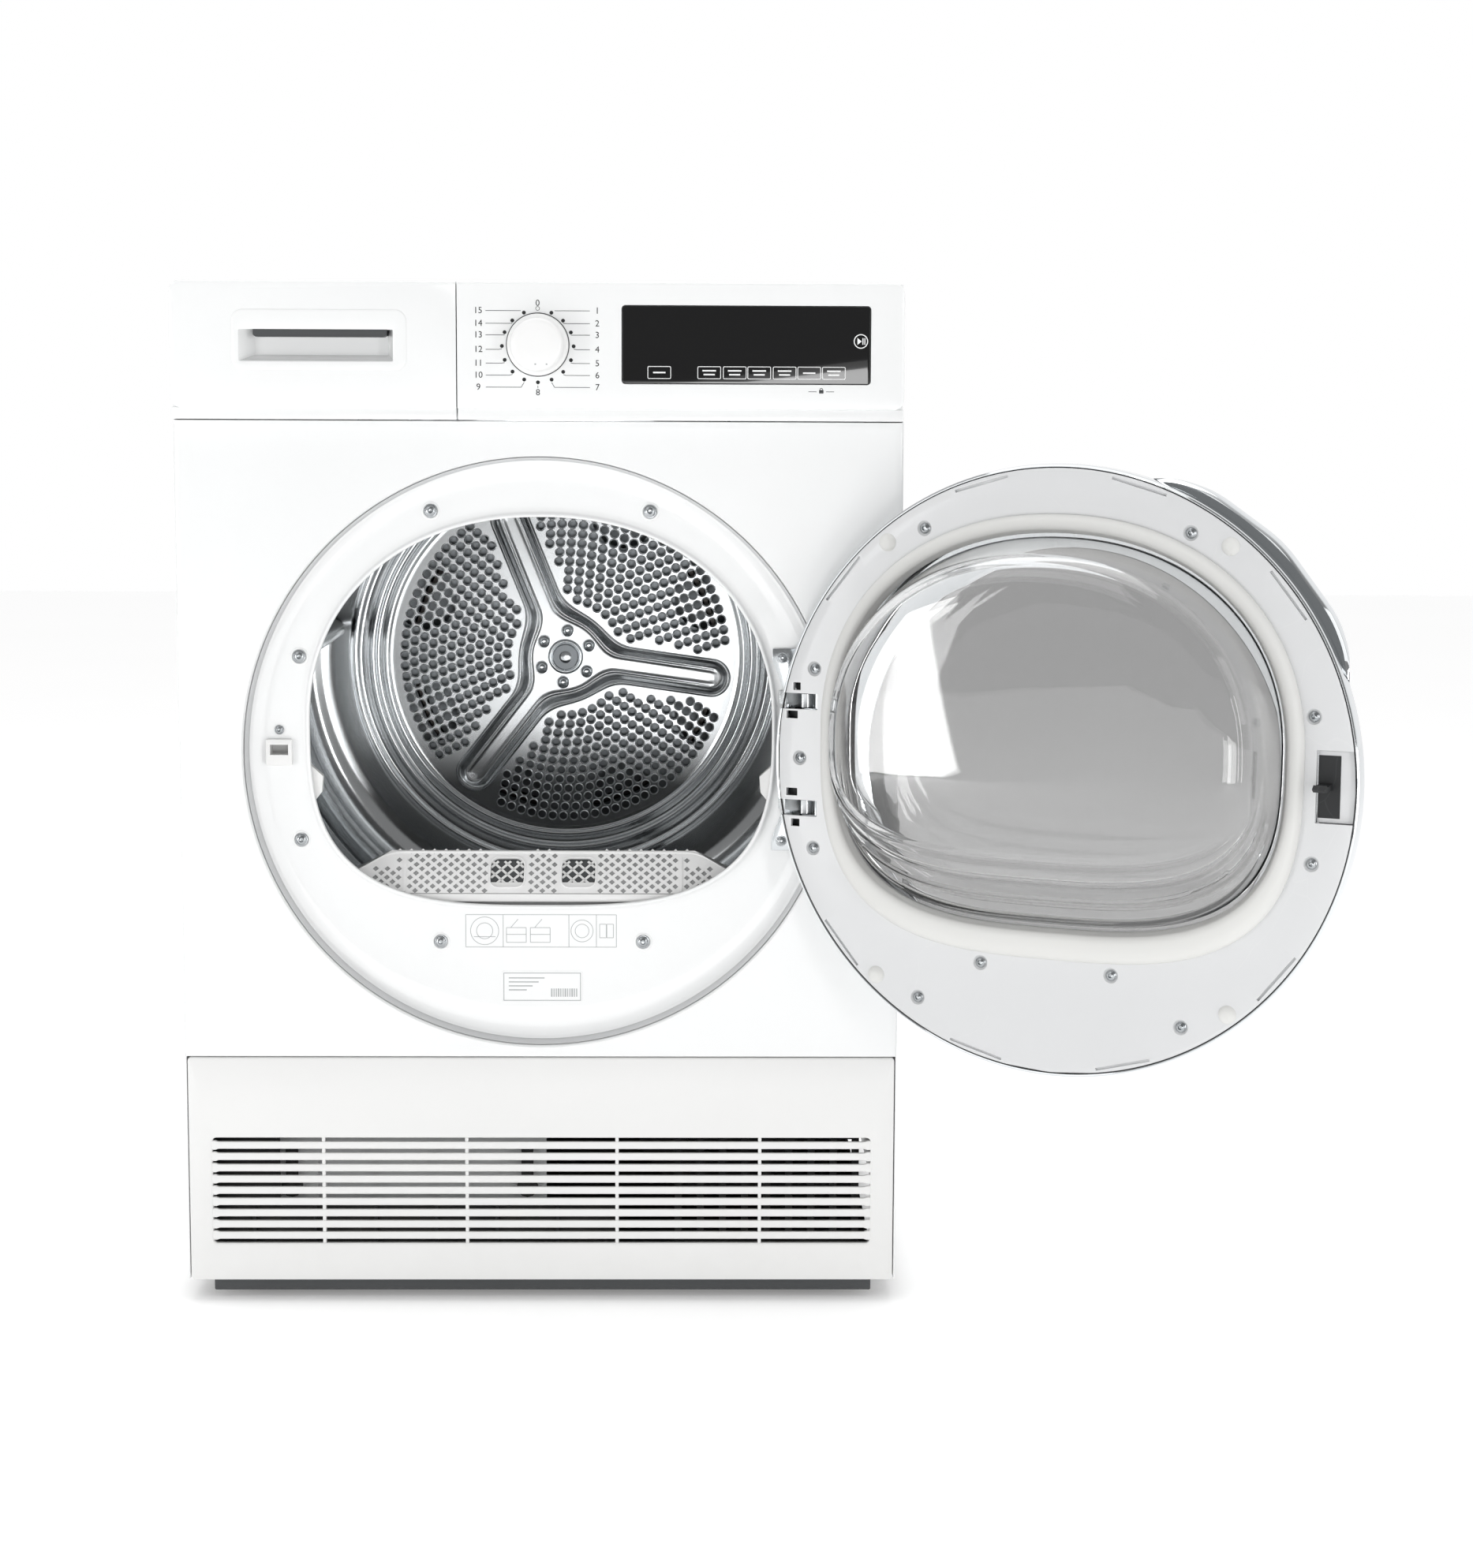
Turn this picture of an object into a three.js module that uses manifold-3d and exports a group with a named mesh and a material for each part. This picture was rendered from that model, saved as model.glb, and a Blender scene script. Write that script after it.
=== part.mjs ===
// Compact condenser clothes dryer with its round door open, in millimetres.
// +X is to the right seen from the front, +Y into the machine and +Z up. The origin is the
// middle of the base pan's flat underside.
import * as THREE from 'three';
import { mergeVertices } from 'three/addons/utils/BufferGeometryUtils.js';
import Module from 'manifold-3d';

const wasm = await Module();
wasm.setup();

// ---- Driving dimensions -------------------------------------------------------------------

const WIDTH = 595; // across the side panels
const DEPTH = 550; // front panel to rear panel
const HEIGHT = 839; // base underside to worktop
const SHEET = 1.2; // steel panels
const WALL = 3; // moulded parts
const CLEAR = 0.4; // between pieces that touch
const RUN = 1; // between pieces that pass each other
const ROUND = 48; // facets of a large round piece
const MID_ROUND = 24; // facets of a hidden one
const SMALL_ROUND = 12; // facets of a small one

// Heights of the front, from the floor side up.
const KICK_Z0 = 7;
const KICK_H = 191.5;
const SEAM = 0.8; // visible gap between front pieces
const CONSOLE_H = 102;
const STRIP_H = 9; // shadow strip under the console
const WORKTOP_H = 21;

// Door opening and its recess.
const DOOR_Z = 453.5;
const RECESS_R = 245;
const RECESS_SLOPE = 9; // how far the recess wall leans in
const RECESS_DEPTH = 18;
const OPENING_RISE = 25.1; // widest part of the opening above the door's middle
const OPENING_SIDE = 53.4; // recess rim to the opening's side
const OPENING_ABOVE = 75; // the same over its top
const OPENING_BELOW = 91.4; // and under its bottom
const OPENING_POWER_UP = 2.15; // superellipse powers of the upper and lower halves
const OPENING_POWER_DOWN = 3.1;
const LIP_W = 3;
const LIP_H = 3;

// Door.
const DOOR_GAP = 4; // door rim to the recess rim
const DOOR_OPEN_DEG = 153.2;
const DOOR_INSET = 5; // inner face behind the front panel's plane
const HINGE_INSET = 25; // axis inside the recess rim
const HINGE_FORWARD = 7.5; // axis in front of the front panel
const HINGE_RISE = 3; // hinge middle above the door's middle
const EAR_OFFSET = 44; // hinge middle to each ear
const EAR_H = 10;
const HINGE_PIN_R = 2.5;
const KNUCKLE_R = 4.2;
const DOOR_RIM_T = 19; // door thickness at the rim
const DOOR_RING_W = 65; // width of the outer ring, rim to window
const DOOR_HUB_T = 38; // door thickness at the outer window
const BOWL_DEPTH = 65;
const BOWL_WALL = 4;
const HANDLE_DEG = [105, 162];
const LATCH_INSET = 24; // latch inside the door's rim
const LATCH_RISE = 2.5; // above the door's middle

// Drum.
const DRUM_R = 280; // inside
const DRUM_WALL = 1.5;
const DRUM_RISE = 37.5; // drum axis above the door's middle
const DRUM_FRONT_GAP = 31; // recess floor to the drum's front flange
const DRUM_REAR_GAP = 39; // drum back to the rear panel
const DRUM_LIP = 18; // drum wall to the edge of its mouth
const SEAL_W = 12;
const LIFTER_H = 68;
const LIFTER_W = 46;
const LIFTER_DEG = [52, 172, 292];
const SHAFT_R = 12;
const BEARING_R = 22;

// Drive and air, under the drum.
const MOTOR_X = 150;
const MOTOR_Z = 100;
const MOTOR_R = 56;
const MOTOR_LENGTH = 130;
const PULLEY_R = 8.5;
const BELT_T = 1.8;
const BELT_W = 9;
const IDLER_X = 10;
const IDLER_Z = 165;
const IDLER_R = 16;
const ROLLER_R = 22;
const ROLLER_DEG = [235, 305];
const FAN_R = 68;
const FAN_BLADES = 9;
const CONDENSER_W = 216;
const CONDENSER_H = 118;
const CONDENSER_LENGTH = 290;
const CONDENSER_X = -114;
const CONDENSER_Z0 = 20;

// Console.
const CONSOLE_FORWARD = 15; // in front of the front panel
const CONSOLE_DEPTH = 32;
const DRAWER_SEAM_X = -65.6;
const KNOB_R = 21;
const KNOB_SKIRT_R = 25;
const KNOB_L = 20;
const KNOB_Z = 788.5 - 737; // above the console's lower edge
const DISPLAY_X = [68, 268.5];
const DISPLAY_Z = [20.8, 83]; // above the console's lower edge
const GRIP_X = [-240.5, -116.7];
const GRIP_Z = [37.7, 62.9];
const TANK_LENGTH = 430;

// Kick plate.
const KICK_T = 12;
const LOUVRE_ROWS = 10;
const LOUVRE_PITCH = 9.7;
const LOUVRE_SLOT = 3;
const LOUVRE_TOP = 121; // top row above the kick plate's lower edge
const LOUVRE_HALF = 274.5;
const LOUVRE_RIBS = [-183, -63, 63, 183];

// Lint chute and filter.
const CHUTE_Z0 = 150;
const CHUTE_IN = 12; // chute's side inside the filter head's
const HEAD_H = 40; // filter head above the opening's bottom
const HEAD_SIDE = 44.7; // filter head's side inside the drum mouth's chord
const HEAD_END = 26; // height of the head's straight ends
const HEAD_TAPER = 30;
const WELL_X = 30;
const WELL_HALF = 14;
const TAB_Z = 428; // the two tabs in the opening

// Rear panel.
const REAR_COVER_R = 212;
const REAR_COVER_RISE = 14;
const GLAND_R = 8;
const GLAND_INSET = 72.5; // inside the cabinet's side
const GLAND_Z = 735;

// Feet.
const FOOT_DROP = 11;
const FOOT_R = 17;
const FOOT_INSET = 52;

// ---- Derived places -----------------------------------------------------------------------

const SIDE_X = WIDTH / 2;
const FRONT_Y = -DEPTH / 2;
const REAR_Y = DEPTH / 2;
const CONSOLE_Z0 = HEIGHT - CONSOLE_H;
const STRIP_Z0 = CONSOLE_Z0 - STRIP_H;
const KICK_Z1 = KICK_Z0 + KICK_H;
const OPENING_Z = DOOR_Z + OPENING_RISE;
const OPENING_HALF = RECESS_R - OPENING_SIDE;
const OPENING_UP = RECESS_R - OPENING_ABOVE;
const OPENING_DOWN = RECESS_R - OPENING_BELOW;
const RECESS_Y = FRONT_Y + RECESS_DEPTH;
const DOOR_R = RECESS_R - DOOR_GAP;
const DOOR_HUB_R = DOOR_R - DOOR_RING_W;
const LATCH_X = LATCH_INSET - DOOR_R;
const DOOR_Y = FRONT_Y + DOOR_INSET;
const HINGE_X = RECESS_R - HINGE_INSET;
const HINGE_Y = FRONT_Y - HINGE_FORWARD;
const HINGE_Z = DOOR_Z + HINGE_RISE;
const LATCH_Z = DOOR_Z + LATCH_RISE;
const DRUM_Z = DOOR_Z + DRUM_RISE;
const DRUM_Y0 = RECESS_Y + DRUM_FRONT_GAP;
const DRUM_Y1 = REAR_Y - DRUM_REAR_GAP;
const DRUM_OUT_R = DRUM_R + DRUM_WALL;
const DRUM_MOUTH_R = DRUM_R - DRUM_LIP;
const BULKHEAD_Y = RECESS_Y + SHEET + CLEAR;
const BULKHEAD_BACK = BULKHEAD_Y + WALL;
const SEAL_T = 7;
const CONSOLE_Y = FRONT_Y - CONSOLE_FORWARD;
const CONSOLE_BACK = CONSOLE_Y + CONSOLE_DEPTH;
const OPENING_BOTTOM = OPENING_Z - OPENING_DOWN;
const HEAD_HALF = Math.sqrt(DRUM_MOUTH_R ** 2 - (DRUM_Z - OPENING_BOTTOM) ** 2) - HEAD_SIDE;
const CHUTE_HALF = HEAD_HALF - CHUTE_IN;
const GLAND_X = GLAND_INSET - SIDE_X;
const BELT_Y = DRUM_Y1 - 96;
const MOTOR_Y1 = BELT_Y - 20;
const MOTOR_Y0 = MOTOR_Y1 - MOTOR_LENGTH;
const REAR_FAN_Y = BELT_Y + 22;
const FRONT_FAN_Y = MOTOR_Y0 - 48;
const CONDENSER_Y = FRONT_Y + 46;

// ---- Materials ----------------------------------------------------------------------------

const finish = (color, roughness, metalness) => ({ color, roughness, metalness });
const WHITE_ENAMEL = finish('#ecedec', 0.35, 0);
const WHITE_PLASTIC = finish('#e8e8e6', 0.3, 0);
const GREY_PLASTIC = finish('#cfd0cf', 0.5, 0);
const DARK_PLASTIC = finish('#26282a', 0.6, 0);
const STEEL = finish('#b9bcbe', 0.28, 1);
const CHROME = finish('#dcdee0', 0.1, 1);
const ZINC = finish('#9fa4a6', 0.45, 1);
const RUBBER = finish('#dddcd6', 0.8, 0);
const BLACK_RUBBER = finish('#1b1b1b', 0.85, 0);
const GLASS = finish('#c6cdd0', 0.05, 0);
const BLACK_GLASS = finish('#0a0a0b', 0.08, 0);
const FELT = finish('#8c8878', 1, 0);
const COPPER = finish('#9a5b3c', 0.4, 1);
const GREEN = finish('#1f5a3a', 0.5, 0);

// ---- Solid helpers ------------------------------------------------------------------------

/** Closed geometry to a solid whose faces point out. */
function solid(geometry) {
  const bare = geometry.index ? geometry.toNonIndexed() : geometry.clone();
  bare.deleteAttribute('normal');
  bare.deleteAttribute('uv');
  const merged = mergeVertices(bare, 1e-4);
  const p = merged.attributes.position.array;
  const all = merged.index.array;
  const kept = [];
  let volume = 0;
  for (let i = 0; i < all.length; i += 3) {
    const [a, b, c] = [all[i], all[i + 1], all[i + 2]];
    if (a === b || b === c || a === c) continue;
    kept.push(a, b, c);
    const [u, v, w] = [a, b, c].map((k) => new THREE.Vector3().fromArray(p, 3 * k));
    volume += u.dot(v.cross(w));
  }
  if (volume < 0) kept.reverse();
  const mesh = new wasm.Mesh({
    numProp: 3,
    vertProperties: new Float32Array(p),
    triVerts: new Uint32Array(kept),
  });
  return new wasm.Manifold(mesh);
}

/** Joins all the solids given. */
const join = (...solids) => solids.flat().reduce((sum, part) => sum.add(part));

/** First solid less all the others. */
const cut = (body, ...tools) => tools.flat().reduce((rest, tool) => rest.subtract(tool), body);

/** Rounded rectangle from corner to corner. */
function rectangle(x0, y0, x1, y1, r = 0) {
  const shape = new THREE.Shape();
  if (r <= 0) {
    shape.setFromPoints([[x0, y0], [x1, y0], [x1, y1], [x0, y1]].map((q) => new THREE.Vector2(...q)));
    return shape;
  }
  shape.moveTo(x0 + r, y0);
  shape.absarc(x1 - r, y0 + r, r, -Math.PI / 2, 0);
  shape.absarc(x1 - r, y1 - r, r, 0, Math.PI / 2);
  shape.absarc(x0 + r, y1 - r, r, Math.PI / 2, Math.PI);
  shape.absarc(x0 + r, y0 + r, r, Math.PI, 1.5 * Math.PI);
  return shape;
}

/** Shape through the points given. */
const polygon = (points) => new THREE.Shape(points.map((q) => new THREE.Vector2(...q)));

const extruded = (shape, depth, curveSegments) =>
  new THREE.ExtrudeGeometry(shape, { depth, bevelEnabled: false, curveSegments, steps: 1 });

/** Outline seen from the front, as (x, z), between two depths y. */
function plateXZ(shape, y0, y1, curveSegments = 4) {
  const geometry = extruded(shape, y1 - y0, curveSegments);
  return solid(geometry.rotateX(Math.PI / 2).translate(0, y1, 0));
}

/** Outline seen from above, as (x, y), between two heights z. */
const plateXY = (shape, z0, z1, curveSegments = 4) =>
  solid(extruded(shape, z1 - z0, curveSegments).translate(0, 0, z0));

/** Outline seen from the side, as (y, z), between two places x. */
function plateYZ(shape, x0, x1, curveSegments = 4) {
  const turn = new THREE.Matrix4().makeBasis(
    new THREE.Vector3(0, 1, 0),
    new THREE.Vector3(0, 0, 1),
    new THREE.Vector3(1, 0, 0),
  );
  return solid(extruded(shape, x1 - x0, curveSegments).applyMatrix4(turn).translate(x0, 0, 0));
}

/** Box between two corners. */
function box(x0, y0, z0, x1, y1, z1) {
  const geometry = new THREE.BoxGeometry(x1 - x0, y1 - y0, z1 - z0);
  return solid(geometry.translate((x0 + x1) / 2, (y0 + y1) / 2, (z0 + z1) / 2));
}

/** Profile of (radius, y) turned about a front-to-back axis at (x, z). */
function turned(profile, x, z, segments = ROUND) {
  const points = profile.map((q) => new THREE.Vector2(...q));
  if (profile[0][0] > 0) points.push(points[0].clone());
  return solid(new THREE.LatheGeometry(points, segments).translate(x, 0, z));
}

/** Rod about a front-to-back axis. */
const rodY = (r, y0, y1, x, z, segments = SMALL_ROUND) =>
  turned([[0, y0], [r, y0], [r, y1], [0, y1]], x, z, segments);

/** Rod about an upright axis. */
function rodZ(r, z0, z1, x, y, segments = SMALL_ROUND) {
  const geometry = new THREE.CylinderGeometry(r, r, z1 - z0, segments);
  return solid(geometry.rotateX(Math.PI / 2).translate(x, y, (z0 + z1) / 2));
}

/** Skin over rings of points: a closed loop of rings, or one with its two ends filled. */
function loft(rings, closed) {
  const count = rings[0].length;
  const points = rings.flat();
  const faces = [];
  const strips = closed ? rings.length : rings.length - 1;
  for (let i = 0; i < strips; i += 1) {
    const low = i * count;
    const high = ((i + 1) % rings.length) * count;
    for (let k = 0; k < count; k += 1) {
      const next = (k + 1) % count;
      faces.push(low + k, low + next, high + next, low + k, high + next, high + k);
    }
  }
  if (!closed) {
    for (const [start, flip] of [[0, true], [(rings.length - 1) * count, false]]) {
      const ring = points.slice(start, start + count);
      points.push([0, 1, 2].map((j) => ring.reduce((sum, q) => sum + q[j], 0) / count));
      for (let k = 0; k < count; k += 1) {
        const pair = [start + k, start + ((k + 1) % count)];
        faces.push(points.length - 1, ...(flip ? pair.reverse() : pair));
      }
    }
  }
  const geometry = new THREE.BufferGeometry();
  geometry.setAttribute('position', new THREE.Float32BufferAttribute(points.flat(), 3));
  geometry.setIndex(faces);
  return solid(geometry);
}

/** Points (x, z) of the door opening's outline, moved out by the offsets given. */
function openingPoints(side, up = side, down = side, count = ROUND) {
  return Array.from({ length: count }, (_, k) => {
    const angle = (2 * Math.PI * k) / count;
    const [c, s] = [Math.cos(angle), Math.sin(angle)];
    const power = 2 / (s >= 0 ? OPENING_POWER_UP : OPENING_POWER_DOWN);
    const reach = s >= 0 ? OPENING_UP + up : OPENING_DOWN + down;
    return [
      Math.sign(c) * (OPENING_HALF + side) * Math.abs(c) ** power,
      OPENING_Z + Math.sign(s) * reach * Math.abs(s) ** power,
    ];
  });
}

/** The same outline as a ring of points at depth y. */
const openingRing = (y, side, up = side, down = side) =>
  openingPoints(side, up, down).map(([x, z]) => [x, y, z]);

const model = new THREE.Group();
const doorGroup = new THREE.Group();

/** Adds a finished solid as a named mesh. */
function add(name, shape, look, group = model) {
  const { vertProperties, triVerts, numProp } = shape.getMesh();
  const geometry = new THREE.BufferGeometry();
  const positions = new Float32Array((vertProperties.length / numProp) * 3);
  for (let i = 0; i < positions.length / 3; i += 1) {
    for (let j = 0; j < 3; j += 1) positions[3 * i + j] = vertProperties[numProp * i + j];
  }
  geometry.setAttribute('position', new THREE.BufferAttribute(positions, 3));
  geometry.setIndex([...triVerts]);
  geometry.computeVertexNormals();
  const mesh = new THREE.Mesh(geometry, new THREE.MeshStandardMaterial(look));
  mesh.name = name;
  group.add(mesh);
}

/** Point at an angle in degrees about the drum's axis, as (x, z). */
function aroundDrum(r, degrees) {
  const angle = THREE.MathUtils.degToRad(degrees);
  return [r * Math.cos(angle), DRUM_Z + r * Math.sin(angle)];
}

/** Box of front outline (x0, z0, x1, z1), turned about the drum's axis. */
function drumRadial(x0, y0, z0, x1, y1, z1, degrees) {
  const geometry = new THREE.BoxGeometry(x1 - x0, y1 - y0, z1 - z0);
  geometry.translate((x0 + x1) / 2, (y0 + y1) / 2, (z0 + z1) / 2);
  geometry.rotateY(THREE.MathUtils.degToRad(-degrees)).translate(0, 0, DRUM_Z);
  return solid(geometry);
}

// ---- Cabinet ------------------------------------------------------------------------------

/** Tray that everything stands on: foot bosses, motor cradle, air channel, intake grille. */
function basePan() {
  const half = SIDE_X - 20;
  const [y0, y1] = [FRONT_Y + KICK_T + 2, REAR_Y - SHEET - 12];
  const outer = plateXY(rectangle(-half, y0, half, y1, 18), 0, 34);
  const inner = plateXY(rectangle(-half + WALL, y0 + WALL, half - WALL, y1 - WALL, 15), 4, 40);
  const posts = [-1, 1].map((side) => {
    const x = MOTOR_X + side * (MOTOR_R - 14);
    return box(x - 6, MOTOR_Y0 + 20, 3, x + 6, MOTOR_Y1 - 20, MOTOR_Z - MOTOR_R + 6);
  });
  const cradle = cut(join(...posts), rodY(MOTOR_R + CLEAR, MOTOR_Y0, MOTOR_Y1, MOTOR_X, MOTOR_Z, 48));
  const bosses = footPlaces().map(([x, y]) => rodZ(15, 3, 22, x, y));
  const holes = footPlaces().map(([x, y]) => rodZ(5 + CLEAR, -1, 30, x, y));
  const whole = join(cut(outer, inner), cradle, bosses, condenserDuct(), intakeGrille());
  add('base_pan', cut(whole, holes), DARK_PLASTIC);
}

/** Places of the four feet, as (x, y). */
const footPlaces = () =>
  [FRONT_Y + FOOT_INSET, REAR_Y - FOOT_INSET].flatMap((y) => [
    [-(SIDE_X - FOOT_INSET), y],
    [SIDE_X - FOOT_INSET, y],
  ]);

/** Screw-in levelling feet. */
function feet() {
  const names = ['foot_front_left', 'foot_front_right', 'foot_rear_left', 'foot_rear_right'];
  footPlaces().forEach(([x, y], i) => {
    const pad = rodZ(FOOT_R, -FOOT_DROP, -FOOT_DROP + 8, x, y, SMALL_ROUND);
    add(names[i], join(pad, rodZ(5, -FOOT_DROP + 7, 26, x, y)), BLACK_RUBBER);
  });
}

/** Side panel with its front, rear and top returns. */
function sidePanel(name, side) {
  const [y0, y1] = [FRONT_Y + SHEET + CLEAR, REAR_Y - SHEET - CLEAR];
  const [z0, z1] = [8, HEIGHT - WORKTOP_H - CLEAR];
  const [out, turn] = [SIDE_X, 13];
  const sheet = plateYZ(rectangle(y0, z0, y1, z1), out - SHEET, out);
  const returns = [
    box(out - turn, y0, KICK_Z1 + 2, out, y0 + SHEET, STRIP_Z0 - 2),
    box(out - turn, y1 - SHEET, z0, out, y1, z1),
    box(out - turn, y0, z1 - SHEET, out, y1, z1),
  ];
  const notch = box(out - 20, y0 - 1, STRIP_Z0, out + 1, CONSOLE_BACK + RUN, z1 + 1);
  const panel = cut(join(sheet, ...returns), notch);
  const placed = side > 0 ? panel : panel.mirror([1, 0, 0]);
  add(name, placed, WHITE_ENAMEL);
}

/** Worktop lid, open underneath. */
function worktop() {
  const [y0, y1] = [CONSOLE_BACK + CLEAR, REAR_Y];
  const [z0, z1] = [HEIGHT - WORKTOP_H, HEIGHT];
  const outer = plateXY(rectangle(-SIDE_X, y0, SIDE_X, y1, 3), z0, z1, 3);
  const inner = box(-SIDE_X + 2, y0 + 2, z0 - 1, SIDE_X - 2, y1 - 2, z1 - 3);
  add('worktop', cut(outer, inner), WHITE_ENAMEL);
}

/** Round-and-tail outline that the rear cover and its opening share. */
function rearOutline(offset) {
  const r = REAR_COVER_R + offset;
  const reach = FAN_R + 16 + offset;
  return join(
    rodY(r, 0, 1, 0, DRUM_Z, 36),
    plateXZ(
      polygon([
        [MOTOR_X - reach, MOTOR_Z - 30 - offset],
        [MOTOR_X + reach, MOTOR_Z - 30 - offset],
        [r * 0.96, DRUM_Z - r * 0.28],
        [-r * 0.5, DRUM_Z - r * 0.86],
      ]),
      0,
      1,
    ),
  );
}

/** The outline between two depths. */
const rearPlate = (offset, y0, y1) => rearOutline(offset).scale([1, y1 - y0, 1]).translate([0, y0, 0]);

/** Rear panel with the opening under the rear cover, vents and the supply gland's hole. */
function rearPanel() {
  const y1 = REAR_Y;
  const half = SIDE_X - SHEET - RUN;
  const sheet = box(-half, y1 - SHEET, 30, half, y1, HEIGHT - WORKTOP_H - CLEAR);
  const vents = Array.from({ length: 7 }, (_, k) => {
    const z = 62 + 13 * k;
    return plateXZ(rectangle(-230, z, -130, z + 5, 2.4), y1 - 5, y1 + 5, 2);
  });
  const glandHole = rodY(GLAND_R + CLEAR, y1 - 10, y1 + 10, GLAND_X, GLAND_Z);
  add('rear_panel', cut(sheet, rearPlate(-8, y1 - 5, y1 + 5), vents, glandHole), WHITE_ENAMEL);
}

/** Dished cover of the warm-air duct. */
function rearCover() {
  const [y0, y1] = [REAR_Y + CLEAR, REAR_Y + REAR_COVER_RISE];
  const flange = rearPlate(0, y0, y0 + SHEET);
  const dish = cut(rearPlate(-9, y0, y1), rearPlate(-9 - SHEET, y0 - 1, y1 - SHEET));
  const hollow = rearPlate(-9 - SHEET, y0 - 1, y0 + SHEET + 1);
  add('rear_cover', join(cut(flange, hollow), dish), ZINC);
}

/** Gland that the supply lead comes out of. */
function cordGland() {
  const [y0, y1] = [REAR_Y - 12, REAR_Y + 10];
  const [r, bore] = [GLAND_R, 4];
  const face = REAR_Y + CLEAR;
  const profile = [[bore, y0], [r, y0], [r, face], [r + 4, face], [r + 4, face + 3], [r - 1, y1], [bore, y1]];
  add('cord_gland', turned(profile, GLAND_X, GLAND_Z, SMALL_ROUND), BLACK_RUBBER);
}

/** Front panel: flat sheet, round dished recess, door opening and its raised lip. */
function frontPanel() {
  const half = SIDE_X - 1;
  const [z0, z1] = [KICK_Z1 + SEAM, STRIP_Z0 - SEAM];
  const floorR = RECESS_R - RECESS_SLOPE;
  const sheet = plateXZ(rectangle(-half, z0, half, z1, 2), FRONT_Y, FRONT_Y + SHEET);
  const roundHole = rodY(RECESS_R, FRONT_Y - 5, FRONT_Y + 5, 0, DOOR_Z, ROUND);
  const dish = turned([
    [RECESS_R + 1, FRONT_Y],
    [floorR, RECESS_Y],
    [0, RECESS_Y],
    [0, RECESS_Y + SHEET],
    [floorR + 0.6, RECESS_Y + SHEET],
    [RECESS_R + 1, FRONT_Y + SHEET],
  ].reverse(), 0, DOOR_Z);
  const lip = plateXZ(polygon(openingPoints(LIP_W)), RECESS_Y - LIP_H, RECESS_Y + SHEET / 2);
  const opening = plateXZ(polygon(openingPoints(0)), RECESS_Y - 20, RECESS_Y + 20);
  const flanges = [
    box(-half, FRONT_Y, z0, half, FRONT_Y + 12, z0 + SHEET),
    box(-half, FRONT_Y, z1 - SHEET, half, FRONT_Y + 12, z1),
  ];
  const trimmed = flanges.map((flange) => cut(flange, ...sideKeepouts()));
  const body = join(cut(sheet, roundHole), dish, lip, ...trimmed);
  add('front_panel', cut(body, opening, latchHole(1)), WHITE_ENAMEL);
}

/** Space of the side panels' front returns. */
const sideKeepouts = () =>
  [-1, 1].map((s) => {
    const [a, b] = [s * (SIDE_X - 15), s * (SIDE_X + 1)];
    return box(Math.min(a, b), FRONT_Y + SHEET, 0, Math.max(a, b), 0, HEIGHT);
  });

/** Hole that the latch receptacle sits in. */
const latchHole = (grow) =>
  plateXZ(
    rectangle(LATCH_X - 8 - grow, DOOR_Z - 8 - grow, LATCH_X + 8 + grow, DOOR_Z + 8 + grow),
    RECESS_Y - 9,
    RECESS_Y + 30,
  );

/** Box on the recess floor that the latch hook enters. */
function latchReceptacle() {
  const face = RECESS_Y - 5;
  const flange = box(LATCH_X - 11, face, DOOR_Z - 11, LATCH_X + 11, RECESS_Y - CLEAR, DOOR_Z + 11);
  const body = box(LATCH_X - 8.4, face + 1, DOOR_Z - 8.4, LATCH_X + 8.4, RECESS_Y + 18, DOOR_Z + 8.4);
  const slot = box(LATCH_X - 7, face - 1, LATCH_Z - 4, LATCH_X + 7, RECESS_Y + 15, LATCH_Z + 4);
  add('latch_receptacle', cut(join(flange, body), slot), WHITE_PLASTIC);
}

/** Kick plate with scooped louvre slots between upright ribs. */
function kickPlate() {
  const half = SIDE_X - 2;
  const [y0, y1] = [FRONT_Y, FRONT_Y + KICK_T];
  const outer = plateXZ(rectangle(-half, KICK_Z0, half, KICK_Z1, 3), y0, y1);
  const inner = box(-half + 3, y0 + 3, KICK_Z0 + 3, half - 3, y1 + 1, KICK_Z1 - 3);
  const edges = [-LOUVRE_HALF, ...LOUVRE_RIBS, LOUVRE_HALF];
  const slots = [];
  for (let row = 0; row < LOUVRE_ROWS; row += 1) {
    const z = KICK_Z0 + LOUVRE_TOP - row * LOUVRE_PITCH;
    const scoop = polygon([
      [y0 - 1, z - LOUVRE_SLOT / 2],
      [y0 + 5, z - LOUVRE_SLOT / 2],
      [y0 + 5, z + LOUVRE_SLOT / 2],
      [y0 + 2, z + LOUVRE_SLOT / 2],
      [y0 - 1, z + LOUVRE_SLOT / 2 + 3],
    ]);
    for (let k = 0; k + 1 < edges.length; k += 1) {
      const rib = 1.5;
      slots.push(plateYZ(scoop, edges[k] + (k ? rib : 0), edges[k + 1] - rib));
    }
  }
  add('kick_plate', cut(outer, inner, slots), WHITE_PLASTIC);
}

// ---- Console ------------------------------------------------------------------------------

/** Fascia right of the tank drawer, with the shadow strip below it. */
function consoleFascia() {
  const [x0, x1] = [DRAWER_SEAM_X + SEAM / 2, SIDE_X - 1];
  const outer = plateXZ(rectangle(x0, CONSOLE_Z0, x1, HEIGHT, 4), CONSOLE_Y, CONSOLE_BACK);
  const inner = plateXZ(
    rectangle(x0 + WALL, CONSOLE_Z0 + WALL, x1 - WALL, HEIGHT - WALL),
    CONSOLE_Y + WALL,
    CONSOLE_BACK + 1,
  );
  const strip = box(x0, CONSOLE_Y + 4, STRIP_Z0, x1, CONSOLE_BACK - 4, CONSOLE_Z0 + 2);
  const window = displayBox(CLEAR, -1);
  const shaftHole = rodY(5, CONSOLE_Y - 5, CONSOLE_Y + 9, 0, knobZ());
  add('console_fascia', cut(join(cut(outer, inner), strip), window, shaftHole), WHITE_PLASTIC);
}

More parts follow.
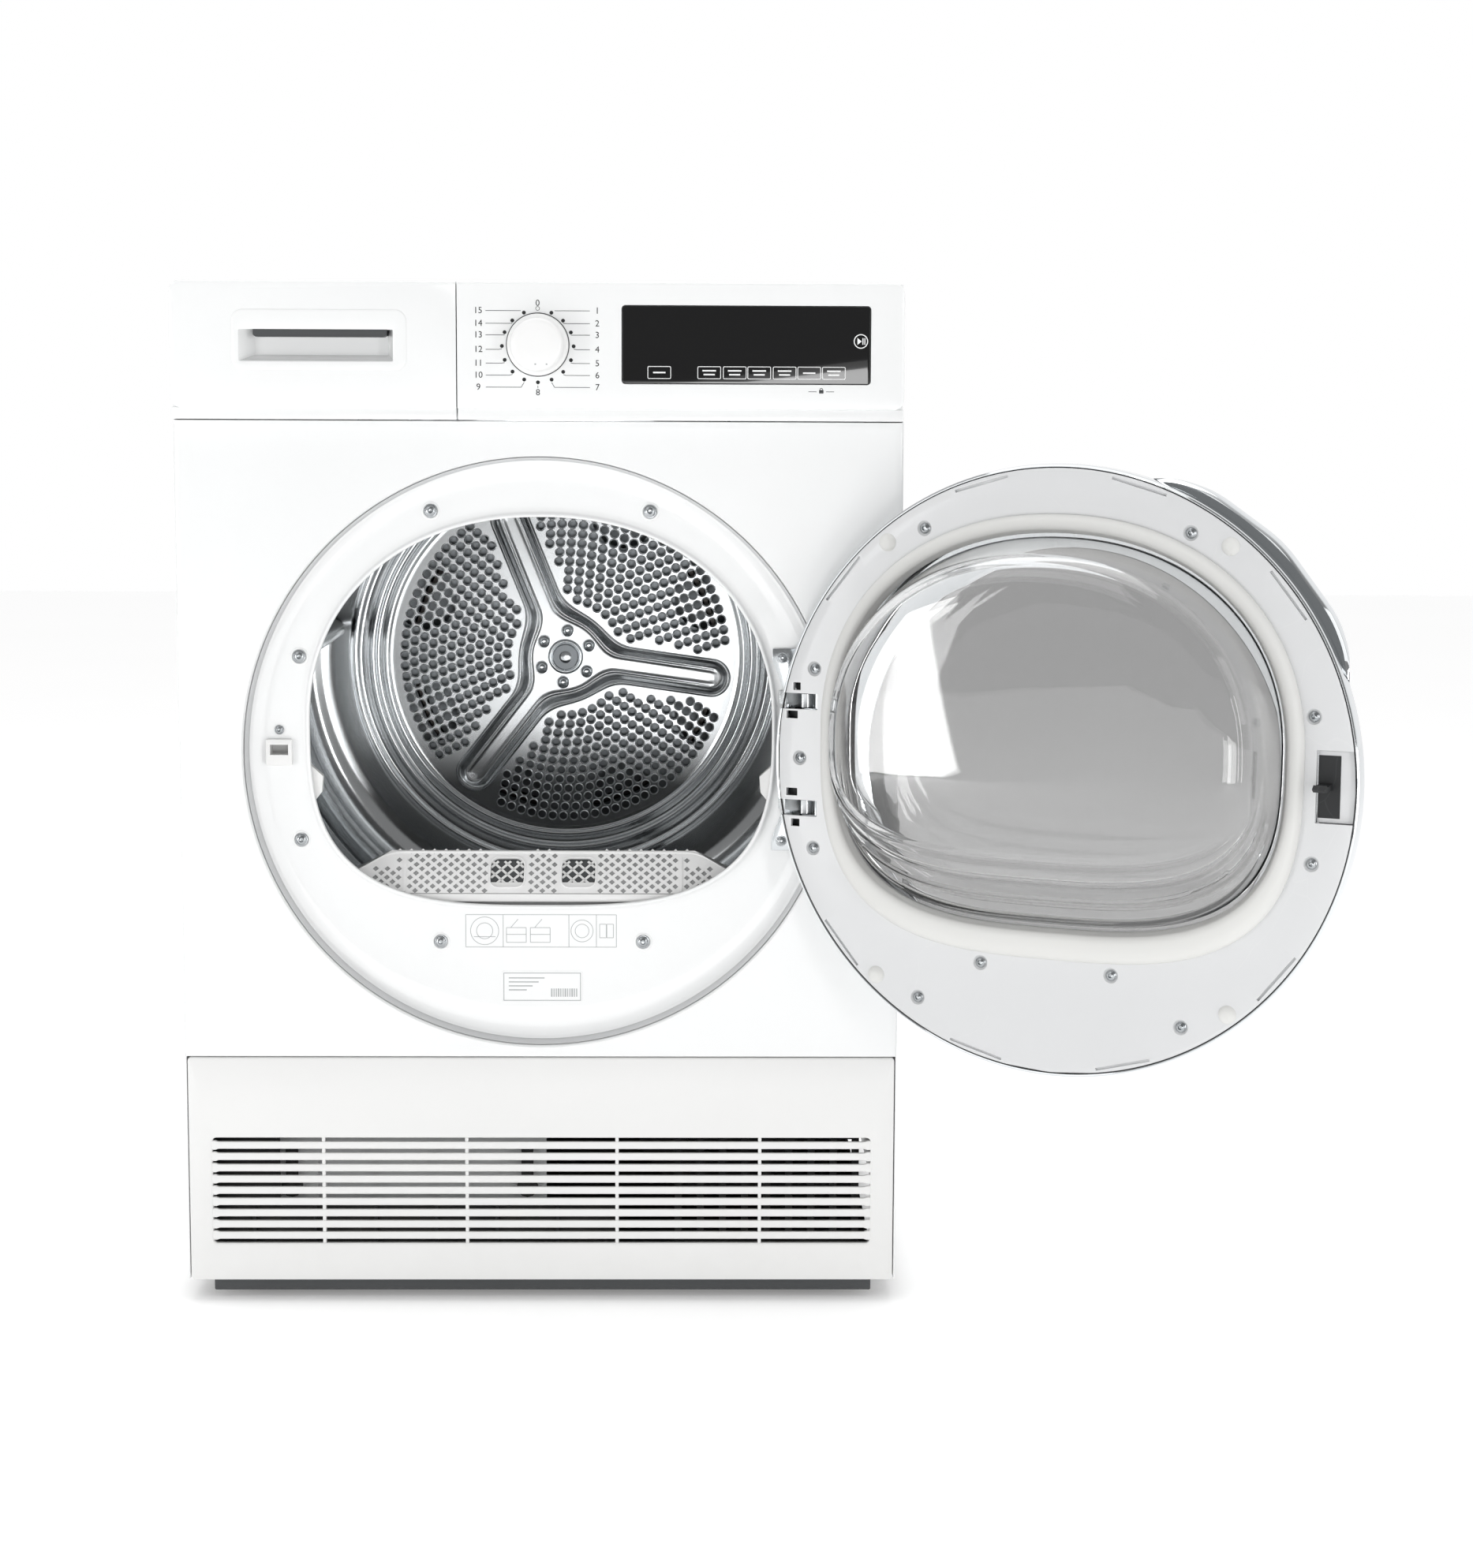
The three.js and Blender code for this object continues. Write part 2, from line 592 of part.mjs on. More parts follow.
const knobZ = () => CONSOLE_Z0 + KNOB_Z;

/** The display window's block, grown by a clearance, from the face to a depth. */
const displayBox = (grow, proud) =>
  plateXZ(
    rectangle(
      DISPLAY_X[0] - grow,
      CONSOLE_Z0 + DISPLAY_Z[0] - grow,
      DISPLAY_X[1] + grow,
      CONSOLE_Z0 + DISPLAY_Z[1] + grow,
      2,
    ),
    CONSOLE_Y + proud,
    CONSOLE_Y + (proud < 0 ? 9 : 4),
  );

/** Programme knob with its skirt and its shaft. */
function programKnob() {
  const y = CONSOLE_Y - RUN;
  const grip = turned([
    [0, y - KNOB_L],
    [KNOB_R - 3, y - KNOB_L],
    [KNOB_R, y - KNOB_L + 2],
    [KNOB_R + 1, y - 4],
    [KNOB_SKIRT_R, y - 1.5],
    [KNOB_SKIRT_R, y],
    [0, y],
  ], 0, knobZ(), 36);
  add('program_knob', join(grip, rodY(4, y - 1, CONSOLE_Y + 14, 0, knobZ())), WHITE_PLASTIC);
}

/** Control board behind the display, with the encoder that the knob turns. */
function controlBoard() {
  const y = CONSOLE_BACK - 10;
  const encoder = cut(
    box(-15, CONSOLE_Y + 8, knobZ() - 15, 15, y + 1, knobZ() + 15),
    rodY(4 + CLEAR, CONSOLE_Y + 5, CONSOLE_Y + 16, 0, knobZ()),
  );
  const board = box(-18, y, CONSOLE_Z0 + 10, DISPLAY_X[1] + 4, y + 1.6, CONSOLE_Z0 + 90);
  const chips = [[60, 40, 16], [120, 30, 10], [190, 55, 22]].map(([x, z, w]) =>
    box(x, y - 5, CONSOLE_Z0 + z, x + w, y + 0.5, CONSOLE_Z0 + z + w),
  );
  add('control_board', join(board, encoder, ...chips), GREEN);
}

/** Drawer front of the water tank, with its raised rim and finger recess. */
function tankFront() {
  const [x0, x1] = [-(SIDE_X - 1), DRAWER_SEAM_X - SEAM / 2];
  const [zLow, zHigh] = GRIP_Z.map((z) => CONSOLE_Z0 + z);
  const shell = cut(
    plateXZ(rectangle(x0, CONSOLE_Z0, x1, HEIGHT, 4), CONSOLE_Y, CONSOLE_BACK - 6),
    box(x0 + WALL, CONSOLE_Y + WALL, CONSOLE_Z0 + WALL, x1 - WALL, CONSOLE_BACK, HEIGHT - WALL),
  );
  const border = rectangle(GRIP_X[0] - 6, zLow - 7, GRIP_X[1] + 11, zHigh + 16, 10);
  const rim = plateXZ(border, CONSOLE_Y - 0.8, CONSOLE_Y + 1);
  const cupWall = box(GRIP_X[0] - 2, CONSOLE_Y + 1, zLow - 2, GRIP_X[1] + 2, CONSOLE_Y + 18, zHigh + 9);
  const strip = box(x0, CONSOLE_Y + 4, STRIP_Z0, x1, CONSOLE_BACK - 10, CONSOLE_Z0 + 2);
  const mouth = plateXZ(rectangle(GRIP_X[0], zLow, GRIP_X[1], zHigh, 3), CONSOLE_Y - 2, CONSOLE_Y + 16);
  const hold = box(GRIP_X[0] + 11, CONSOLE_Y + 5, zHigh - 3, GRIP_X[1] - 5, CONSOLE_Y + 16, zHigh + 7);
  add('tank_front', cut(join(shell, rim, cupWall, strip), mouth, hold), WHITE_PLASTIC);
}

/** Condensate tank behind the drawer front, open on top, its lid and its shelf. */
function waterTank() {
  const [x0, x1] = [-(SIDE_X - 20), DRAWER_SEAM_X - 22];
  const [y0, y1] = [CONSOLE_BACK - 6 + CLEAR, CONSOLE_BACK - 6 + TANK_LENGTH];
  const z0 = DRUM_Z + DRUM_OUT_R + BELT_T + 6;
  const z1 = HEIGHT - WORKTOP_H - 7;
  const outer = plateXY(rectangle(x0, y0, x1, y1, 8), z0, z1);
  const inner = plateXY(rectangle(x0 + 2, y0 + 2, x1 - 2, y1 - 2, 6), z0 + 2, z1 + 1);
  add('water_tank', cut(outer, inner), GREY_PLASTIC);
  const lid = plateXY(rectangle(x0, y0, x1, y1, 8), z1 + CLEAR, z1 + CLEAR + 2);
  const filler = rodZ(14, z1 - 5, z1 + 9, (x0 + x1) / 2, y1 - 60);
  const cap = cut(rodZ(18, z1 + CLEAR, z1 + 5, (x0 + x1) / 2, y1 - 60), filler);
  add('tank_lid', join(cut(lid, filler), cap), WHITE_PLASTIC);
  const shelf = box(x0 - 5.2, CONSOLE_BACK + 6, z0 - 1.6, x1 + 5.2, y1 + 8, z0 - CLEAR);
  const rails = [[x0 - 5.2, x0 - 4], [x1 + 4, x1 + 5.2]].map(([a, b]) =>
    box(a, CONSOLE_BACK + 6, z0 - 1.6, b, y1 + 8, z0 + 14),
  );
  add('tank_shelf', join(shelf, ...rails), ZINC);
}

// ---- Drum and its supports ----------------------------------------------------------------

/** Moulded plate behind the front panel: seal ring, lint chute, roller axles. */
function frontBulkhead() {
  const half = SIDE_X - SHEET - 18;
  const plate = plateXZ(
    rectangle(-half, KICK_Z1 + 4, half, STRIP_Z0 - 4, 40),
    BULKHEAD_Y,
    BULKHEAD_BACK,
  );
  const sealBack = DRUM_Y0 - SEAL_T - CLEAR;
  const ring = turned([
    [DRUM_MOUTH_R, BULKHEAD_Y + 1],
    [DRUM_MOUTH_R + SEAL_W, BULKHEAD_Y + 1],
    [DRUM_MOUTH_R + SEAL_W, sealBack],
    [DRUM_MOUTH_R, sealBack],
  ], 0, DRUM_Z, MID_ROUND);
  const chute = cut(
    box(-CHUTE_HALF - 2, BULKHEAD_Y, CHUTE_Z0, CHUTE_HALF + 2, chuteBack() + 2, OPENING_BOTTOM - 2),
    box(-CHUTE_HALF, BULKHEAD_BACK, CHUTE_Z0 - 5, CHUTE_HALF, chuteBack(), OPENING_BOTTOM + 5),
  );
  const axles = ROLLER_DEG.map((degrees) => {
    const [x, z] = aroundDrum(DRUM_OUT_R + CLEAR + ROLLER_R, degrees);
    return rodY(5, BULKHEAD_Y + 1, DRUM_Y0 + 24, x, z);
  });
  const tabs = [-1, 1].map((side) => {
    const points = openingPoints(3).filter(([x, z]) => x * side > 0 && Math.abs(z - TAB_Z) < 22);
    const edge = Math.max(...points.map(([x]) => x * side));
    const outline = [[edge, TAB_Z - 22], [edge - 11, TAB_Z - 8], [edge - 12, TAB_Z + 5], [edge, TAB_Z + 16]];
    return plateXZ(polygon(outline.map(([x, z]) => [x * side, z])), BULKHEAD_Y, BULKHEAD_BACK + 5);
  });
  const opening = plateXZ(polygon(openingPoints(2)), BULKHEAD_Y - 5, BULKHEAD_BACK + 2);
  const holed = cut(plate, opening);
  const body = cut(join(holed, ring, ...axles), chuteCore());
  add('front_bulkhead', cut(join(body, chute, ...tabs), latchHole(1)), WHITE_PLASTIC);
}
const chuteBack = () => DRUM_Y0 - SEAL_T - CLEAR - 4;

/** Free space inside the lint chute. */
const chuteCore = () =>
  box(-CHUTE_HALF, BULKHEAD_BACK, CHUTE_Z0 - 5, CHUTE_HALF, chuteBack(), OPENING_BOTTOM + 1);

/** Lint filter: a framed screen in the chute under a sloping grille with two finger wells. */
function lintFilter() {
  const [y0, y1] = [BULKHEAD_BACK + RUN, chuteBack() - RUN];
  const half = CHUTE_HALF - 4;
  const bottom = CHUTE_Z0 + 26;
  const top = OPENING_BOTTOM;
  const screen = cut(
    box(-half, y0 + 2, bottom, half, y1 - 2, top + 3),
    ...[-1, 0, 1].map((k) => {
      const x = k * (half - 50);
      return box(x - 40, y0 - 5, bottom + 10, x + 40, y1 + 5, top - 12);
    }),
  );
  const slope = [
    [y0, top + 2],
    [y1 + 20, top + 2],
    [y1 + 20, top + HEAD_H],
    [y1 + 16, top + HEAD_H],
    [y0, top + 7],
  ];
  const head = plateYZ(polygon(slope), -HEAD_HALF, HEAD_HALF);
  const flat = HEAD_HALF - HEAD_TAPER;
  const ends = polygon([
    [-HEAD_HALF, top],
    [HEAD_HALF, top],
    [HEAD_HALF, top + HEAD_END],
    [flat, top + HEAD_H + 1],
    [-flat, top + HEAD_H + 1],
    [-HEAD_HALF, top + HEAD_END],
  ]);
  const wells = [-1, 1].map((side) =>
    box(side * WELL_X - WELL_HALF, y0 - 1, top + 9, side * WELL_X + WELL_HALF, y1 + 12, top + HEAD_H - 6),
  );
  const shaped = head.intersect(plateXZ(ends, y0 - 5, y1 + 30));
  add('lint_filter', cut(join(screen, shaped), wells), WHITE_PLASTIC);
}

/** Felt rings between the drum and the fixed bulkheads. */
function drumSeals() {
  const [r0, r1] = [DRUM_MOUTH_R, DRUM_MOUTH_R + SEAL_W];
  const [a0, a1] = [DRUM_Y0 - SEAL_T, DRUM_Y0 - CLEAR];
  add('front_drum_seal', turned([[r0, a0], [r1, a0], [r1, a1], [r0, a1]], 0, DRUM_Z, MID_ROUND), FELT);
  const [b0, b1] = [DRUM_Y1 + 4 + CLEAR, DRUM_Y1 + 4 + SEAL_T];
  add('rear_drum_seal', turned([[r0, b0], [r1, b0], [r1, b1], [r0, b1]], 0, DRUM_Z, MID_ROUND), FELT);
}

/** Drum shell with its rolled front flange. */
function drumShell() {
  const shell = turned([
    [DRUM_MOUTH_R, DRUM_Y0],
    [DRUM_OUT_R, DRUM_Y0],
    [DRUM_OUT_R, DRUM_Y1],
    [DRUM_R, DRUM_Y1],
    [DRUM_R, DRUM_Y0 + DRUM_WALL],
    [DRUM_MOUTH_R, DRUM_Y0 + DRUM_WALL],
  ].reverse(), 0, DRUM_Z);
  add('drum_shell', shell, STEEL);
}

/** Stepped drum back with its raised middle. */
function drumBack() {
  const y = DRUM_Y1;
  const r = DRUM_R - CLEAR;
  const back = turned([
    [0, y - 6],
    [60, y - 6],
    [168, y],
    [187, y],
    [196, y + 2.5],
    [r, y + 2.5],
    [r, y + 4],
    [186, y + 2],
    [0, y - 4],
  ], 0, DRUM_Z);
  add('drum_back', cut(back, rodY(SHAFT_R + CLEAR, y - 20, y + 20, 0, DRUM_Z)), STEEL);
}

/** Three hollow-backed lifters, flat on the drum wall. */
function lifters() {
  LIFTER_DEG.forEach((degrees, i) => {
    const [r0, r1] = [DRUM_R - LIFTER_H, Math.sqrt(DRUM_R ** 2 - (LIFTER_W / 2) ** 2) - CLEAR - 0.6];
    const outline = polygon([
      [r0 + 8, -9],
      [r0, 0],
      [r0 + 8, 9],
      [r1 - 8, LIFTER_W / 2 - 4],
      [r1, LIFTER_W / 2],
      [r1, -LIFTER_W / 2],
      [r1 - 8, 4 - LIFTER_W / 2],
    ]);
    const geometry = extruded(outline, DRUM_Y1 - DRUM_Y0 - 30, 4);
    geometry.rotateX(Math.PI / 2).translate(0, DRUM_Y1 - 12, 0);
    geometry.rotateY(THREE.MathUtils.degToRad(-degrees)).translate(0, 0, DRUM_Z);
    add(`lifter_${i + 1}`, solid(geometry), GREY_PLASTIC);
  });
}

/** Three-armed spider behind the drum back, with the stub shaft. */
function drumSpider() {
  const y = DRUM_Y1 + 5;
  const arms = LIFTER_DEG.map((d) => drumRadial(0, y - 0.5, -13, DRUM_MOUTH_R - 6, y + 1.5, 13, d + 60));
  const hub = rodY(34, y - 0.5, y + 3, 0, DRUM_Z, 24);
  const shaft = rodY(SHAFT_R, DRUM_Y1 - 3, DRUM_Y1 + 29, 0, DRUM_Z, 24);
  add('drum_spider', join(hub, ...arms, shaft), ZINC);
}

/** Fixed plate behind the drum with its bearing and the heater coil. */
function rearBulkhead() {
  const y = DRUM_Y1 + 4 + SEAL_T + CLEAR;
  const plate = rodY(DRUM_OUT_R, y, y + 1.5, 0, DRUM_Z, MID_ROUND);
  const airHoles = Array.from({ length: 8 }, (_, k) => {
    const [x, z] = aroundDrum(150, 22.5 + 45 * k);
    return rodY(32, y - 5, y + 5, x, z, 10);
  });
  const housing = rodY(BEARING_R + 5, y, y + 16, 0, DRUM_Z, 24);
  const bore = rodY(BEARING_R, y - 5, y + 30, 0, DRUM_Z, 24);
  add('rear_bulkhead', cut(join(plate, housing), airHoles, bore), ZINC);
  const [b0, b1, r0, r1] = [y + 2, y + 14, SHAFT_R + CLEAR, BEARING_R - CLEAR];
  add('drum_bearing', turned([[r0, b0], [r1, b0], [r1, b1], [r0, b1]], 0, DRUM_Z, 24), STEEL);
  const coil = new THREE.TorusGeometry(150, 4, 6, 28);
  coil.rotateX(Math.PI / 2).translate(0, y + 12, DRUM_Z);
  add('heating_element', solid(coil), COPPER);
}

/** Two rollers that the front of the drum rests on. */
function frontRollers() {
  const names = ['front_roller_left', 'front_roller_right'];
  const [y0, y1] = [DRUM_Y0 + 4, DRUM_Y0 + 20];
  ROLLER_DEG.forEach((degrees, i) => {
    const [x, z] = aroundDrum(DRUM_OUT_R + CLEAR + ROLLER_R, degrees);
    const [r0, r1] = [5 + CLEAR, ROLLER_R];
    const profile = [[r0, y0], [r1 - 1, y0], [r1, y0 + 1], [r1, y1 - 1], [r1 - 1, y1], [r0, y1]];
    add(names[i], turned(profile, x, z, 20), GREY_PLASTIC);
  });
}

// ---- Drive --------------------------------------------------------------------------------

/** Outline round circles (x, z, r), each listed in turn, counterclockwise. */
function beltOutline(circles, grow) {
  const points = [];
  circles.forEach(([x, z, r], i) => {
    const tangent = (a, b) => {
      const [dx, dz] = [b[0] - a[0], b[1] - a[1]];
      return Math.atan2(dz, dx) - Math.acos((a[2] - b[2]) / Math.hypot(dx, dz));
    };
    const before = circles[(i + circles.length - 1) % circles.length];
    const after = circles[(i + 1) % circles.length];
    const start = tangent(before, circles[i]);
    let end = tangent(circles[i], after);
    while (end < start) end += 2 * Math.PI;
    const steps = Math.max(3, Math.ceil((end - start) / (r > 100 ? 0.11 : 0.4)));
    for (let k = 0; k <= steps; k += 1) {
      const angle = start + ((end - start) * k) / steps;
      points.push([x + (r + grow) * Math.cos(angle), z + (r + grow) * Math.sin(angle)]);
    }
  });
  return points;
}

/** Drive belt round the drum, the motor pulley and the idler. */
function driveBelt() {
  const circles = [
    [0, DRUM_Z, DRUM_OUT_R + CLEAR],
    [IDLER_X, IDLER_Z, IDLER_R + CLEAR],
    [MOTOR_X, MOTOR_Z, PULLEY_R + CLEAR],
  ];
  const [y0, y1] = [BELT_Y - BELT_W / 2, BELT_Y + BELT_W / 2];
  const outer = plateXZ(polygon(beltOutline(circles, BELT_T)), y0, y1);
  const inner = plateXZ(polygon(beltOutline(circles, 0.15)), y0 - 1, y1 + 1);
  add('drive_belt', cut(outer, inner), BLACK_RUBBER);
}

/** Motor, its shaft with the belt pulley, and the two fan wheels on it. */
function motorAndFans() {
  const [x, z] = [MOTOR_X, MOTOR_Z];
  const can = turned([
    [8 + CLEAR, MOTOR_Y0],
    [MOTOR_R - 16, MOTOR_Y0],
    [MOTOR_R, MOTOR_Y0 + 14],
    [MOTOR_R, MOTOR_Y1 - 14],
    [MOTOR_R - 16, MOTOR_Y1],
    [8 + CLEAR, MOTOR_Y1],
  ], x, z, MID_ROUND);
  add('motor', can, ZINC);
  const shaft = rodY(6, FRONT_FAN_Y, REAR_FAN_Y + 34, x, z);
  const pulley = turned([[0, BELT_Y - 8], [PULLEY_R + 3, BELT_Y - 8], [PULLEY_R + 3, BELT_Y - 6],
    [PULLEY_R, BELT_Y - 5.5], [PULLEY_R, BELT_Y + 5.5], [PULLEY_R + 3, BELT_Y + 6],
    [PULLEY_R + 3, BELT_Y + 8], [0, BELT_Y + 8]], x, z);
  add('motor_shaft', join(shaft, pulley), STEEL);
  fanWheel('warm_air_fan', REAR_FAN_Y, REAR_FAN_Y + 34);
  fanWheel('cooling_fan', FRONT_FAN_Y, FRONT_FAN_Y + 34);
}

/** Radial fan wheel on the motor shaft between two depths. */
function fanWheel(name, y0, y1) {
  const bore = rodY(6 + CLEAR, y0 - 5, y1 + 5, MOTOR_X, MOTOR_Z);
  const hub = rodY(14, y0, y1, MOTOR_X, MOTOR_Z);
  const disc = rodY(FAN_R, y1 - 2, y1, MOTOR_X, MOTOR_Z, 28);
  const blades = Array.from({ length: FAN_BLADES }, (_, k) => {
    const geometry = new THREE.BoxGeometry(FAN_R - 14, y1 - y0 - 4, 2);
    geometry.translate((FAN_R + 10) / 2, (y0 + y1) / 2 + 1, 0);
    geometry.rotateY((2 * Math.PI * k) / FAN_BLADES).translate(MOTOR_X, 0, MOTOR_Z);
    return solid(geometry);
  });
  add(name, cut(join(hub, disc, ...blades), bore), DARK_PLASTIC);
}

/** Casing round a fan wheel, with the inlet in its face and the outlet on top. */
function fanHousing(name, y0, y1, inletFront) {
  const r = FAN_R + 8;
  const outer = join(
    rodY(r, y0, y1, MOTOR_X, MOTOR_Z, 28),
    box(MOTOR_X, y0, MOTOR_Z, MOTOR_X + r, y1, MOTOR_Z + r + 8),
  );
  const inner = join(
    rodY(r - 2, y0 + 2, y1 - 2, MOTOR_X, MOTOR_Z, 28),
    box(MOTOR_X + 10, y0 + 2, MOTOR_Z, MOTOR_X + r - 2, y1 - 2, MOTOR_Z + r + 20),
  );
  const inlet = inletFront ? [y0 - 5, y0 + 5] : [y1 - 5, y1 + 5];
  const eye = rodY(38, ...inlet, MOTOR_X, MOTOR_Z);
  const shaftHole = rodY(9, y0 - 5, y1 + 5, MOTOR_X, MOTOR_Z);
  add(name, cut(outer, inner, eye, shaftHole), DARK_PLASTIC);
}

/** Spring-loaded idler wheel on its arm. */
function idler() {
  const [y0, y1] = [BELT_Y - 7, BELT_Y + 7];
  const r0 = 4 + CLEAR;
  const wheel = turned([[r0, y0], [IDLER_R, y0], [IDLER_R, y1], [r0, y1]], IDLER_X, IDLER_Z, 20);
  add('idler_wheel', wheel, STEEL);
  const pin = rodY(4, y0 - 6, y1 + 3, IDLER_X, IDLER_Z);
  const arm = plateXZ(
    polygon([[IDLER_X - 7, IDLER_Z + 8], [IDLER_X - 7, 40], [IDLER_X + 45, 34], [IDLER_X + 45, 44],
      [IDLER_X + 8, 50], [IDLER_X + 8, IDLER_Z + 8]]),
    y0 - 6,
    y0 - 3,
  );
  const foot = box(IDLER_X - 7, y0 - 20, 34.4, IDLER_X + 45, y0 - 3, 38);
  add('idler_arm', join(pin, arm, foot), ZINC);
}

// ---- Condenser ----------------------------------------------------------------------------

/** Channel of the base that the condenser slides into, open at both ends and on top. */
function condenserDuct() {
  const [x0, x1] = [CONDENSER_X - CONDENSER_W / 2, CONDENSER_X + CONDENSER_W / 2];
  const [y0, y1] = [CONDENSER_Y, CONDENSER_Y + CONDENSER_LENGTH];
  const [z0, z1] = [CONDENSER_Z0, CONDENSER_Z0 + CONDENSER_H];
  const [w, g] = [2, 2.5];
  return cut(
    box(x0 - g - w, y0 + 6, 3, x1 + g + w, y1 + 20, z1 + g + w),
    box(x0 - g, y0 - 5, z0 - g, x1 + g, y1 + 30, z1 + g),
    box(x0 + 20, y0 + 60, z1, x1 - 20, y0 + 130, z1 + 20),
  );
}

/** Plug-in heat exchanger with cross channels, its cover and two turn levers. */
function condenser() {
  const [x0, x1] = [CONDENSER_X - CONDENSER_W / 2, CONDENSER_X + CONDENSER_W / 2];
  const [z0, z1] = [CONDENSER_Z0, CONDENSER_Z0 + CONDENSER_H];
  const [y0, y1] = [CONDENSER_Y, CONDENSER_Y + CONDENSER_LENGTH];
  const block = box(x0, y0, z0, x1, y1, z1);
  const channels = Array.from({ length: 9 }, (_, k) => {
    const z = z0 + 7 + k * 12;
    return box(x0 - 5, y0 + 14, z, x1 + 5, y1 - 14, z + 7);
  });
  add('condenser', cut(block, channels), STEEL);
  const [c0, c1] = [y0 - 7 - CLEAR, y0 - CLEAR];
  const plate = plateXZ(rectangle(x0 - 8, z0 - 6, x1 + 8, z1 + 8, 6), c0, c1);
  const pocket = box(x0 + 30, c0 - 1, z0 + 34, x1 - 30, c0 + 4, z1 - 34);
  add('condenser_cover', cut(plate, pocket), GREY_PLASTIC);
  [x0 + 8, x1 - 8].forEach((x, i) => {
    const z = (z0 + z1) / 2;
    const lever = join(
      rodY(9, c0 - 5 - CLEAR, c0 - CLEAR, x, z),
      box(x - 5, c0 - 5 - CLEAR, z, x + 5, c0 - 1.5, z + 34),
    );
    add(i ? 'condenser_lever_right' : 'condenser_lever_left', lever, DARK_PLASTIC);
  });
}

/** Grille of the base behind the right of the kick plate, where cooling air comes in. */
function intakeGrille() {
  const [x0, x1] = [SIDE_X - 186, SIDE_X - 30];
  const [z0, z1] = [37, 128];
  const y = FRONT_Y + KICK_T + 8;
  const frame = box(x0, y, 3, x1, y + 6, z1);
  const holes = [];
  const columns = 8;
  const step = (x1 - x0 - 6) / columns;
  for (let k = 0; k < columns; k += 1) {
    for (const [a, b] of [[z0 + 4, z0 + 43], [z0 + 47, z1 - 4]]) {
      holes.push(box(x0 + 6 + k * step, y - 1, a, x0 + k * step + step, y + 7, b));
    }
  }
  return cut(frame, holes);
}

/** Pump that lifts the condensate to the tank. */
function condensatePump() {
  const [x, y] = [-192, REAR_Y - 70];
  const sump = box(x - 30, y - 26, 4 + CLEAR, x + 30, y + 26, 40);
  const spout = box(x - 5, y + 18, 60, x + 5, y + 40, 68);
  add('condensate_pump', join(sump, rodZ(22, 38, 88, x, y), spout), DARK_PLASTIC);
}

// ---- Door, drawn closed and then swung open ------------------------------------------------

const doorFace = (t) => DOOR_Y - t; // depth t outwards from the inner face

/** Slots that the hinge ears swing through. */
const earSlots = (grow) =>
  [-1, 1].map((side) => {
    const z = HINGE_Z + side * EAR_OFFSET;
    const h = EAR_H / 2 + grow;
    return box(HINGE_X - 14, doorFace(60), z - h, DOOR_R + 10, DOOR_Y + 10, z + h);
  });

/** Round inner plate with the bowl's hole, latch pocket and hinge slots. */
function doorInnerPlate() {
  const disc = rodY(DOOR_R, doorFace(WALL), DOOR_Y, 0, DOOR_Z, ROUND);
  const hole = plateXZ(polygon(openingPoints(-7)), doorFace(20), DOOR_Y + 20);
  const pocket = box(LATCH_X - 20, doorFace(20), LATCH_Z - 28, LATCH_X + 7, DOOR_Y + 5, LATCH_Z + 28);
  const flat = box(HINGE_X + 18, doorFace(20), HINGE_Z - 36, DOOR_R + 5, DOOR_Y + 5, HINGE_Z + 36);
  add('door_inner_plate', cut(disc, hole, pocket, flat, earSlots(1.5)), GREY_PLASTIC, doorGroup);
}

/** Outer ring, thin at the rim and deeper towards the window. */
function doorOuterRing() {
  const outside = [
    [DOOR_R, DOOR_RIM_T],
    [DOOR_R - 16, 21],
    [DOOR_R - 41, 28],
    [DOOR_HUB_R + 9, 34],
    [DOOR_HUB_R, DOOR_HUB_T],
  ];
  const t = 2.5;
  const profile = [
    [DOOR_R, doorFace(WALL + CLEAR)],
    ...outside.map(([r, n]) => [r, doorFace(n)]),
    ...outside.slice(1).reverse().map(([r, n]) => [r, doorFace(n - t)]),
    [DOOR_R - t, doorFace(DOOR_RIM_T - t)],
    [DOOR_R - t, doorFace(WALL + CLEAR)],
  ];
  add('door_outer_ring', cut(turned(profile, 0, DOOR_Z), earSlots(1.5)), CHROME, doorGroup);
}

/** Tinted outer window. */
function doorWindow() {
  const r = DOOR_HUB_R - CLEAR;
  const profile = [
    [0, doorFace(DOOR_HUB_T + 6)],
    [90, doorFace(DOOR_HUB_T + 4.6)],
    [r, doorFace(DOOR_HUB_T)],
    [r, doorFace(DOOR_HUB_T - 3)],
    [90, doorFace(DOOR_HUB_T + 1.6)],
    [0, doorFace(DOOR_HUB_T + 3)],
  ];
  add('door_window', turned(profile, 0, DOOR_Z, ROUND), BLACK_GLASS, doorGroup);
}

/** Glass bowl: flange behind the plate, walls closing in, and a steep underside. */
function glassBowl() {
  const stations = [[0, -8.5], [0.4, -13], [0.75, -21], [0.94, -32], [1, -48]];
  const skin = (inset) =>
    stations.map(([t, side]) => {
      const y = DOOR_Y + 2 + t * (BOWL_DEPTH - 2) - (inset ? BOWL_WALL * 0.8 : 0);
      const under = side - 40 * t - (inset ? BOWL_WALL : 0);
      return openingRing(y, side - inset, side - inset - 4 * t, under);
    });
  const back = doorFace(WALL + CLEAR + 3);
  const front = doorFace(WALL + CLEAR);
  const rings = [
    ...skin(0).reverse(),
    openingRing(front, -8.5),
    openingRing(front, 0),
    openingRing(back, 0),
    openingRing(back, -8.5 - BOWL_WALL),
    ...skin(BOWL_WALL),
  ];
  add('glass_bowl', loft(rings, false), GLASS, doorGroup);
}

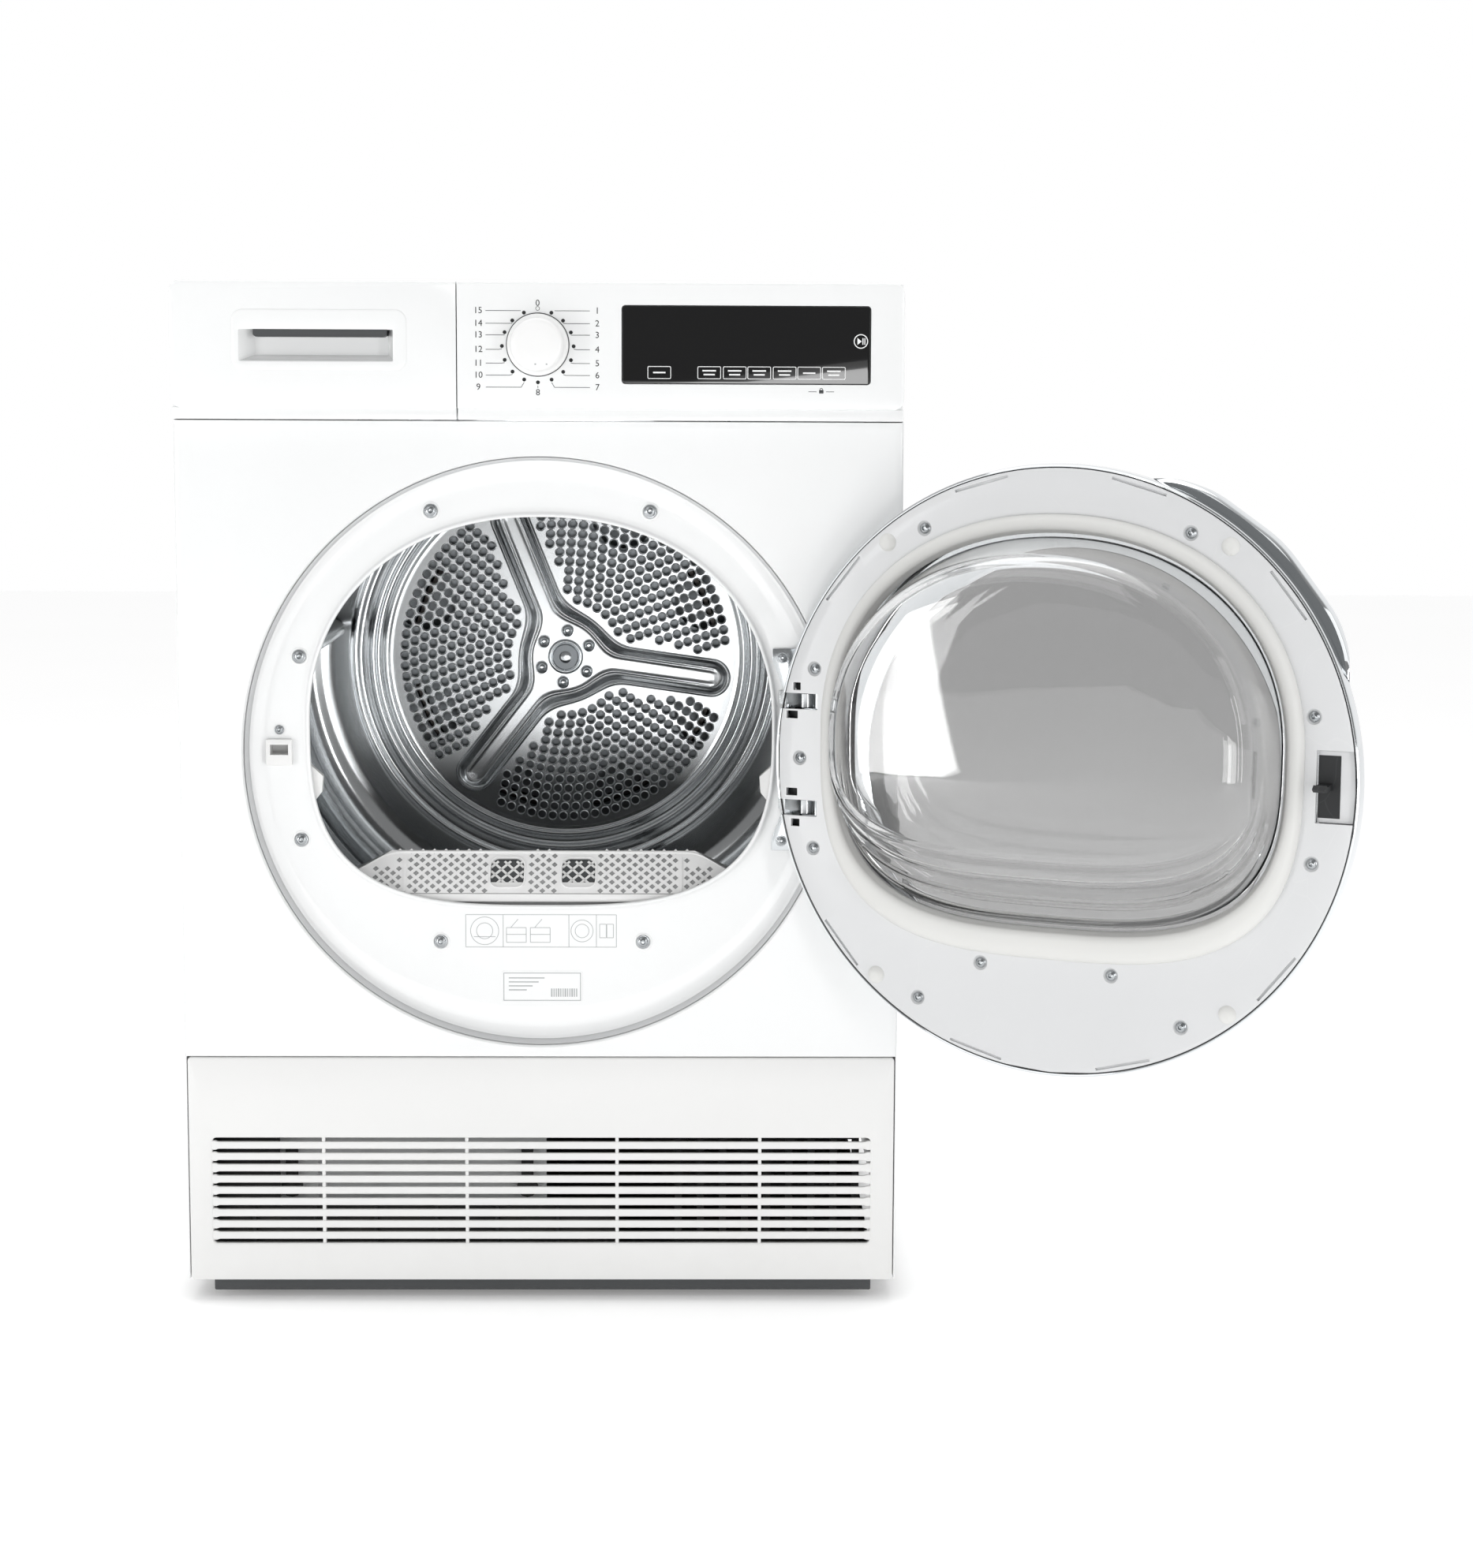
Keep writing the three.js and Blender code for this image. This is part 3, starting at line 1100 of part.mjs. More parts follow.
/** Rubber ring round the bowl that closes on the opening's lip. */
function doorGasket() {
  const [y0, y1, y2] = [DOOR_Y + CLEAR, DOOR_Y + 5, RECESS_Y - LIP_H - 0.5];
  const rings = [
    openingRing(y0, 9.5, 9.5, 20),
    openingRing(y1, 9.5, 9.5, 20),
    openingRing(y2, 6, 6, 12),
    openingRing(y2, -2, -2, -2),
    openingRing(y1, -5.5),
    openingRing(y0, -5.5),
  ];
  add('door_gasket', loft(rings, true), RUBBER, doorGroup);
}

/** Grip on the free side of the door, above the middle. */
function doorHandle() {
  const shape = new THREE.Shape();
  const [a0, a1] = HANDLE_DEG.map(THREE.MathUtils.degToRad);
  shape.absarc(0, 0, DOOR_R + 14, a0 + 0.05, a1 - 0.05, false);
  shape.absarc(0, 0, DOOR_R - 18, a1, a0, true);
  const grip = plateXZ(shape, doorFace(36), doorFace(22.5), 16).translate([0, 0, DOOR_Z]);
  const ring = [
    [DOOR_R + 30, doorFace(20)],
    [DOOR_R - 16, doorFace(21.4)],
    [DOOR_R - 41, doorFace(28.4)],
    [DOOR_HUB_R + 14, doorFace(40)],
  ];
  const under = turned([...ring, [DOOR_R + 30, doorFace(19)]].reverse(), 0, DOOR_Z);
  add('door_handle', cut(grip, under), CHROME, doorGroup);
}

/** Hook on the door's free side. */
function latchHook() {
  const x = LATCH_X;
  const plate = box(x - 11, doorFace(WALL + 5), LATCH_Z - 24, x + 6, doorFace(WALL + CLEAR), LATCH_Z + 24);
  const outline = polygon([[doorFace(WALL + 1), LATCH_Z - 2.5], [RECESS_Y + 2, LATCH_Z - 2.5],
    [RECESS_Y + 6, LATCH_Z], [RECESS_Y + 2, LATCH_Z + 3], [RECESS_Y - 2, LATCH_Z + 1.5],
    [doorFace(WALL + 1), LATCH_Z + 2.5]]);
  add('latch_hook', join(plate, plateYZ(outline, x - 5, x + 5)), DARK_PLASTIC, doorGroup);
}

/** Fixed bracket with two ears, and the leaf with its pins that carries the door. */
function doorHinge() {
  const tail = HINGE_X - 17;
  const inner = OPENING_HALF + LIP_W + RUN;
  const base = plateXZ(
    rectangle(inner, HINGE_Z - 60, tail + 11, HINGE_Z + 60),
    RECESS_Y - 2.5,
    RECESS_Y - CLEAR,
  );
  const feetPlates = [-1, 1].map((side) => {
    const z = HINGE_Z + side * 60;
    const outline = [
      [inner, z - side],
      [tail + 11, z - side],
      [tail + 4, z + side * 26],
      [inner, z + side * 26],
    ];
    return plateXZ(polygon(outline), RECESS_Y - 2.5, RECESS_Y - CLEAR);
  });
  const ears = [-1, 1].map((side) => {
    const z = HINGE_Z + side * EAR_OFFSET;
    const arm = polygon([[tail, RECESS_Y - 1], [tail + 11, RECESS_Y - 1], [HINGE_X + 6, HINGE_Y + 6],
      [HINGE_X, HINGE_Y - 6], [HINGE_X - 6.5, HINGE_Y], [tail, RECESS_Y - 6]]);
    return join(
      plateXY(arm, z - EAR_H / 2, z + EAR_H / 2),
      rodZ(7, z - EAR_H / 2, z + EAR_H / 2, HINGE_X, HINGE_Y),
    );
  });
  const bore = rodZ(HINGE_PIN_R + CLEAR, HINGE_Z - 90, HINGE_Z + 90, HINGE_X, HINGE_Y);
  add('hinge_bracket', cut(join(base, ...feetPlates, ...ears), bore), STEEL);

  const reach = EAR_OFFSET + 14;
  const pin = rodZ(HINGE_PIN_R, HINGE_Z - reach, HINGE_Z + reach, HINGE_X, HINGE_Y);
  const barrel = rodZ(KNUCKLE_R, HINGE_Z - reach + 0.5, HINGE_Z + reach - 0.5, HINGE_X, HINGE_Y);
  const web = box(HINGE_X - 14, doorFace(14), HINGE_Z - reach + 2, HINGE_X, doorFace(5), HINGE_Z + reach - 2);
  const leafBack = doorFace(WALL + CLEAR + 3.6);
  const tall = reach - 2;
  const leaf = box(HINGE_X - 14, doorFace(9.6), HINGE_Z - tall, HINGE_X - 1, leafBack, HINGE_Z + tall);
  const gaps = [-1, 1].map((side) => {
    const z = HINGE_Z + side * EAR_OFFSET;
    return box(HINGE_X - 10.5, doorFace(40), z - EAR_H / 2 - 1, HINGE_X + 20, DOOR_Y + 5, z + EAR_H / 2 + 1);
  });
  const whole = join(barrel, web, leaf);
  add('hinge_leaf', join(cut(whole, gaps), pin), ZINC, doorGroup);
}

// ---- Assembly -----------------------------------------------------------------------------

basePan();
feet();
sidePanel('side_panel_left', -1);
sidePanel('side_panel_right', 1);
worktop();
rearPanel();
rearCover();
cordGland();
frontPanel();
latchReceptacle();
kickPlate();
consoleFascia();
add('display_window', displayBox(0, -0.6), BLACK_GLASS);
programKnob();
controlBoard();
tankFront();
waterTank();
frontBulkhead();
lintFilter();
drumSeals();
drumShell();
drumBack();
lifters();
drumSpider();
rearBulkhead();
frontRollers();
driveBelt();
motorAndFans();
fanHousing('warm_air_housing', REAR_FAN_Y - 4, REAR_FAN_Y + 40, false);
fanHousing('cooling_housing', FRONT_FAN_Y - 6, FRONT_FAN_Y + 38, true);
idler();
condenser();
condensatePump();
doorInnerPlate();
doorOuterRing();
doorWindow();
glassBowl();
doorGasket();
doorHandle();
latchHook();
doorHinge();

// The door's group turns about the hinge axis.
const swing = new THREE.Group();
swing.position.set(HINGE_X, HINGE_Y, 0);
swing.rotation.z = THREE.MathUtils.degToRad(DOOR_OPEN_DEG);
doorGroup.position.set(-HINGE_X, -HINGE_Y, 0);
swing.add(doorGroup);
model.add(swing);

export default model;
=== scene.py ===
"""Compact condenser clothes dryer with its round door open: the finished look.

Lengths are in millimetres while a piece is being made and in metres once it is an object.
+X is to the right seen from the front, +Y into the machine and +Z up.
"""

import logging
from dataclasses import dataclass, field
from enum import Enum
from math import atan2, copysign, cos, exp, hypot, pi, radians, sin
from typing import Iterable, Optional, Sequence

import bmesh
import bpy
from bpy.types import Material, Mesh, Node, NodeSocket, NodeTree, Object
from mathutils import Matrix, Vector


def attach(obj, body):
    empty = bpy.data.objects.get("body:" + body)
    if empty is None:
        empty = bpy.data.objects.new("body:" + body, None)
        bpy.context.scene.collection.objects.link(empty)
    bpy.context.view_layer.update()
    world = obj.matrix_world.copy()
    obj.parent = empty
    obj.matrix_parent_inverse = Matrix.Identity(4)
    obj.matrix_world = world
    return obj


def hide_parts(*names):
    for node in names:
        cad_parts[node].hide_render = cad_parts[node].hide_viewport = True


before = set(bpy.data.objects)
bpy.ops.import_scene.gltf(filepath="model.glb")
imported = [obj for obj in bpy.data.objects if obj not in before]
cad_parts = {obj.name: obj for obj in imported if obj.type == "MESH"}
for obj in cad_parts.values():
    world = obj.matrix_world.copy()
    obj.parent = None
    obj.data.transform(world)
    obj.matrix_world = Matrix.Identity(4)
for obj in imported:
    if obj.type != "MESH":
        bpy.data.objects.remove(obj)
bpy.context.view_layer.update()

MM = 0.001
ROUND = 192  # facets of a large round piece
FINE_ROUND = 96  # facets of a middling one
SMALL_ROUND = 24  # facets of a small one
HARD_EDGE = radians(38)  # angle above which an edge is hard
Point = tuple[float, float, float]
Flat = tuple[float, float]
logger = logging.getLogger("dryer")


# ---- Node trees ------------------------------------------------------------------------------


class Tree:
    """A node tree while it is being built."""

    def __init__(self, tree: NodeTree) -> None:
        """Takes the tree to build in."""
        self.tree = tree

    def socket(self, name: str, way: str, kind: str, value: object = None) -> object:
        """Adds a named socket to the group's interface.

        Args:
            name: the socket's name.
            way: INPUT or OUTPUT.
            kind: the short socket kind, such as Float.
            value: the default value, where it has one.

        Returns:
            The new interface socket.
        """
        made = self.tree.interface.new_socket(name=name, in_out=way, socket_type="NodeSocket" + kind)
        if value is not None:
            made.default_value = value
        return made

    def node(self, kind: str, inputs: Optional[dict] = None, **settings: object) -> Node:
        """Adds a node, sets it up and feeds its inputs.

        Args:
            kind: the node's type.
            inputs: input name or number to a value or to the socket that feeds it.
            settings: the node's own properties.

        Returns:
            The new node.
        """
        made = self.tree.nodes.new(kind)
        for key, value in settings.items():
            setattr(made, key, value)
        for key, value in (inputs or {}).items():
            self.feed(made.inputs[key], value)
        return made

    def feed(self, target: NodeSocket, value: object) -> None:
        """Links a socket to an input, or sets the input's value."""
        if isinstance(value, NodeSocket):
            self.tree.links.new(value, target)
        else:
            target.default_value = value

    def math(self, operation: str, *values: object) -> NodeSocket:
        """Adds a math node.

        Args:
            operation: the node's operation.
            values: its inputs, numbers or sockets.

        Returns:
            The result socket.
        """
        made = self.node("ShaderNodeMath", operation=operation)
        for target, value in zip(made.inputs, values):
            self.feed(target, value)
        return made.outputs[0]

    def noise(self, place: NodeSocket, scale: object, detail: float = 2.0,
            roughness: float = 0.5) -> NodeSocket:
        """Adds a noise texture.

        Args:
            place: where it is looked up.
            scale: its scale, a number or a socket.
            detail: how many finer layers it has.
            roughness: how strong those are.

        Returns:
            The noise's socket.
        """
        inputs = {"Vector": place, "Scale": scale, "Detail": detail, "Roughness": roughness}
        return self.node("ShaderNodeTexNoise", inputs).outputs[0]

    def mix(self, factor: object, low: object, high: object) -> NodeSocket:
        """Mixes two colours.

        Args:
            factor: 0 for the first colour and 1 for the second.
            low: the first colour.
            high: the second colour.

        Returns:
            The mixed colour's socket.
        """
        made = self.node("ShaderNodeMix", data_type="RGBA")
        for key, value in ((0, factor), (6, low), (7, high)):
            self.feed(made.inputs[key], value)
        return made.outputs[2]


def grain_group(name: str, scale: float) -> tuple:
    """Starts a group that turns a place into the height of a grain."""
    inputs = [("Vector", "Vector", None), ("Scale", "Float", scale), ("Centre Height", "Float", 0.0)]
    return shader_group(name, inputs, [("Height", "Float")])


def shader_group(name: str, inputs: Sequence[tuple], outputs: Sequence[tuple]) -> tuple:
    """Starts a shader node group.

    Args:
        name: the group's name.
        inputs: name, kind and default of each input.
        outputs: name and kind of each output.

    Returns:
        The tree, the sockets that it is given and those that it fills.
    """
    tree = Tree(bpy.data.node_groups.new(name, "ShaderNodeTree"))
    for label, kind, value in inputs:
        tree.socket(label, "INPUT", kind, value)
    for label, kind in outputs:
        tree.socket(label, "OUTPUT", kind)
    return tree, tree.node("NodeGroupInput").outputs, tree.node("NodeGroupOutput").inputs


class Marks(Enum):
    """The ways a surface is marked by how it was made."""

    MOULDED = "moulded"
    BRUSHED = "brushed"
    TURNED = "turned"
    ROLLED = "rolled"


class Effects:
    """The shader groups that the finishes share."""

    def __init__(self) -> None:
        """Builds every group once."""
        self.mottle = self._mottle()
        self.marks = {Marks.MOULDED: self._moulded(), Marks.BRUSHED: self._stretched("BrushedGrain",
            (1.0, 1.0, 42.0)), Marks.ROLLED: self._stretched("RolledGrain", (34.0, 34.0, 1.0)),
            Marks.TURNED: self._turned(),}
        self.scuffs = self._scuffs()
        self.dust = self._dust()

    @staticmethod
    def _mottle() -> NodeTree:
        """Builds the slow change of colour and gloss over a surface.

        Returns:
            The group.
        """
        tree, given, out = shader_group("Mottle",
            [("Vector", "Vector", None), ("Base", "Color", (1, 1, 1, 1)),
            ("Shade", "Color", (0.8, 0.8, 0.8, 1)), ("Scale", "Float", 6.0), ("Roughness", "Float", 0.4),
            ("Spread", "Float", 0.05)], [("Color", "Color"), ("Roughness", "Float")],)
        noise = tree.noise(given["Vector"], given["Scale"], 4.0, 0.55)
        spread = tree.math("MULTIPLY", tree.math("SUBTRACT", noise, 0.5), given["Spread"])
        tree.feed(out["Color"], tree.mix(noise, given["Shade"], given["Base"]))
        rough = tree.math("ADD", given["Roughness"], tree.math("MULTIPLY", spread, 2.0))
        tree.feed(out["Roughness"], tree.math("MAXIMUM", rough, 0.02))
        return tree.tree

    @staticmethod
    def _moulded() -> NodeTree:
        """Builds the fine orange peel of paint and moulded plastic.

        Returns:
            The group.
        """
        tree, given, out = grain_group("MouldedGrain", 300.0)
        fine = tree.noise(given["Vector"], given["Scale"], 2.0)
        broad = tree.noise(given["Vector"], tree.math("MULTIPLY", given["Scale"], 0.11), 1.0)
        tree.feed(out["Height"], tree.math("MULTIPLY_ADD", fine, 0.45, tree.math("MULTIPLY", broad, 0.55)))
        return tree.tree

    @staticmethod
    def _stretched(name: str, squeeze: Point) -> NodeTree:
        """Builds straight hairlines along one direction.

        Args:
            name: the group's name.
            squeeze: how much finer the lines are along each axis.

        Returns:
            The group.
        """
        tree, given, out = grain_group(name, 20.0)
        stretched = tree.node("ShaderNodeVectorMath", {0: given["Vector"], 1: squeeze}, operation="MULTIPLY")
        noise = tree.noise(stretched.outputs[0], given["Scale"], 5.0, 0.7)
        tree.feed(out["Height"], noise)
        return tree.tree

    @staticmethod
    def _turned() -> NodeTree:
        """Builds rings of hairlines about a front-to-back axis.

        Returns:
            The group.
        """
        tree, given, out = grain_group("TurnedGrain", 400.0)
        split = tree.node("ShaderNodeSeparateXYZ", {0: given["Vector"]})
        x, y, z = split.outputs
        lift = tree.math("SUBTRACT", z, given["Centre Height"])
        radius = tree.math("SQRT", tree.math("ADD", tree.math("MULTIPLY", x, x),
            tree.math("MULTIPLY", lift, lift)))
        joined = tree.node("ShaderNodeCombineXYZ", {0: radius, 1: y, 2: tree.math("MULTIPLY", z, 0.01)})
        noise = tree.noise(joined.outputs[0], given["Scale"], 4.0, 0.65)
        tree.feed(out["Height"], noise)
        return tree.tree

    @staticmethod
    def _scuffs() -> NodeTree:
        """Builds a mask of sparse thin scuffs.

        Returns:
            The group.
        """
        tree, given, out = shader_group("Scuffs", [("Vector", "Vector", None), ("Scale", "Float", 14.0),
            ("Amount", "Float", 0.2)], [("Mask", "Float")],)
        bend = tree.node("ShaderNodeTexNoise", {"Vector": given["Vector"], "Scale": 9.0})
        moved = tree.node("ShaderNodeVectorMath",
            {0: given["Vector"], 1: (0.09, 0.09, 0.09), 2: bend.outputs[1]}, operation="MULTIPLY_ADD")
        tree.feed(moved.inputs[0], bend.outputs[1])
        tree.feed(moved.inputs[2], given["Vector"])
        cells = tree.node("ShaderNodeTexVoronoi", {"Vector": moved.outputs[0], "Scale": given["Scale"]},
            feature="DISTANCE_TO_EDGE")
        thin = tree.math("LESS_THAN", cells.outputs[0], 0.006)
        patches = tree.noise(given["Vector"], 5.0, 2.0)
        chosen = tree.math("GREATER_THAN", patches, 0.58)
        mask = tree.math("MULTIPLY", tree.math("MULTIPLY", thin, chosen), given["Amount"])
        tree.feed(out["Mask"], mask)
        return tree.tree

    @staticmethod
    def _dust() -> NodeTree:
        """Builds a mask of dust that gathers low down on the object.

        Returns:
            The group.
        """
        tree, given, out = shader_group("LowDust", [("Vector", "Vector", None), ("Reach", "Float", 0.12),
            ("Amount", "Float", 0.2)], [("Mask", "Float")],)
        height = tree.node("ShaderNodeSeparateXYZ", {0: given["Vector"]}).outputs[2]
        fall = tree.node("ShaderNodeMapRange", {0: height, 1: -0.011, 2: given["Reach"], 3: 1.0, 4: 0.0})
        noise = tree.noise(given["Vector"], 60.0, 6.0)
        mask = tree.math("MULTIPLY", tree.math("MULTIPLY", fall.outputs[0], noise), given["Amount"])
        tree.feed(out["Mask"], mask)
        return tree.tree


def linear(code: str) -> tuple[float, float, float, float]:
    """Turns a hex colour into the values that a shader takes."""
    parts = [int(code[k:k + 2], 16) / 255 for k in (0, 2, 4)]
    return (*(c / 12.92 if c <= 0.04045 else ((c + 0.055) / 1.055) ** 2.4 for c in parts), 1.0)


def mottled(name: str, effects: Effects, color: str, shade: str, *surface: float) -> tuple:
    """Starts a material whose colour and gloss change slowly over it.

    Args:
        name: the material's name.
        effects: the shader groups to use.
        color: the main colour.
        shade: the other colour.
        surface: scale of the change, roughness and its spread.

    Returns:
        The material, its tree, its shader's inputs, the place and the changing colour and gloss.
    """
    material = bpy.data.materials.new(name)
    material.use_nodes = True
    tree = Tree(material.node_tree)
    shader = next(n for n in tree.tree.nodes if n.type == "BSDF_PRINCIPLED")
    place = tree.node("ShaderNodeTexCoord").outputs["Object"]
    mottle = tree.node("ShaderNodeGroup", node_tree=effects.mottle)
    for target, value in zip(mottle.inputs, (place, linear(color), linear(shade), *surface)):
        tree.feed(target, value)
    return material, tree, shader.inputs, place, mottle.outputs


@dataclass(frozen=True)
class Finish:
    """One opaque finish, as the maker would order it."""

    name: str
    color: str
    shade: str
    roughness: float = 0.4
    spread: float = 0.04
    metallic: float = 0.0
    coat: float = 0.0
    coat_roughness: float = 0.05
    marks: Marks = Marks.MOULDED
    grain: float = 300.0
    bump: float = 0.02
    patches: float = 5.0
    centre: float = 0.0
    scuff_color: str = "f4f4f2"
    scuffing: float = 0.12
    dust: float = 0.1

    def build(self, effects: Effects) -> Material:
        """Makes the material.

        Args:
            effects: the shader groups to use.

        Returns:
            The material.
        """
        material, tree, shader, place, mottle = mottled(self.name, effects, self.color, self.shade,
            self.patches, self.roughness, self.spread)
        scuffs = tree.node("ShaderNodeGroup", node_tree=effects.scuffs)
        dust = tree.node("ShaderNodeGroup", node_tree=effects.dust)
        for group, amount in ((scuffs, self.scuffing), (dust, self.dust)):
            tree.feed(group.inputs["Vector"], place)
            tree.feed(group.inputs["Amount"], amount)
        scuffed = tree.mix(scuffs.outputs[0], mottle[0], linear(self.scuff_color))
        tree.feed(shader["Base Color"], tree.mix(dust.outputs[0], scuffed, linear("a8a49b")))
        worn = tree.math("ADD", mottle[1], tree.math("MULTIPLY", dust.outputs[0], 0.6))
        tree.feed(shader["Roughness"], tree.math("MINIMUM", worn, 1.0))
        grain = tree.node("ShaderNodeGroup", node_tree=effects.marks[self.marks])
        tree.feed(grain.inputs["Vector"], place)
        tree.feed(grain.inputs["Scale"], self.grain)
        tree.feed(grain.inputs["Centre Height"], self.centre)
        bump = tree.node("ShaderNodeBump", {"Strength": 1.0, "Distance": self.bump * MM,
            "Height": grain.outputs["Height"]})
        tree.feed(shader["Normal"], bump.outputs[0])
        shader["Metallic"].default_value = self.metallic
        shader["Coat Weight"].default_value = self.coat
        shader["Coat Roughness"].default_value = self.coat_roughness
        return material


@dataclass(frozen=True)
class GlassFinish:
    """One clear or tinted glass."""

    name: str
    color: str
    roughness: float = 0.02
    spread: float = 0.01
    ior: float = 1.5

    def build(self, effects: Effects) -> Material:
        """Makes the material.

        Args:
            effects: the shader groups to use.

        Returns:
            The material.
        """
        material, tree, shader, _, mottle = mottled(self.name, effects, self.color, self.color, 9.0,
            self.roughness, self.spread)
        tree.feed(shader["Base Color"], mottle[0])
        tree.feed(shader["Roughness"], mottle[1])
        shader["Transmission Weight"].default_value = 1.0
        shader["IOR"].default_value = self.ior
        return material


def printed(name: str, color: str, shade: str, roughness: float) -> Finish:
    """Gives a flat printing ink."""
    return Finish(name, color, shade, roughness, 0.05, grain=800, bump=0.004, scuffing=0.0, dust=0.0)


class Look(Enum):
    """Every finish on the machine."""

    ENAMEL = Finish("white_enamel", "f3f4f4", "eeefef", 0.3, 0.05, coat=0.35, grain=420, bump=0.012,
        scuffing=0.02)
    CONSOLE_WHITE = Finish("console_white", "f4f5f5", "f0f1f1", 0.22, 0.03, coat=0.4, grain=380, bump=0.008,
        scuffing=0.02)
    PLASTIC = Finish("white_plastic", "ececeb", "e6e6e5", 0.38, 0.05, grain=650, bump=0.02, scuffing=0.03)
    KNOB_WHITE = Finish("knob_white", "f4f4f4", "efefee", 0.3, 0.03, coat=0.25, grain=500, bump=0.01,
        scuffing=0.02)
    DOOR_GREY = Finish("door_grey", "d9dadb", "d2d3d4", 0.34, 0.05, coat=0.15, grain=500, bump=0.02,
        scuffing=0.05)
    # Painted shade: the grey of the band on the front panel's recess wall.
    RECESS_GREY = Finish("recess_grey", "cfd0d1", "c6c7c8", 0.4, 0.05, grain=420, bump=0.012, scuffing=0.02)
    FILTER_GREY = Finish("filter_grey", "a4a5a5", "8f9090", 0.5, 0.05, grain=500, bump=0.03, scuffing=0.03)
    DARK = Finish("dark_plastic", "1e2022", "151617", 0.55, 0.08, grain=420, bump=0.05,
        scuff_color="55585a", dust=0.35)
    # Grey ink for real print, and also the painted shade of the knob ring, the finger slot and the base
    # strip.
    GREY_PRINT = printed("grey_print", "4a4c4e", "3e4041", 0.6)
    PALE_PRINT = printed("pale_print", "b9bbbc", "acaeaf", 0.6)
    BLACK_PRINT = printed("black_print", "17181a", "101112", 0.5)
    WHITE_PRINT = printed("white_print", "f5f6f6", "ebecec", 0.5)
    DISPLAY = Finish("display_black", "060607", "040405", 0.07, 0.02, coat=0.6, coat_roughness=0.03,
        grain=300, bump=0.002, scuff_color="26282a", scuffing=0.03, dust=0.0)
    DRUM_STEEL = Finish("drum_steel", "dfe1e2", "c6c9cb", 0.17, 0.05, 1.0, marks=Marks.TURNED, grain=900,
        bump=0.01, patches=3.0, centre=0.491, scuff_color="dfe2e4", scuffing=0.15, dust=0.0)
    PRESSED_STEEL = Finish("pressed_steel", "cdcfd0", "b0b3b5", 0.24, 0.06, 1.0, marks=Marks.BRUSHED,
        grain=26, bump=0.01, patches=4.0, scuff_color="dfe2e4", scuffing=0.15, dust=0.0)
    POLISHED = Finish("polished_steel", "d4d7d9", "b9bdc0", 0.12, 0.05, 1.0, marks=Marks.ROLLED, grain=20,
        bump=0.006, patches=16.0, scuff_color="f4f4f2", scuffing=0.2)
    # Steel of the hole rims, lighter than the pressed sheet: painted highlight on the rolled rims.
    ROLLED_RIM = Finish("rolled_rim", "f1f2f3", "e2e4e5", 0.34, 0.05, 1.0, marks=Marks.ROLLED, grain=30,
        bump=0.004, patches=16.0, scuffing=0.1, dust=0.0)
    CHROME = Finish("door_chrome", "e6e9eb", "d8dbdd", 0.06, 0.02, 1.0, grain=120, bump=0.004, patches=4.0,
        scuffing=0.04)
    SCREW = Finish("screw_steel", "c3c6c8", "8d9194", 0.24, 0.08, 1.0, grain=900, bump=0.02, patches=120.0,
        scuffing=0.1)
    ZINC = Finish("zinc_plate", "a9adb0", "8b9094", 0.42, 0.1, 1.0, marks=Marks.ROLLED, grain=12, bump=0.02,
        patches=22.0, scuffing=0.15)
    FINS = Finish("fin_aluminium", "c9ccce", "b0b4b7", 0.35, 0.08, 1.0, marks=Marks.BRUSHED, grain=40,
        bump=0.05)
    SEAL = Finish("seal_rubber", "dfdfdd", "d5d5d2", 0.55, 0.05, grain=700, bump=0.03, scuffing=0.02)
    RUBBER = Finish("black_rubber", "1c1c1c", "121212", 0.8, 0.08, grain=600, bump=0.06,
        scuff_color="3c3c3b", dust=0.5)
    FELT = Finish("drum_felt", "8f8a7b", "6d695d", 0.95, 0.05, grain=1500, bump=0.3, scuff_color="a6a193")
    COPPER = Finish("heater_sheath", "6b6764", "4b4846", 0.4, 0.1, 1.0, grain=600, bump=0.03)
    BOARD = Finish("circuit_board", "1f5a3a", "184a2f", 0.4, 0.08, grain=500, bump=0.05,
        scuff_color="c8b25a", scuffing=0.5)
    BOWL_GLASS = GlassFinish("bowl_glass", "f4f4f4", 0.015, 0.01)
    WINDOW_GLASS = GlassFinish("window_tint", "a6a6a6", 0.02, 0.01)


# ---- Outlines and drafts ---------------------------------------------------------------------


def circle(radius: float, x: float = 0.0, z: float = 0.0, count: int = ROUND) -> list[Flat]:
    """Gives the points of a circle, counterclockwise from +X."""
    turns = [2 * pi * k / count for k in range(count)]
    return [(x + radius * cos(a), z + radius * sin(a)) for a in turns]


def rounded(x0: float, z0: float, x1: float, z1: float, r: float, steps: int = 6) -> list[Flat]:
    """Gives a rounded rectangle, counterclockwise.

    Args:
        x0: left edge.
        z0: lower edge.
        x1: right edge.
        z1: upper edge.
        r: corner radius.
        steps: segments of each corner.

    Returns:
        The outline.
    """
    points = []
    for x, z, start in ((x1 - r, z1 - r, 0), (x0 + r, z1 - r, 90), (x0 + r, z0 + r, 180),
            (x1 - r, z0 + r, 270)):
        for k in range(steps + 1):
            a = radians(start + 90 * k / steps)
            points.append((x + r * cos(a), z + r * sin(a)))
    return points


def inset(outline: Sequence[Flat], by: float) -> list[Flat]:
    """Moves a counterclockwise outline inwards.

    Args:
        outline: the outline.
        by: how far.

    Returns:
        The moved outline.
    """
    moved = []
    for k, here in enumerate(outline):
        before, after = Vector(outline[k - 1]), Vector(outline[(k + 1) % len(outline)])
        a, b = Vector(here) - before, after - Vector(here)
        if a.length < 1e-9 or b.length < 1e-9:
            moved.append(here)
            continue
        a.normalize()
        b.normalize()
        way = Vector((-a.y - b.y, a.x + b.x))
        way = way.normalized() if way.length > 1e-6 else Vector((-a.y, a.x))
        reach = by / max(0.5, way.dot(Vector((-a.y, a.x))))
        moved.append((here[0] + way.x * reach, here[1] + way.y * reach))
    return moved


def at_depth(outline: Iterable[Flat], y: float) -> list[Point]:
    """Puts a front outline at a depth."""
    return [(x, y, z) for x, z in outline]


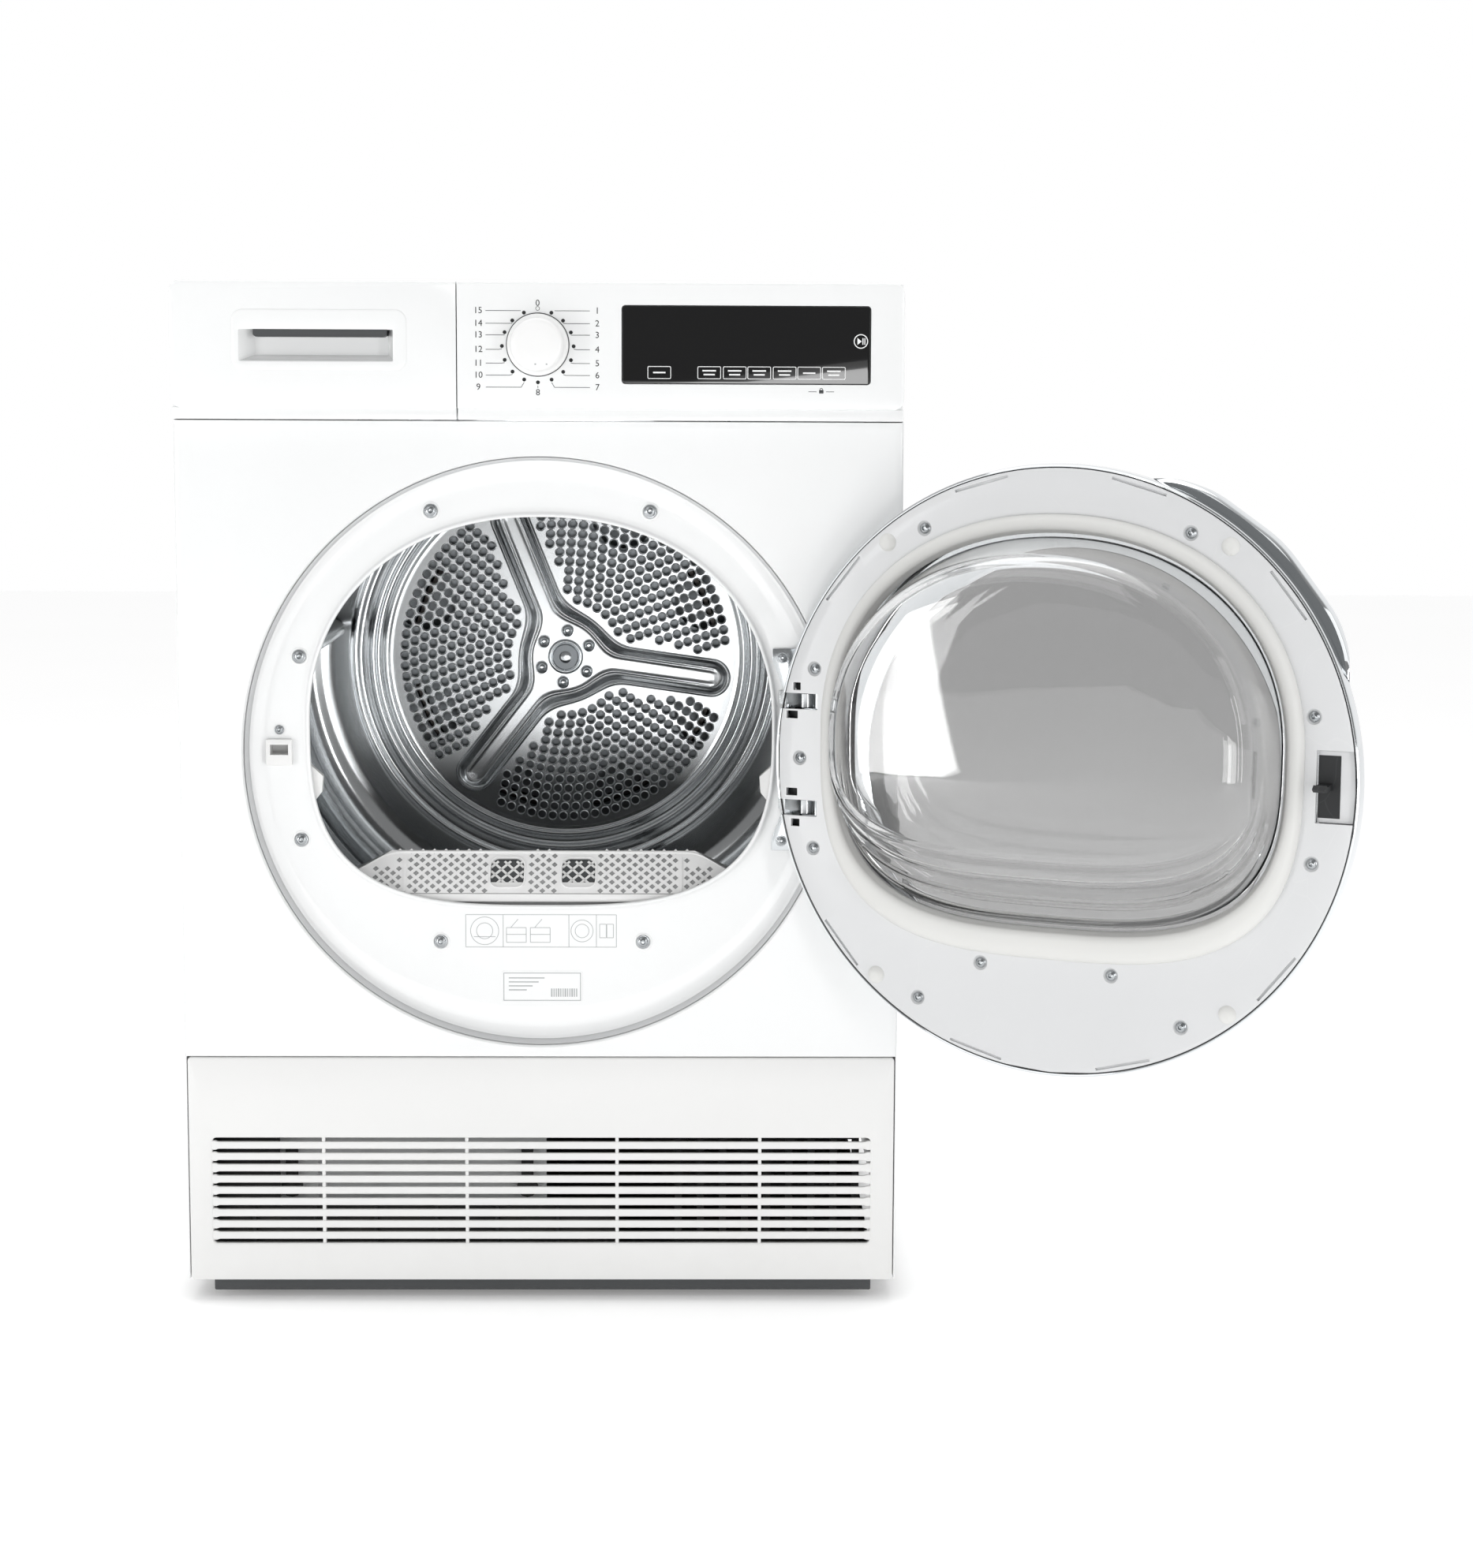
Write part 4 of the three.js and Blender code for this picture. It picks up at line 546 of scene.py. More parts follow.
def stepped(outline: Sequence[Flat], y: float, steps: Iterable[Flat]) -> list[list[Point]]:
    """Gives a ring of the outline for each step: how far it moves inwards and how far behind y it is."""
    return [at_depth(inset(outline, by), y + back) for by, back in steps]


def blend(first: Sequence[Flat], second: Sequence[Flat], t: float) -> list[Flat]:
    """Gives the outline a part of the way from one outline to another."""
    return [(a[0] + (b[0] - a[0]) * t, a[1] + (b[1] - a[1]) * t) for a, b in zip(first, second)]


def arc_profile(corners: Sequence[Flat], radius: float, steps: int = 4) -> list[Flat]:
    """Rounds the inner corners of an open profile.

    Args:
        corners: the profile's points.
        radius: the rounding, shortened where a side is short.
        steps: segments of each corner.

    Returns:
        The rounded profile.
    """
    made = [corners[0]]
    for before, here, after in zip(corners, corners[1:], corners[2:]):
        p, q, s = Vector(before), Vector(here), Vector(after)
        reach = min(radius, (p - q).length * 0.45, (s - q).length * 0.45)
        start, end = q + (p - q).normalized() * reach, q + (s - q).normalized() * reach
        for k in range(steps + 1):
            t = k / steps
            bent = start * (1 - t) ** 2 + q * 2 * t * (1 - t) + end * t * t
            made.append((bent.x, bent.y))
    made.append(corners[-1])
    return made


def linked(name: str, data: object) -> Object:
    """Puts data in the scene.

    Args:
        name: the object's name.
        data: its mesh, curve, light or camera.

    Returns:
        The new object.
    """
    made = bpy.data.objects.new(name, data)
    bpy.context.scene.collection.objects.link(made)
    return made


def at_height(outline: Iterable[Flat], *heights: float) -> list[list[Point]]:
    """Puts an outline drawn lying flat at each height."""
    return [[(x, y, h) for x, y in outline] for h in heights]


class Draft:
    """Points and faces of a piece while it is being made, in millimetres."""

    def __init__(self) -> None:
        """Starts empty."""
        self.points: list[Point] = []
        self.faces: list[tuple[int, ...]] = []

    def skin(self, rings: Sequence[Sequence[Point]], closed: bool = False, caps: bool = True) -> "Draft":
        """Stretches a skin over rings of points.

        Args:
            rings: the rings, with as many points each.
            closed: whether the last ring joins the first.
            caps: whether the two end rings are filled.

        Returns:
            This draft.
        """
        start, count = len(self.points), len(rings[0])
        for ring in rings:
            self.points.extend(ring)
        for i in range(len(rings) if closed else len(rings) - 1):
            a, b = start + i * count, start + (i + 1) % len(rings) * count
            for k in range(count):
                n = (k + 1) % count
                self.faces.append((a + k, a + n, b + n, b + k))
        if caps and not closed:
            self.faces.append(tuple(range(start + count - 1, start - 1, -1)))
            self.faces.append(tuple(range(start + (len(rings) - 1) * count, start + len(rings) * count)))
        return self

    def lathe(self, profile: Sequence[Flat], x: float, z: float, count: int = ROUND,
            closed: bool = True) -> "Draft":
        """Turns a profile of (radius, depth) about a front-to-back axis."""
        return self.skin([at_depth(circle(r, x, z, count), y) for r, y in profile], closed=closed,
            caps=False)

    def prism(self, outline: Sequence[Flat], y0: float, y1: float, soft: float = 0.0,
            steps: int = 3) -> "Draft":
        """Makes a plate of a front outline with its edges rounded.

        Args:
            outline: the outline, counterclockwise.
            y0: front depth.
            y1: back depth.
            soft: radius of the rounding.
            steps: segments of the rounding.

        Returns:
            This draft.
        """
        if soft <= 0:
            return self.skin([at_depth(outline, y0), at_depth(outline, y1)])
        turn = [radians(90 * k / steps) for k in range(steps + 1)]
        front = [at_depth(inset(outline, soft * (1 - sin(a))), y0 + soft * (1 - cos(a))) for a in turn]
        back = [at_depth(inset(outline, soft * (1 - sin(a))), y1 - soft * (1 - cos(a))) for a in turn]
        return self.skin(front + back[::-1])

    def block(self, low: Point, high: Point, soft: float = 0.0) -> "Draft":
        """Makes a block between two corners with softened edges."""
        outline = rounded(low[0], low[2], high[0], high[2], max(soft, 0.02), 2)
        return self.prism(outline, low[1], high[1], soft, 2)

    def placed(self, matrix: Matrix) -> "Draft":
        """Moves every point drawn so far."""
        self.points = [tuple(matrix @ Vector(p)) for p in self.points]
        return self

    def add(self, other: "Draft") -> "Draft":
        """Takes in another draft's points and faces.

        Args:
            other: the draft.

        Returns:
            This draft.
        """
        start = len(self.points)
        self.points.extend(other.points)
        self.faces.extend(tuple(k + start for k in face) for face in other.faces)
        return self

    def piece(self, name: str, sharp: float = 38.0, shell: bool = False) -> Object:
        """Makes the object.

        Args:
            name: the piece's name.
            sharp: angle in degrees above which an edge is hard.
            shell: whether the mesh is an open skin that faces the front.

        Returns:
            The object, at the origin.
        """
        mesh = bpy.data.meshes.new(name)
        mesh.from_pydata([tuple(c * MM for c in p) for p in self.points], [], self.faces)
        made = linked(name, mesh)
        clean(mesh, shell)
        mesh.shade_smooth()
        mesh.set_sharp_from_angle(angle=radians(sharp))
        return made


def clean(mesh: Mesh, shell: bool = False) -> None:
    """Merges doubles, drops empty faces and turns faces outwards.

    Args:
        mesh: the mesh to clean.
        shell: whether it is an open skin that faces the front.
    """
    work = bmesh.new()
    work.from_mesh(mesh)
    bmesh.ops.remove_doubles(work, verts=work.verts, dist=2e-6)
    bmesh.ops.dissolve_degenerate(work, edges=work.edges, dist=1e-7)
    bmesh.ops.recalc_face_normals(work, faces=work.faces)
    if shell and sum(f.normal.y * f.calc_area() for f in work.faces) > 0:
        bmesh.ops.reverse_faces(work, faces=work.faces)
    work.to_mesh(mesh)
    work.free()


def settled_mesh(made: Object) -> Object:
    """Turns an object's modifiers into plain mesh.

    Args:
        made: the object, whose modifiers go.

    Returns:
        The same object.
    """
    bpy.context.view_layer.update()
    graph = bpy.context.evaluated_depsgraph_get()
    mesh = bpy.data.meshes.new_from_object(made.evaluated_get(graph), depsgraph=graph)
    mesh.name = made.name
    made.modifiers.clear()
    made.data = mesh
    return made


def carved(made: Object, *tools: Draft) -> Object:
    """Cuts closed drafts out of a piece.

    Args:
        made: the piece.
        tools: what is cut away.

    Returns:
        The same piece.
    """
    cutter = Draft()
    for tool in tools:
        cutter.add(tool)
    knife = cutter.piece(made.name + "_cut")
    modifier = made.modifiers.new("cut", "BOOLEAN")
    modifier.operation, modifier.solver, modifier.object = "DIFFERENCE", "EXACT", knife
    modifier.use_self = True
    settled_mesh(made)
    bpy.data.objects.remove(knife)
    made.data.set_sharp_from_angle(angle=HARD_EDGE)
    return made


def thickened(made: Object, wall: float) -> Object:
    """Gives an open skin a wall behind it.

    Args:
        made: the skin.
        wall: its thickness.

    Returns:
        The same piece.
    """
    modifier = made.modifiers.new("wall", "SOLIDIFY")
    modifier.thickness, modifier.offset, modifier.use_even_offset = wall * MM, -1.0, False
    return settled_mesh(made)


def softened(node: str, name: str, width: float, segments: int = 2) -> Object:
    """Copies a CAD piece and rounds its edges.

    Args:
        node: the CAD node.
        name: the new piece's name.
        width: how wide the rounding is.
        segments: segments of the rounding.

    Returns:
        The new piece.
    """
    made = linked(name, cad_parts[node].data.copy())
    made.data.name = name
    made.data.materials.clear()
    work = bmesh.new()
    work.from_mesh(made.data)
    bmesh.ops.remove_doubles(work, verts=work.verts, dist=5e-6)
    bmesh.ops.dissolve_limit(work, angle_limit=radians(0.6), verts=work.verts, edges=work.edges)
    bmesh.ops.recalc_face_normals(work, faces=work.faces)
    work.to_mesh(made.data)
    work.free()
    modifier = made.modifiers.new("edges", "BEVEL")
    modifier.width, modifier.segments, modifier.limit_method = width * MM, segments, "ANGLE"
    modifier.angle_limit = HARD_EDGE
    modifier.use_clamp_overlap = True
    settled_mesh(made)
    made.data.shade_smooth()
    made.data.set_sharp_from_angle(angle=radians(34))
    return made


# ---- Geometry Nodes that repeat a shape ------------------------------------------------------


class NodeShop:
    """The Geometry Nodes trees that the sub-assemblies share."""

    def __init__(self) -> None:
        """Builds every tree once."""
        self.spread = self._spread()
        self.sieve = self._sieve()
        self.rows = self._rows()

    @staticmethod
    def _start(name: str, inputs: Sequence[tuple]) -> tuple:
        """Starts a geometry tree.

        Args:
            name: the tree's name.
            inputs: name, kind and default of each input after the geometry.

        Returns:
            The tree, the sockets that it is given and those that it fills.
        """
        tree = Tree(bpy.data.node_groups.new(name, "GeometryNodeTree"))
        tree.socket("Geometry", "INPUT", "Geometry")
        for label, kind, value in inputs:
            tree.socket(label, "INPUT", kind, value)
        tree.socket("Geometry", "OUTPUT", "Geometry")
        return tree, tree.node("NodeGroupInput").outputs, tree.node("NodeGroupOutput").inputs

    @staticmethod
    def _finish(tree: Tree, given: object, out: object, geometry: NodeSocket) -> NodeTree:
        """Realizes the instances and sets the material.

        Args:
            tree: the tree.
            given: the sockets that it is given.
            out: the sockets that it fills.
            geometry: the geometry's socket.

        Returns:
            The finished tree.
        """
        real = tree.node("GeometryNodeRealizeInstances", {0: geometry})
        dressed = tree.node("GeometryNodeSetMaterial",
            {"Geometry": real.outputs[0], "Material": given["Material"]})
        tree.feed(out[0], dressed.outputs[0])
        return tree.tree

    def _spread(self) -> NodeTree:
        """Builds the tree that puts one shape on every point, each turned its own way.

        Returns:
            The tree.
        """
        tree, given, out = self._start("ShapeOnPoints", [("Shape", "Object", None), ("Size", "Float", 1.0),
            ("Turn Spread", "Float", 0.6), ("Seed", "Int", 7), ("Material", "Material", None)])
        shape = tree.node("GeometryNodeObjectInfo", {"Object": given["Shape"]})
        facing = tree.node("GeometryNodeInputNamedAttribute", {"Name": "facing"}, data_type="FLOAT_VECTOR")
        turn = tree.node("FunctionNodeRandomValue", {"Seed": given["Seed"]}, data_type="FLOAT")
        tree.feed(turn.inputs[2], tree.math("MULTIPLY", given["Turn Spread"], -1.0))
        tree.feed(turn.inputs[3], given["Turn Spread"])
        aimed = tree.node("FunctionNodeAlignEulerToVector", {"Vector": facing.outputs[0]}, axis="Z")
        spun = tree.node("FunctionNodeRotateEuler", {"Rotation": aimed.outputs[0], "Angle": turn.outputs[1],
            "Axis": (0, 0, 1)}, rotation_type="AXIS_ANGLE", space="LOCAL")
        placed = tree.node("GeometryNodeInstanceOnPoints",
            {"Points": given["Geometry"], "Instance": shape.outputs["Geometry"],
            "Rotation": spun.outputs[0], "Scale": given["Size"]})
        return self._finish(tree, given, out, placed.outputs[0])

    def _sieve(self) -> NodeTree:
        """Builds the tree that fills flat outlines and punches a hole at every marked point.

        Returns:
            The tree.
        """
        tree, given, out = self._start("PunchedSheet",
            [("Hole Radius", "Float", 0.0037), ("Hole Sides", "Int", 12), ("Hole Turn", "Float", 0.0),
            ("Thickness", "Float", 0.001), ("Lift", "Vector", None), ("Tilt", "Vector", None),
            ("Material", "Material", None)])
        hole = tree.node("GeometryNodeInputNamedAttribute", {"Name": "hole"}, data_type="BOOLEAN")
        turn = tree.node("GeometryNodeInputNamedAttribute", {"Name": "turn"}, data_type="FLOAT_VECTOR")
        spots = tree.node("GeometryNodeMeshToPoints",
            {"Mesh": given["Geometry"], "Selection": hole.outputs[0]})
        punch = tree.node("GeometryNodeCurvePrimitiveCircle",
            {"Resolution": given["Hole Sides"], "Radius": given["Hole Radius"]})
        base = tree.node("ShaderNodeCombineXYZ", {2: given["Hole Turn"]})
        spin = tree.node("ShaderNodeVectorMath", {0: turn.outputs[0], 1: base.outputs[0]}, operation="ADD")
        holes = tree.node("GeometryNodeInstanceOnPoints",
            {"Points": spots.outputs[0], "Instance": punch.outputs[0], "Rotation": spin.outputs[0]})
        loose = tree.node("GeometryNodeRealizeInstances", {0: holes.outputs[0]})
        edges = tree.node("GeometryNodeMeshToCurve", {"Mesh": given["Geometry"]})
        joined = tree.node("GeometryNodeJoinGeometry")
        tree.feed(joined.inputs[0], loose.outputs[0])
        tree.feed(joined.inputs[0], edges.outputs[0])
        sheet = tree.node("GeometryNodeFillCurve", {"Curve": joined.outputs[0]})
        back = tree.node("GeometryNodeFlipFaces", {"Mesh": sheet.outputs[0]})
        raised = tree.node("GeometryNodeExtrudeMesh", {"Mesh": sheet.outputs[0], "Individual": False,
            "Offset Scale": given["Thickness"]})
        whole = tree.node("GeometryNodeJoinGeometry")
        tree.feed(whole.inputs[0], back.outputs[0])
        tree.feed(whole.inputs[0], raised.outputs[0])
        sealed = tree.node("GeometryNodeMergeByDistance", {"Geometry": whole.outputs[0], "Distance": 1e-6})
        moved = tree.node("GeometryNodeTransform",
            {"Geometry": sealed.outputs[0], "Translation": given["Lift"], "Rotation": given["Tilt"]})
        return self._finish(tree, given, out, moved.outputs[0])

    def _rows(self) -> NodeTree:
        """Builds the tree that repeats a shape at an even pitch along one direction.

        Returns:
            The tree.
        """
        tree, given, out = self._start("ShapeInRows", [("Count", "Int", 9), ("Step", "Vector", None),
            ("Material", "Material", None)])
        line = tree.node("GeometryNodeMeshLine", {"Count": given["Count"], "Offset": given["Step"]},
            mode="OFFSET")
        placed = tree.node("GeometryNodeInstanceOnPoints",
            {"Points": line.outputs[0], "Instance": given["Geometry"]})
        return self._finish(tree, given, out, placed.outputs[0])

    def run(self, made: Object, tree: NodeTree, **values: object) -> Object:
        """Runs a tree on an object and keeps its result as plain mesh.

        Args:
            made: the object.
            tree: the tree.
            values: the tree's inputs, with _ for a space in the name.

        Returns:
            The same object.
        """
        modifier = made.modifiers.new(tree.name, "NODES")
        modifier.node_group = tree
        named = {item.name: item.identifier for item in tree.interface.items_tree if item.in_out == "INPUT"}
        for key, value in values.items():
            modifier[named[key.replace("_", " ")]] = value
        settled_mesh(made)
        clean(made.data)
        made.data.shade_smooth()
        made.data.set_sharp_from_angle(angle=radians(36))
        return made

    def on_points(self, name: str, shape: Draft, places: Sequence[tuple[Point, Point]], material: Material,
            size: float = 1.0, turn: float = 0.6) -> Object:
        """Puts one small shape at many places.

        Args:
            name: the new piece's name.
            shape: the shape, with its face towards +Z and its foot at the origin.
            places: each place and the way that it faces.
            material: the finish.
            size: scale of the shape.
            turn: greatest turn either way about its own axis, in radians.

        Returns:
            The new piece.
        """
        source = shape.piece(name + "_one")
        mesh = bpy.data.meshes.new(name)
        mesh.from_pydata([tuple(c * MM for c in place) for place, _ in places], [], [])
        facing = mesh.attributes.new("facing", "FLOAT_VECTOR", "POINT")
        for k, (_, way) in enumerate(places):
            facing.data[k].vector = way
        made = linked(name, mesh)
        self.run(made, self.spread, Shape=source, Size=size, Turn_Spread=turn, Material=material)
        bpy.data.objects.remove(source)
        return made

    def sheet(self, name: str, outlines: Sequence[Sequence[Flat]],
            holes: Sequence[tuple[float, float, float]], material: Material, **values: object) -> Object:
        """Makes a flat sheet with its outlines filled and its holes punched.

        Args:
            name: the new piece's name.
            outlines: the outer outline and any large openings.
            holes: middle and turn of each hole.
            material: the finish.
            values: the tree's other inputs.

        Returns:
            The new piece.
        """
        points, edges = [], []
        for outline in outlines:
            start, count = len(points), len(outline)
            points.extend((x * MM, z * MM, 0.0) for x, z in outline)
            edges.extend((start + k, start + (k + 1) % count) for k in range(count))
        rims = len(points)
        points.extend((x * MM, z * MM, 0.0) for x, z, _ in holes)
        mesh = bpy.data.meshes.new(name)
        mesh.from_pydata(points, edges, [])
        mesh.attributes.new("hole", "BOOLEAN", "POINT")
        mesh.attributes.new("turn", "FLOAT_VECTOR", "POINT")
        for k, (_, _, angle) in enumerate(holes):
            mesh.attributes["hole"].data[rims + k].value = True
            mesh.attributes["turn"].data[rims + k].vector = (0.0, 0.0, angle)
        made = linked(name, mesh)
        return self.run(made, self.sieve, Material=material, **values)


def screw_shape(radius: float = 4.2, washer: float = 6.2) -> Draft:
    """Draws a pan-head screw on its washer, with a recess for the driver.

    Args:
        radius: of the head.
        washer: radius of the washer.

    Returns:
        The draft, face towards +Z.
    """
    profile = [(0.0, 0.0), (washer, 0.0), (washer, 0.4), (washer - 0.4, 0.8), (radius + 0.3, 0.8),
        (radius, 1.0), (radius - 0.1, 1.9), (radius - 0.9, 2.6), (radius * 0.48, 2.9), (radius * 0.42, 2.6),
        (radius * 0.36, 1.5), (0.0, 1.3)]
    draft = Draft().lathe([(r, -y) for r, y in profile], 0.0, 0.0, 20, closed=False)
    return draft.placed(Matrix.Rotation(radians(-90), 4, "X"))


# ---- Sub-assemblies --------------------------------------------------------------------------


@dataclass
class SubAssembly:
    """What every sub-assembly shares: its materials, its trees and how a piece is settled."""

    materials: dict
    shop: NodeShop

    def settle(self, made: Object, body: str, look: Look, slot: str, *replaced: str) -> Object:
        """Dresses a finished piece and lets it ride on its body.

        Args:
            made: the piece.
            body: the body's name.
            look: its finish.
            slot: the record's material slot; not used.
            replaced: CAD nodes that it stands for.

        Returns:
            The same piece.
        """
        made.data.materials.clear()
        made.data.materials.append(self.materials[look])
        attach(made, body)
        if replaced:
            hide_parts(*replaced)
        logger.info("%s rides on %s in %s, %d faces", made.name, body, look.value.name,
            len(made.data.polygons))
        return made

    def dress(self, look: Look, *nodes: str) -> None:
        """Gives CAD nodes that stay a better finish.

        Args:
            look: the finish.
            nodes: the nodes.
        """
        for node in nodes:
            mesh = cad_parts[node].data
            mesh.materials.clear()
            mesh.materials.append(self.materials[look])
            logger.info("%s keeps its CAD shape in %s", node, look.value.name)


@dataclass
class Opening:
    """The door opening's outline: flat-bottomed, wide and nearly round on top."""

    half: float = 191.6
    up: float = 170.0
    down: float = 153.6
    middle: float = 478.6
    power_up: float = 2.15
    power_down: float = 3.1

    def ring(self, side: float, up: Optional[float] = None, down: Optional[float] = None,
            count: int = ROUND) -> list[Flat]:
        """Gives the outline moved outwards.

        Args:
            side: by how much at the sides.
            up: at the top, as at the sides if left out.
            down: at the bottom, as at the sides if left out.
            count: how many points.

        Returns:
            The outline, counterclockwise.
        """
        points = []
        for k in range(count):
            a = 2 * pi * k / count
            c, s = cos(a), sin(a)
            power = 2 / (self.power_up if s >= 0 else self.power_down)
            reach = self.up + (side if up is None else up) if s >= 0 else self.down + (side if down is None
                else down)
            points.append((copysign(abs(c) ** power, c) * (self.half + side),
                self.middle + copysign(abs(s) ** power, s) * reach))
        return points


OPENING = Opening()


@dataclass
class Cabinet(SubAssembly):
    """Front panel, side panels, worktop, rear and feet."""

    front: float = -275.0
    door_z: float = 453.5
    recess: float = 245.0
    recess_depth: float = 18.0
    half: float = 296.5
    low: float = 199.3
    high: float = 727.2
    wall: float = 1.0
    panel_screws: tuple = ((90.2, 653.5), (-90.2, 653.5), (84.6, 294.0), (-84.6, 294.0), (-199.6, 533.0),
        (-199.8, 380.0))

    def build(self) -> None:
        """Makes every piece of the cabinet."""
        self.front_panel()
        self.panels()
        self.latch()
        self.screws()
        self.marks()
        self.rear()
        self.insides()

    def edge_ring(self, by: float, y: float) -> list[Point]:
        """Gives the front panel's outer edge as a ring with as many points as the recess.

        Args:
            by: how far inside the edge.
            y: its depth.

        Returns:
            The ring.
        """
        x1, z0, z1 = self.half - by, self.low + by, self.high - by
        ring = []
        for k in range(ROUND):
            a = 2 * pi * k / ROUND
            c, s = cos(a), sin(a)
            reach = min(x1 / max(abs(c), 1e-9),
                (z1 - self.door_z if s > 0 else self.door_z - z0) / max(abs(s), 1e-9))
            ring.append([c * reach, self.door_z + s * reach])
        for x, z in ((x1, z1), (-x1, z1), (-x1, z0), (x1, z0)):
            near = min(range(ROUND), key=lambda k: (ring[k][0] - x) ** 2 + (ring[k][1] - z) ** 2)
            ring[near] = [x, z]
        return at_depth(ring, y)

    def front_panel(self) -> None:
        """Makes the pressed front panel: soft outer edge, dished recess and raised lip."""
        floor = self.front + self.recess_depth
        rings = [self.edge_ring(by, self.front + y) for by,
            y in ((0, 11.5), (0, 1.5), (0.45, 0.45), (1.5, 0), (6, 0))]
        for out, dip in ((1.2, 0.0), (0.6, 0.03), (0.2, 0.12), (-0.1, 0.26), (-0.5, 0.42), (-1.0, 0.58),
                (-1.7, 0.74), (-2.8, 0.88), (-4.4, 0.97), (-6.0, 1.0)):
            rings.append(at_depth(circle(self.recess + out, 0, self.door_z),
                self.front + self.recess_depth * dip))
        inner, outer = circle(self.recess - 14, 0, self.door_z), OPENING.ring(9)
        for t in (0.3, 0.65, 1.0):
            rings.append(at_depth(blend(inner, outer, t), floor))
        for by, rise in ((5.2, 0.05), (4.1, 0.5), (3.4, 1.4), (3.0, 2.2), (2.4, 2.75), (1.5, 3.0),
                (0.6, 2.75), (0.1, 2.1), (0.0, -0.6)):
            rings.append(at_depth(OPENING.ring(by), floor - rise))
        panel = thickened(Draft().skin(rings, caps=False).piece("front_panel_skin", 50, shell=True),
            self.wall)
        carved(panel, Draft().block((-226, floor - 12, 444.5), (-208, floor + 20, 462.5)))
        self.settle(panel, "cabinet", Look.ENAMEL, "white_enamel", "front_panel")
        # A grey band on the recess wall, darker than the enamel around it: painted shade.
        wall = [(self.recess - by, self.front + y) for by,
            y in ((0.6, 4.6), (1.9, 12.6), (3.2, 15.6), (3.4, 15.3), (2.2, 12.2), (0.9, 4.4))]
        band = Draft().lathe(wall, 0, self.door_z).piece("recess_shadow_band", 60)
        self.settle(band, "cabinet", Look.RECESS_GREY, "white_enamel")

    def panels(self) -> None:
        """Rounds the edges of the panels that the CAD already shapes."""
        for node, width in (("side_panel_left", 0.5), ("side_panel_right", 0.5), ("worktop", 2.2)):
            self.settle(softened(node, node + "_skin", width, 3), "cabinet", Look.ENAMEL, "white_enamel",
                node)
        pads = (("foot_front_left", "foot_a"), ("foot_front_right", "foot_b"), ("foot_rear_left", "foot_c"),
            ("foot_rear_right", "foot_d"))
        for node, body in pads:
            self.settle(softened(node, node + "_pad", 0.8), body, Look.RUBBER, "black_rubber", node)

    def latch(self) -> None:
        """Makes the latch receptacle with its stepped slot."""
        z, floor = self.door_z, self.front + self.recess_depth
        box = Draft().block((-227.8, floor - 4.9, z - 10.9), (-206.2, floor - 0.3, z + 10.9), 0.9)
        body = box.piece("latch_receptacle_box")
        carved(body, Draft().block((-224.4, floor - 9, z - 2.2), (-209.4, floor - 0.2, z + 6.4)))
        self.settle(body, "cabinet", Look.PLASTIC, "white_plastic", "latch_receptacle")
        well = Draft().skin([at_depth(rounded(-225.2, z - 3.0, -208.6, z + 7.2, 0.5, 2), floor - 0.5),
            at_depth(rounded(-225.2, z - 3.0, -208.6, z + 7.2, 0.5, 2), floor + 15.5)])
        liner = well.piece("latch_well")
        carved(liner, Draft().block((-224.4, floor - 9, z - 2.2), (-209.4, floor + 14.5, z + 6.4)))
        self.settle(liner, "cabinet", Look.PLASTIC, "white_plastic")

    def screws(self) -> None:
        """Puts the screws of the recess, with a pressed dimple ring round each."""
        floor = self.front + self.recess_depth
        places = [((x, floor - 0.6, z), (0, -1, 0)) for x, z in self.panel_screws]
        made = self.shop.on_points("recess_screws", screw_shape(4.3, 5.6), places,
            self.materials[Look.SCREW])
        self.settle(made, "cabinet", Look.SCREW, "steel")
        small = self.shop.on_points("latch_screw", screw_shape(3.2, 4.0),
            [((-217, floor - 0.2, 472), (0, -1, 0))], self.materials[Look.SCREW])
        self.settle(small, "cabinet", Look.SCREW, "steel")
        rim = [(5.9, 0.0), (7.6, -0.02), (7.4, -0.35), (6.8, -0.6), (6.2, -0.62), (5.8, -0.3)]
        rings = Draft()
        for x, z in self.panel_screws:
            rings.lathe([(r, floor + y + 0.05) for r, y in rim], x, z, 40)
        self.settle(rings.piece("screw_dimples", 60), "cabinet", Look.ENAMEL, "white_enamel")

    def marks(self) -> None:
        """Prints the plain care pictures and the blank rating plate on the recess floor."""
        floor = self.front + self.recess_depth
        lines = Inking(floor - 0.02, 0.5)
        lines.frame(-64, 289, 62.5, 317, 0.5)
        for x in (-32.5, 22.5, 45.5):
            lines.line((x, 289), (x, 317))
        lines.ring(-48, 303, 12)
        lines.ring(-48, 303, 7)
        lines.line((-57, 298), (-39, 298))
        for x in (-22, -2):
            lines.frame(x - 8, 293, x + 9, 306, 0.5)
            lines.line((x - 8, 300), (x + 9, 300))
            lines.line((x - 4, 306), (x + 2, 313))
        lines.ring(33.5, 303, 9.5)
        lines.ring(33.5, 303, 6)
        lines.frame(48, 297, 54, 309, 0.5)
        lines.frame(54, 297, 60, 309, 0.5)
        self.settle(lines.draft.piece("care_pictures"), "cabinet", Look.PALE_PRINT, "grey_plastic")
        plate = Draft().prism(rounded(-34, 242, 34, 269, 2), floor - 0.3, floor + 0.2, 0.1, 1)
        self.settle(plate.piece("rating_plate"), "cabinet", Look.CONSOLE_WHITE, "white_plastic")
        bars = Inking(floor - 0.28, 0.7)
        bars.frame(-32.5, 243.5, 32.5, 267.5, 0.4)
        for k in range(4):
            bars.line((-28, 263 - 3.4 * k), (2 - 5 * k, 263 - 3.4 * k), 1.0)
        for k in range(12):
            bars.line((8 + 1.9 * k, 247), (8 + 1.9 * k, 254), 0.9 if k % 3 else 1.3)
        self.settle(bars.draft.piece("rating_plate_marks"), "cabinet", Look.PALE_PRINT, "grey_plastic")

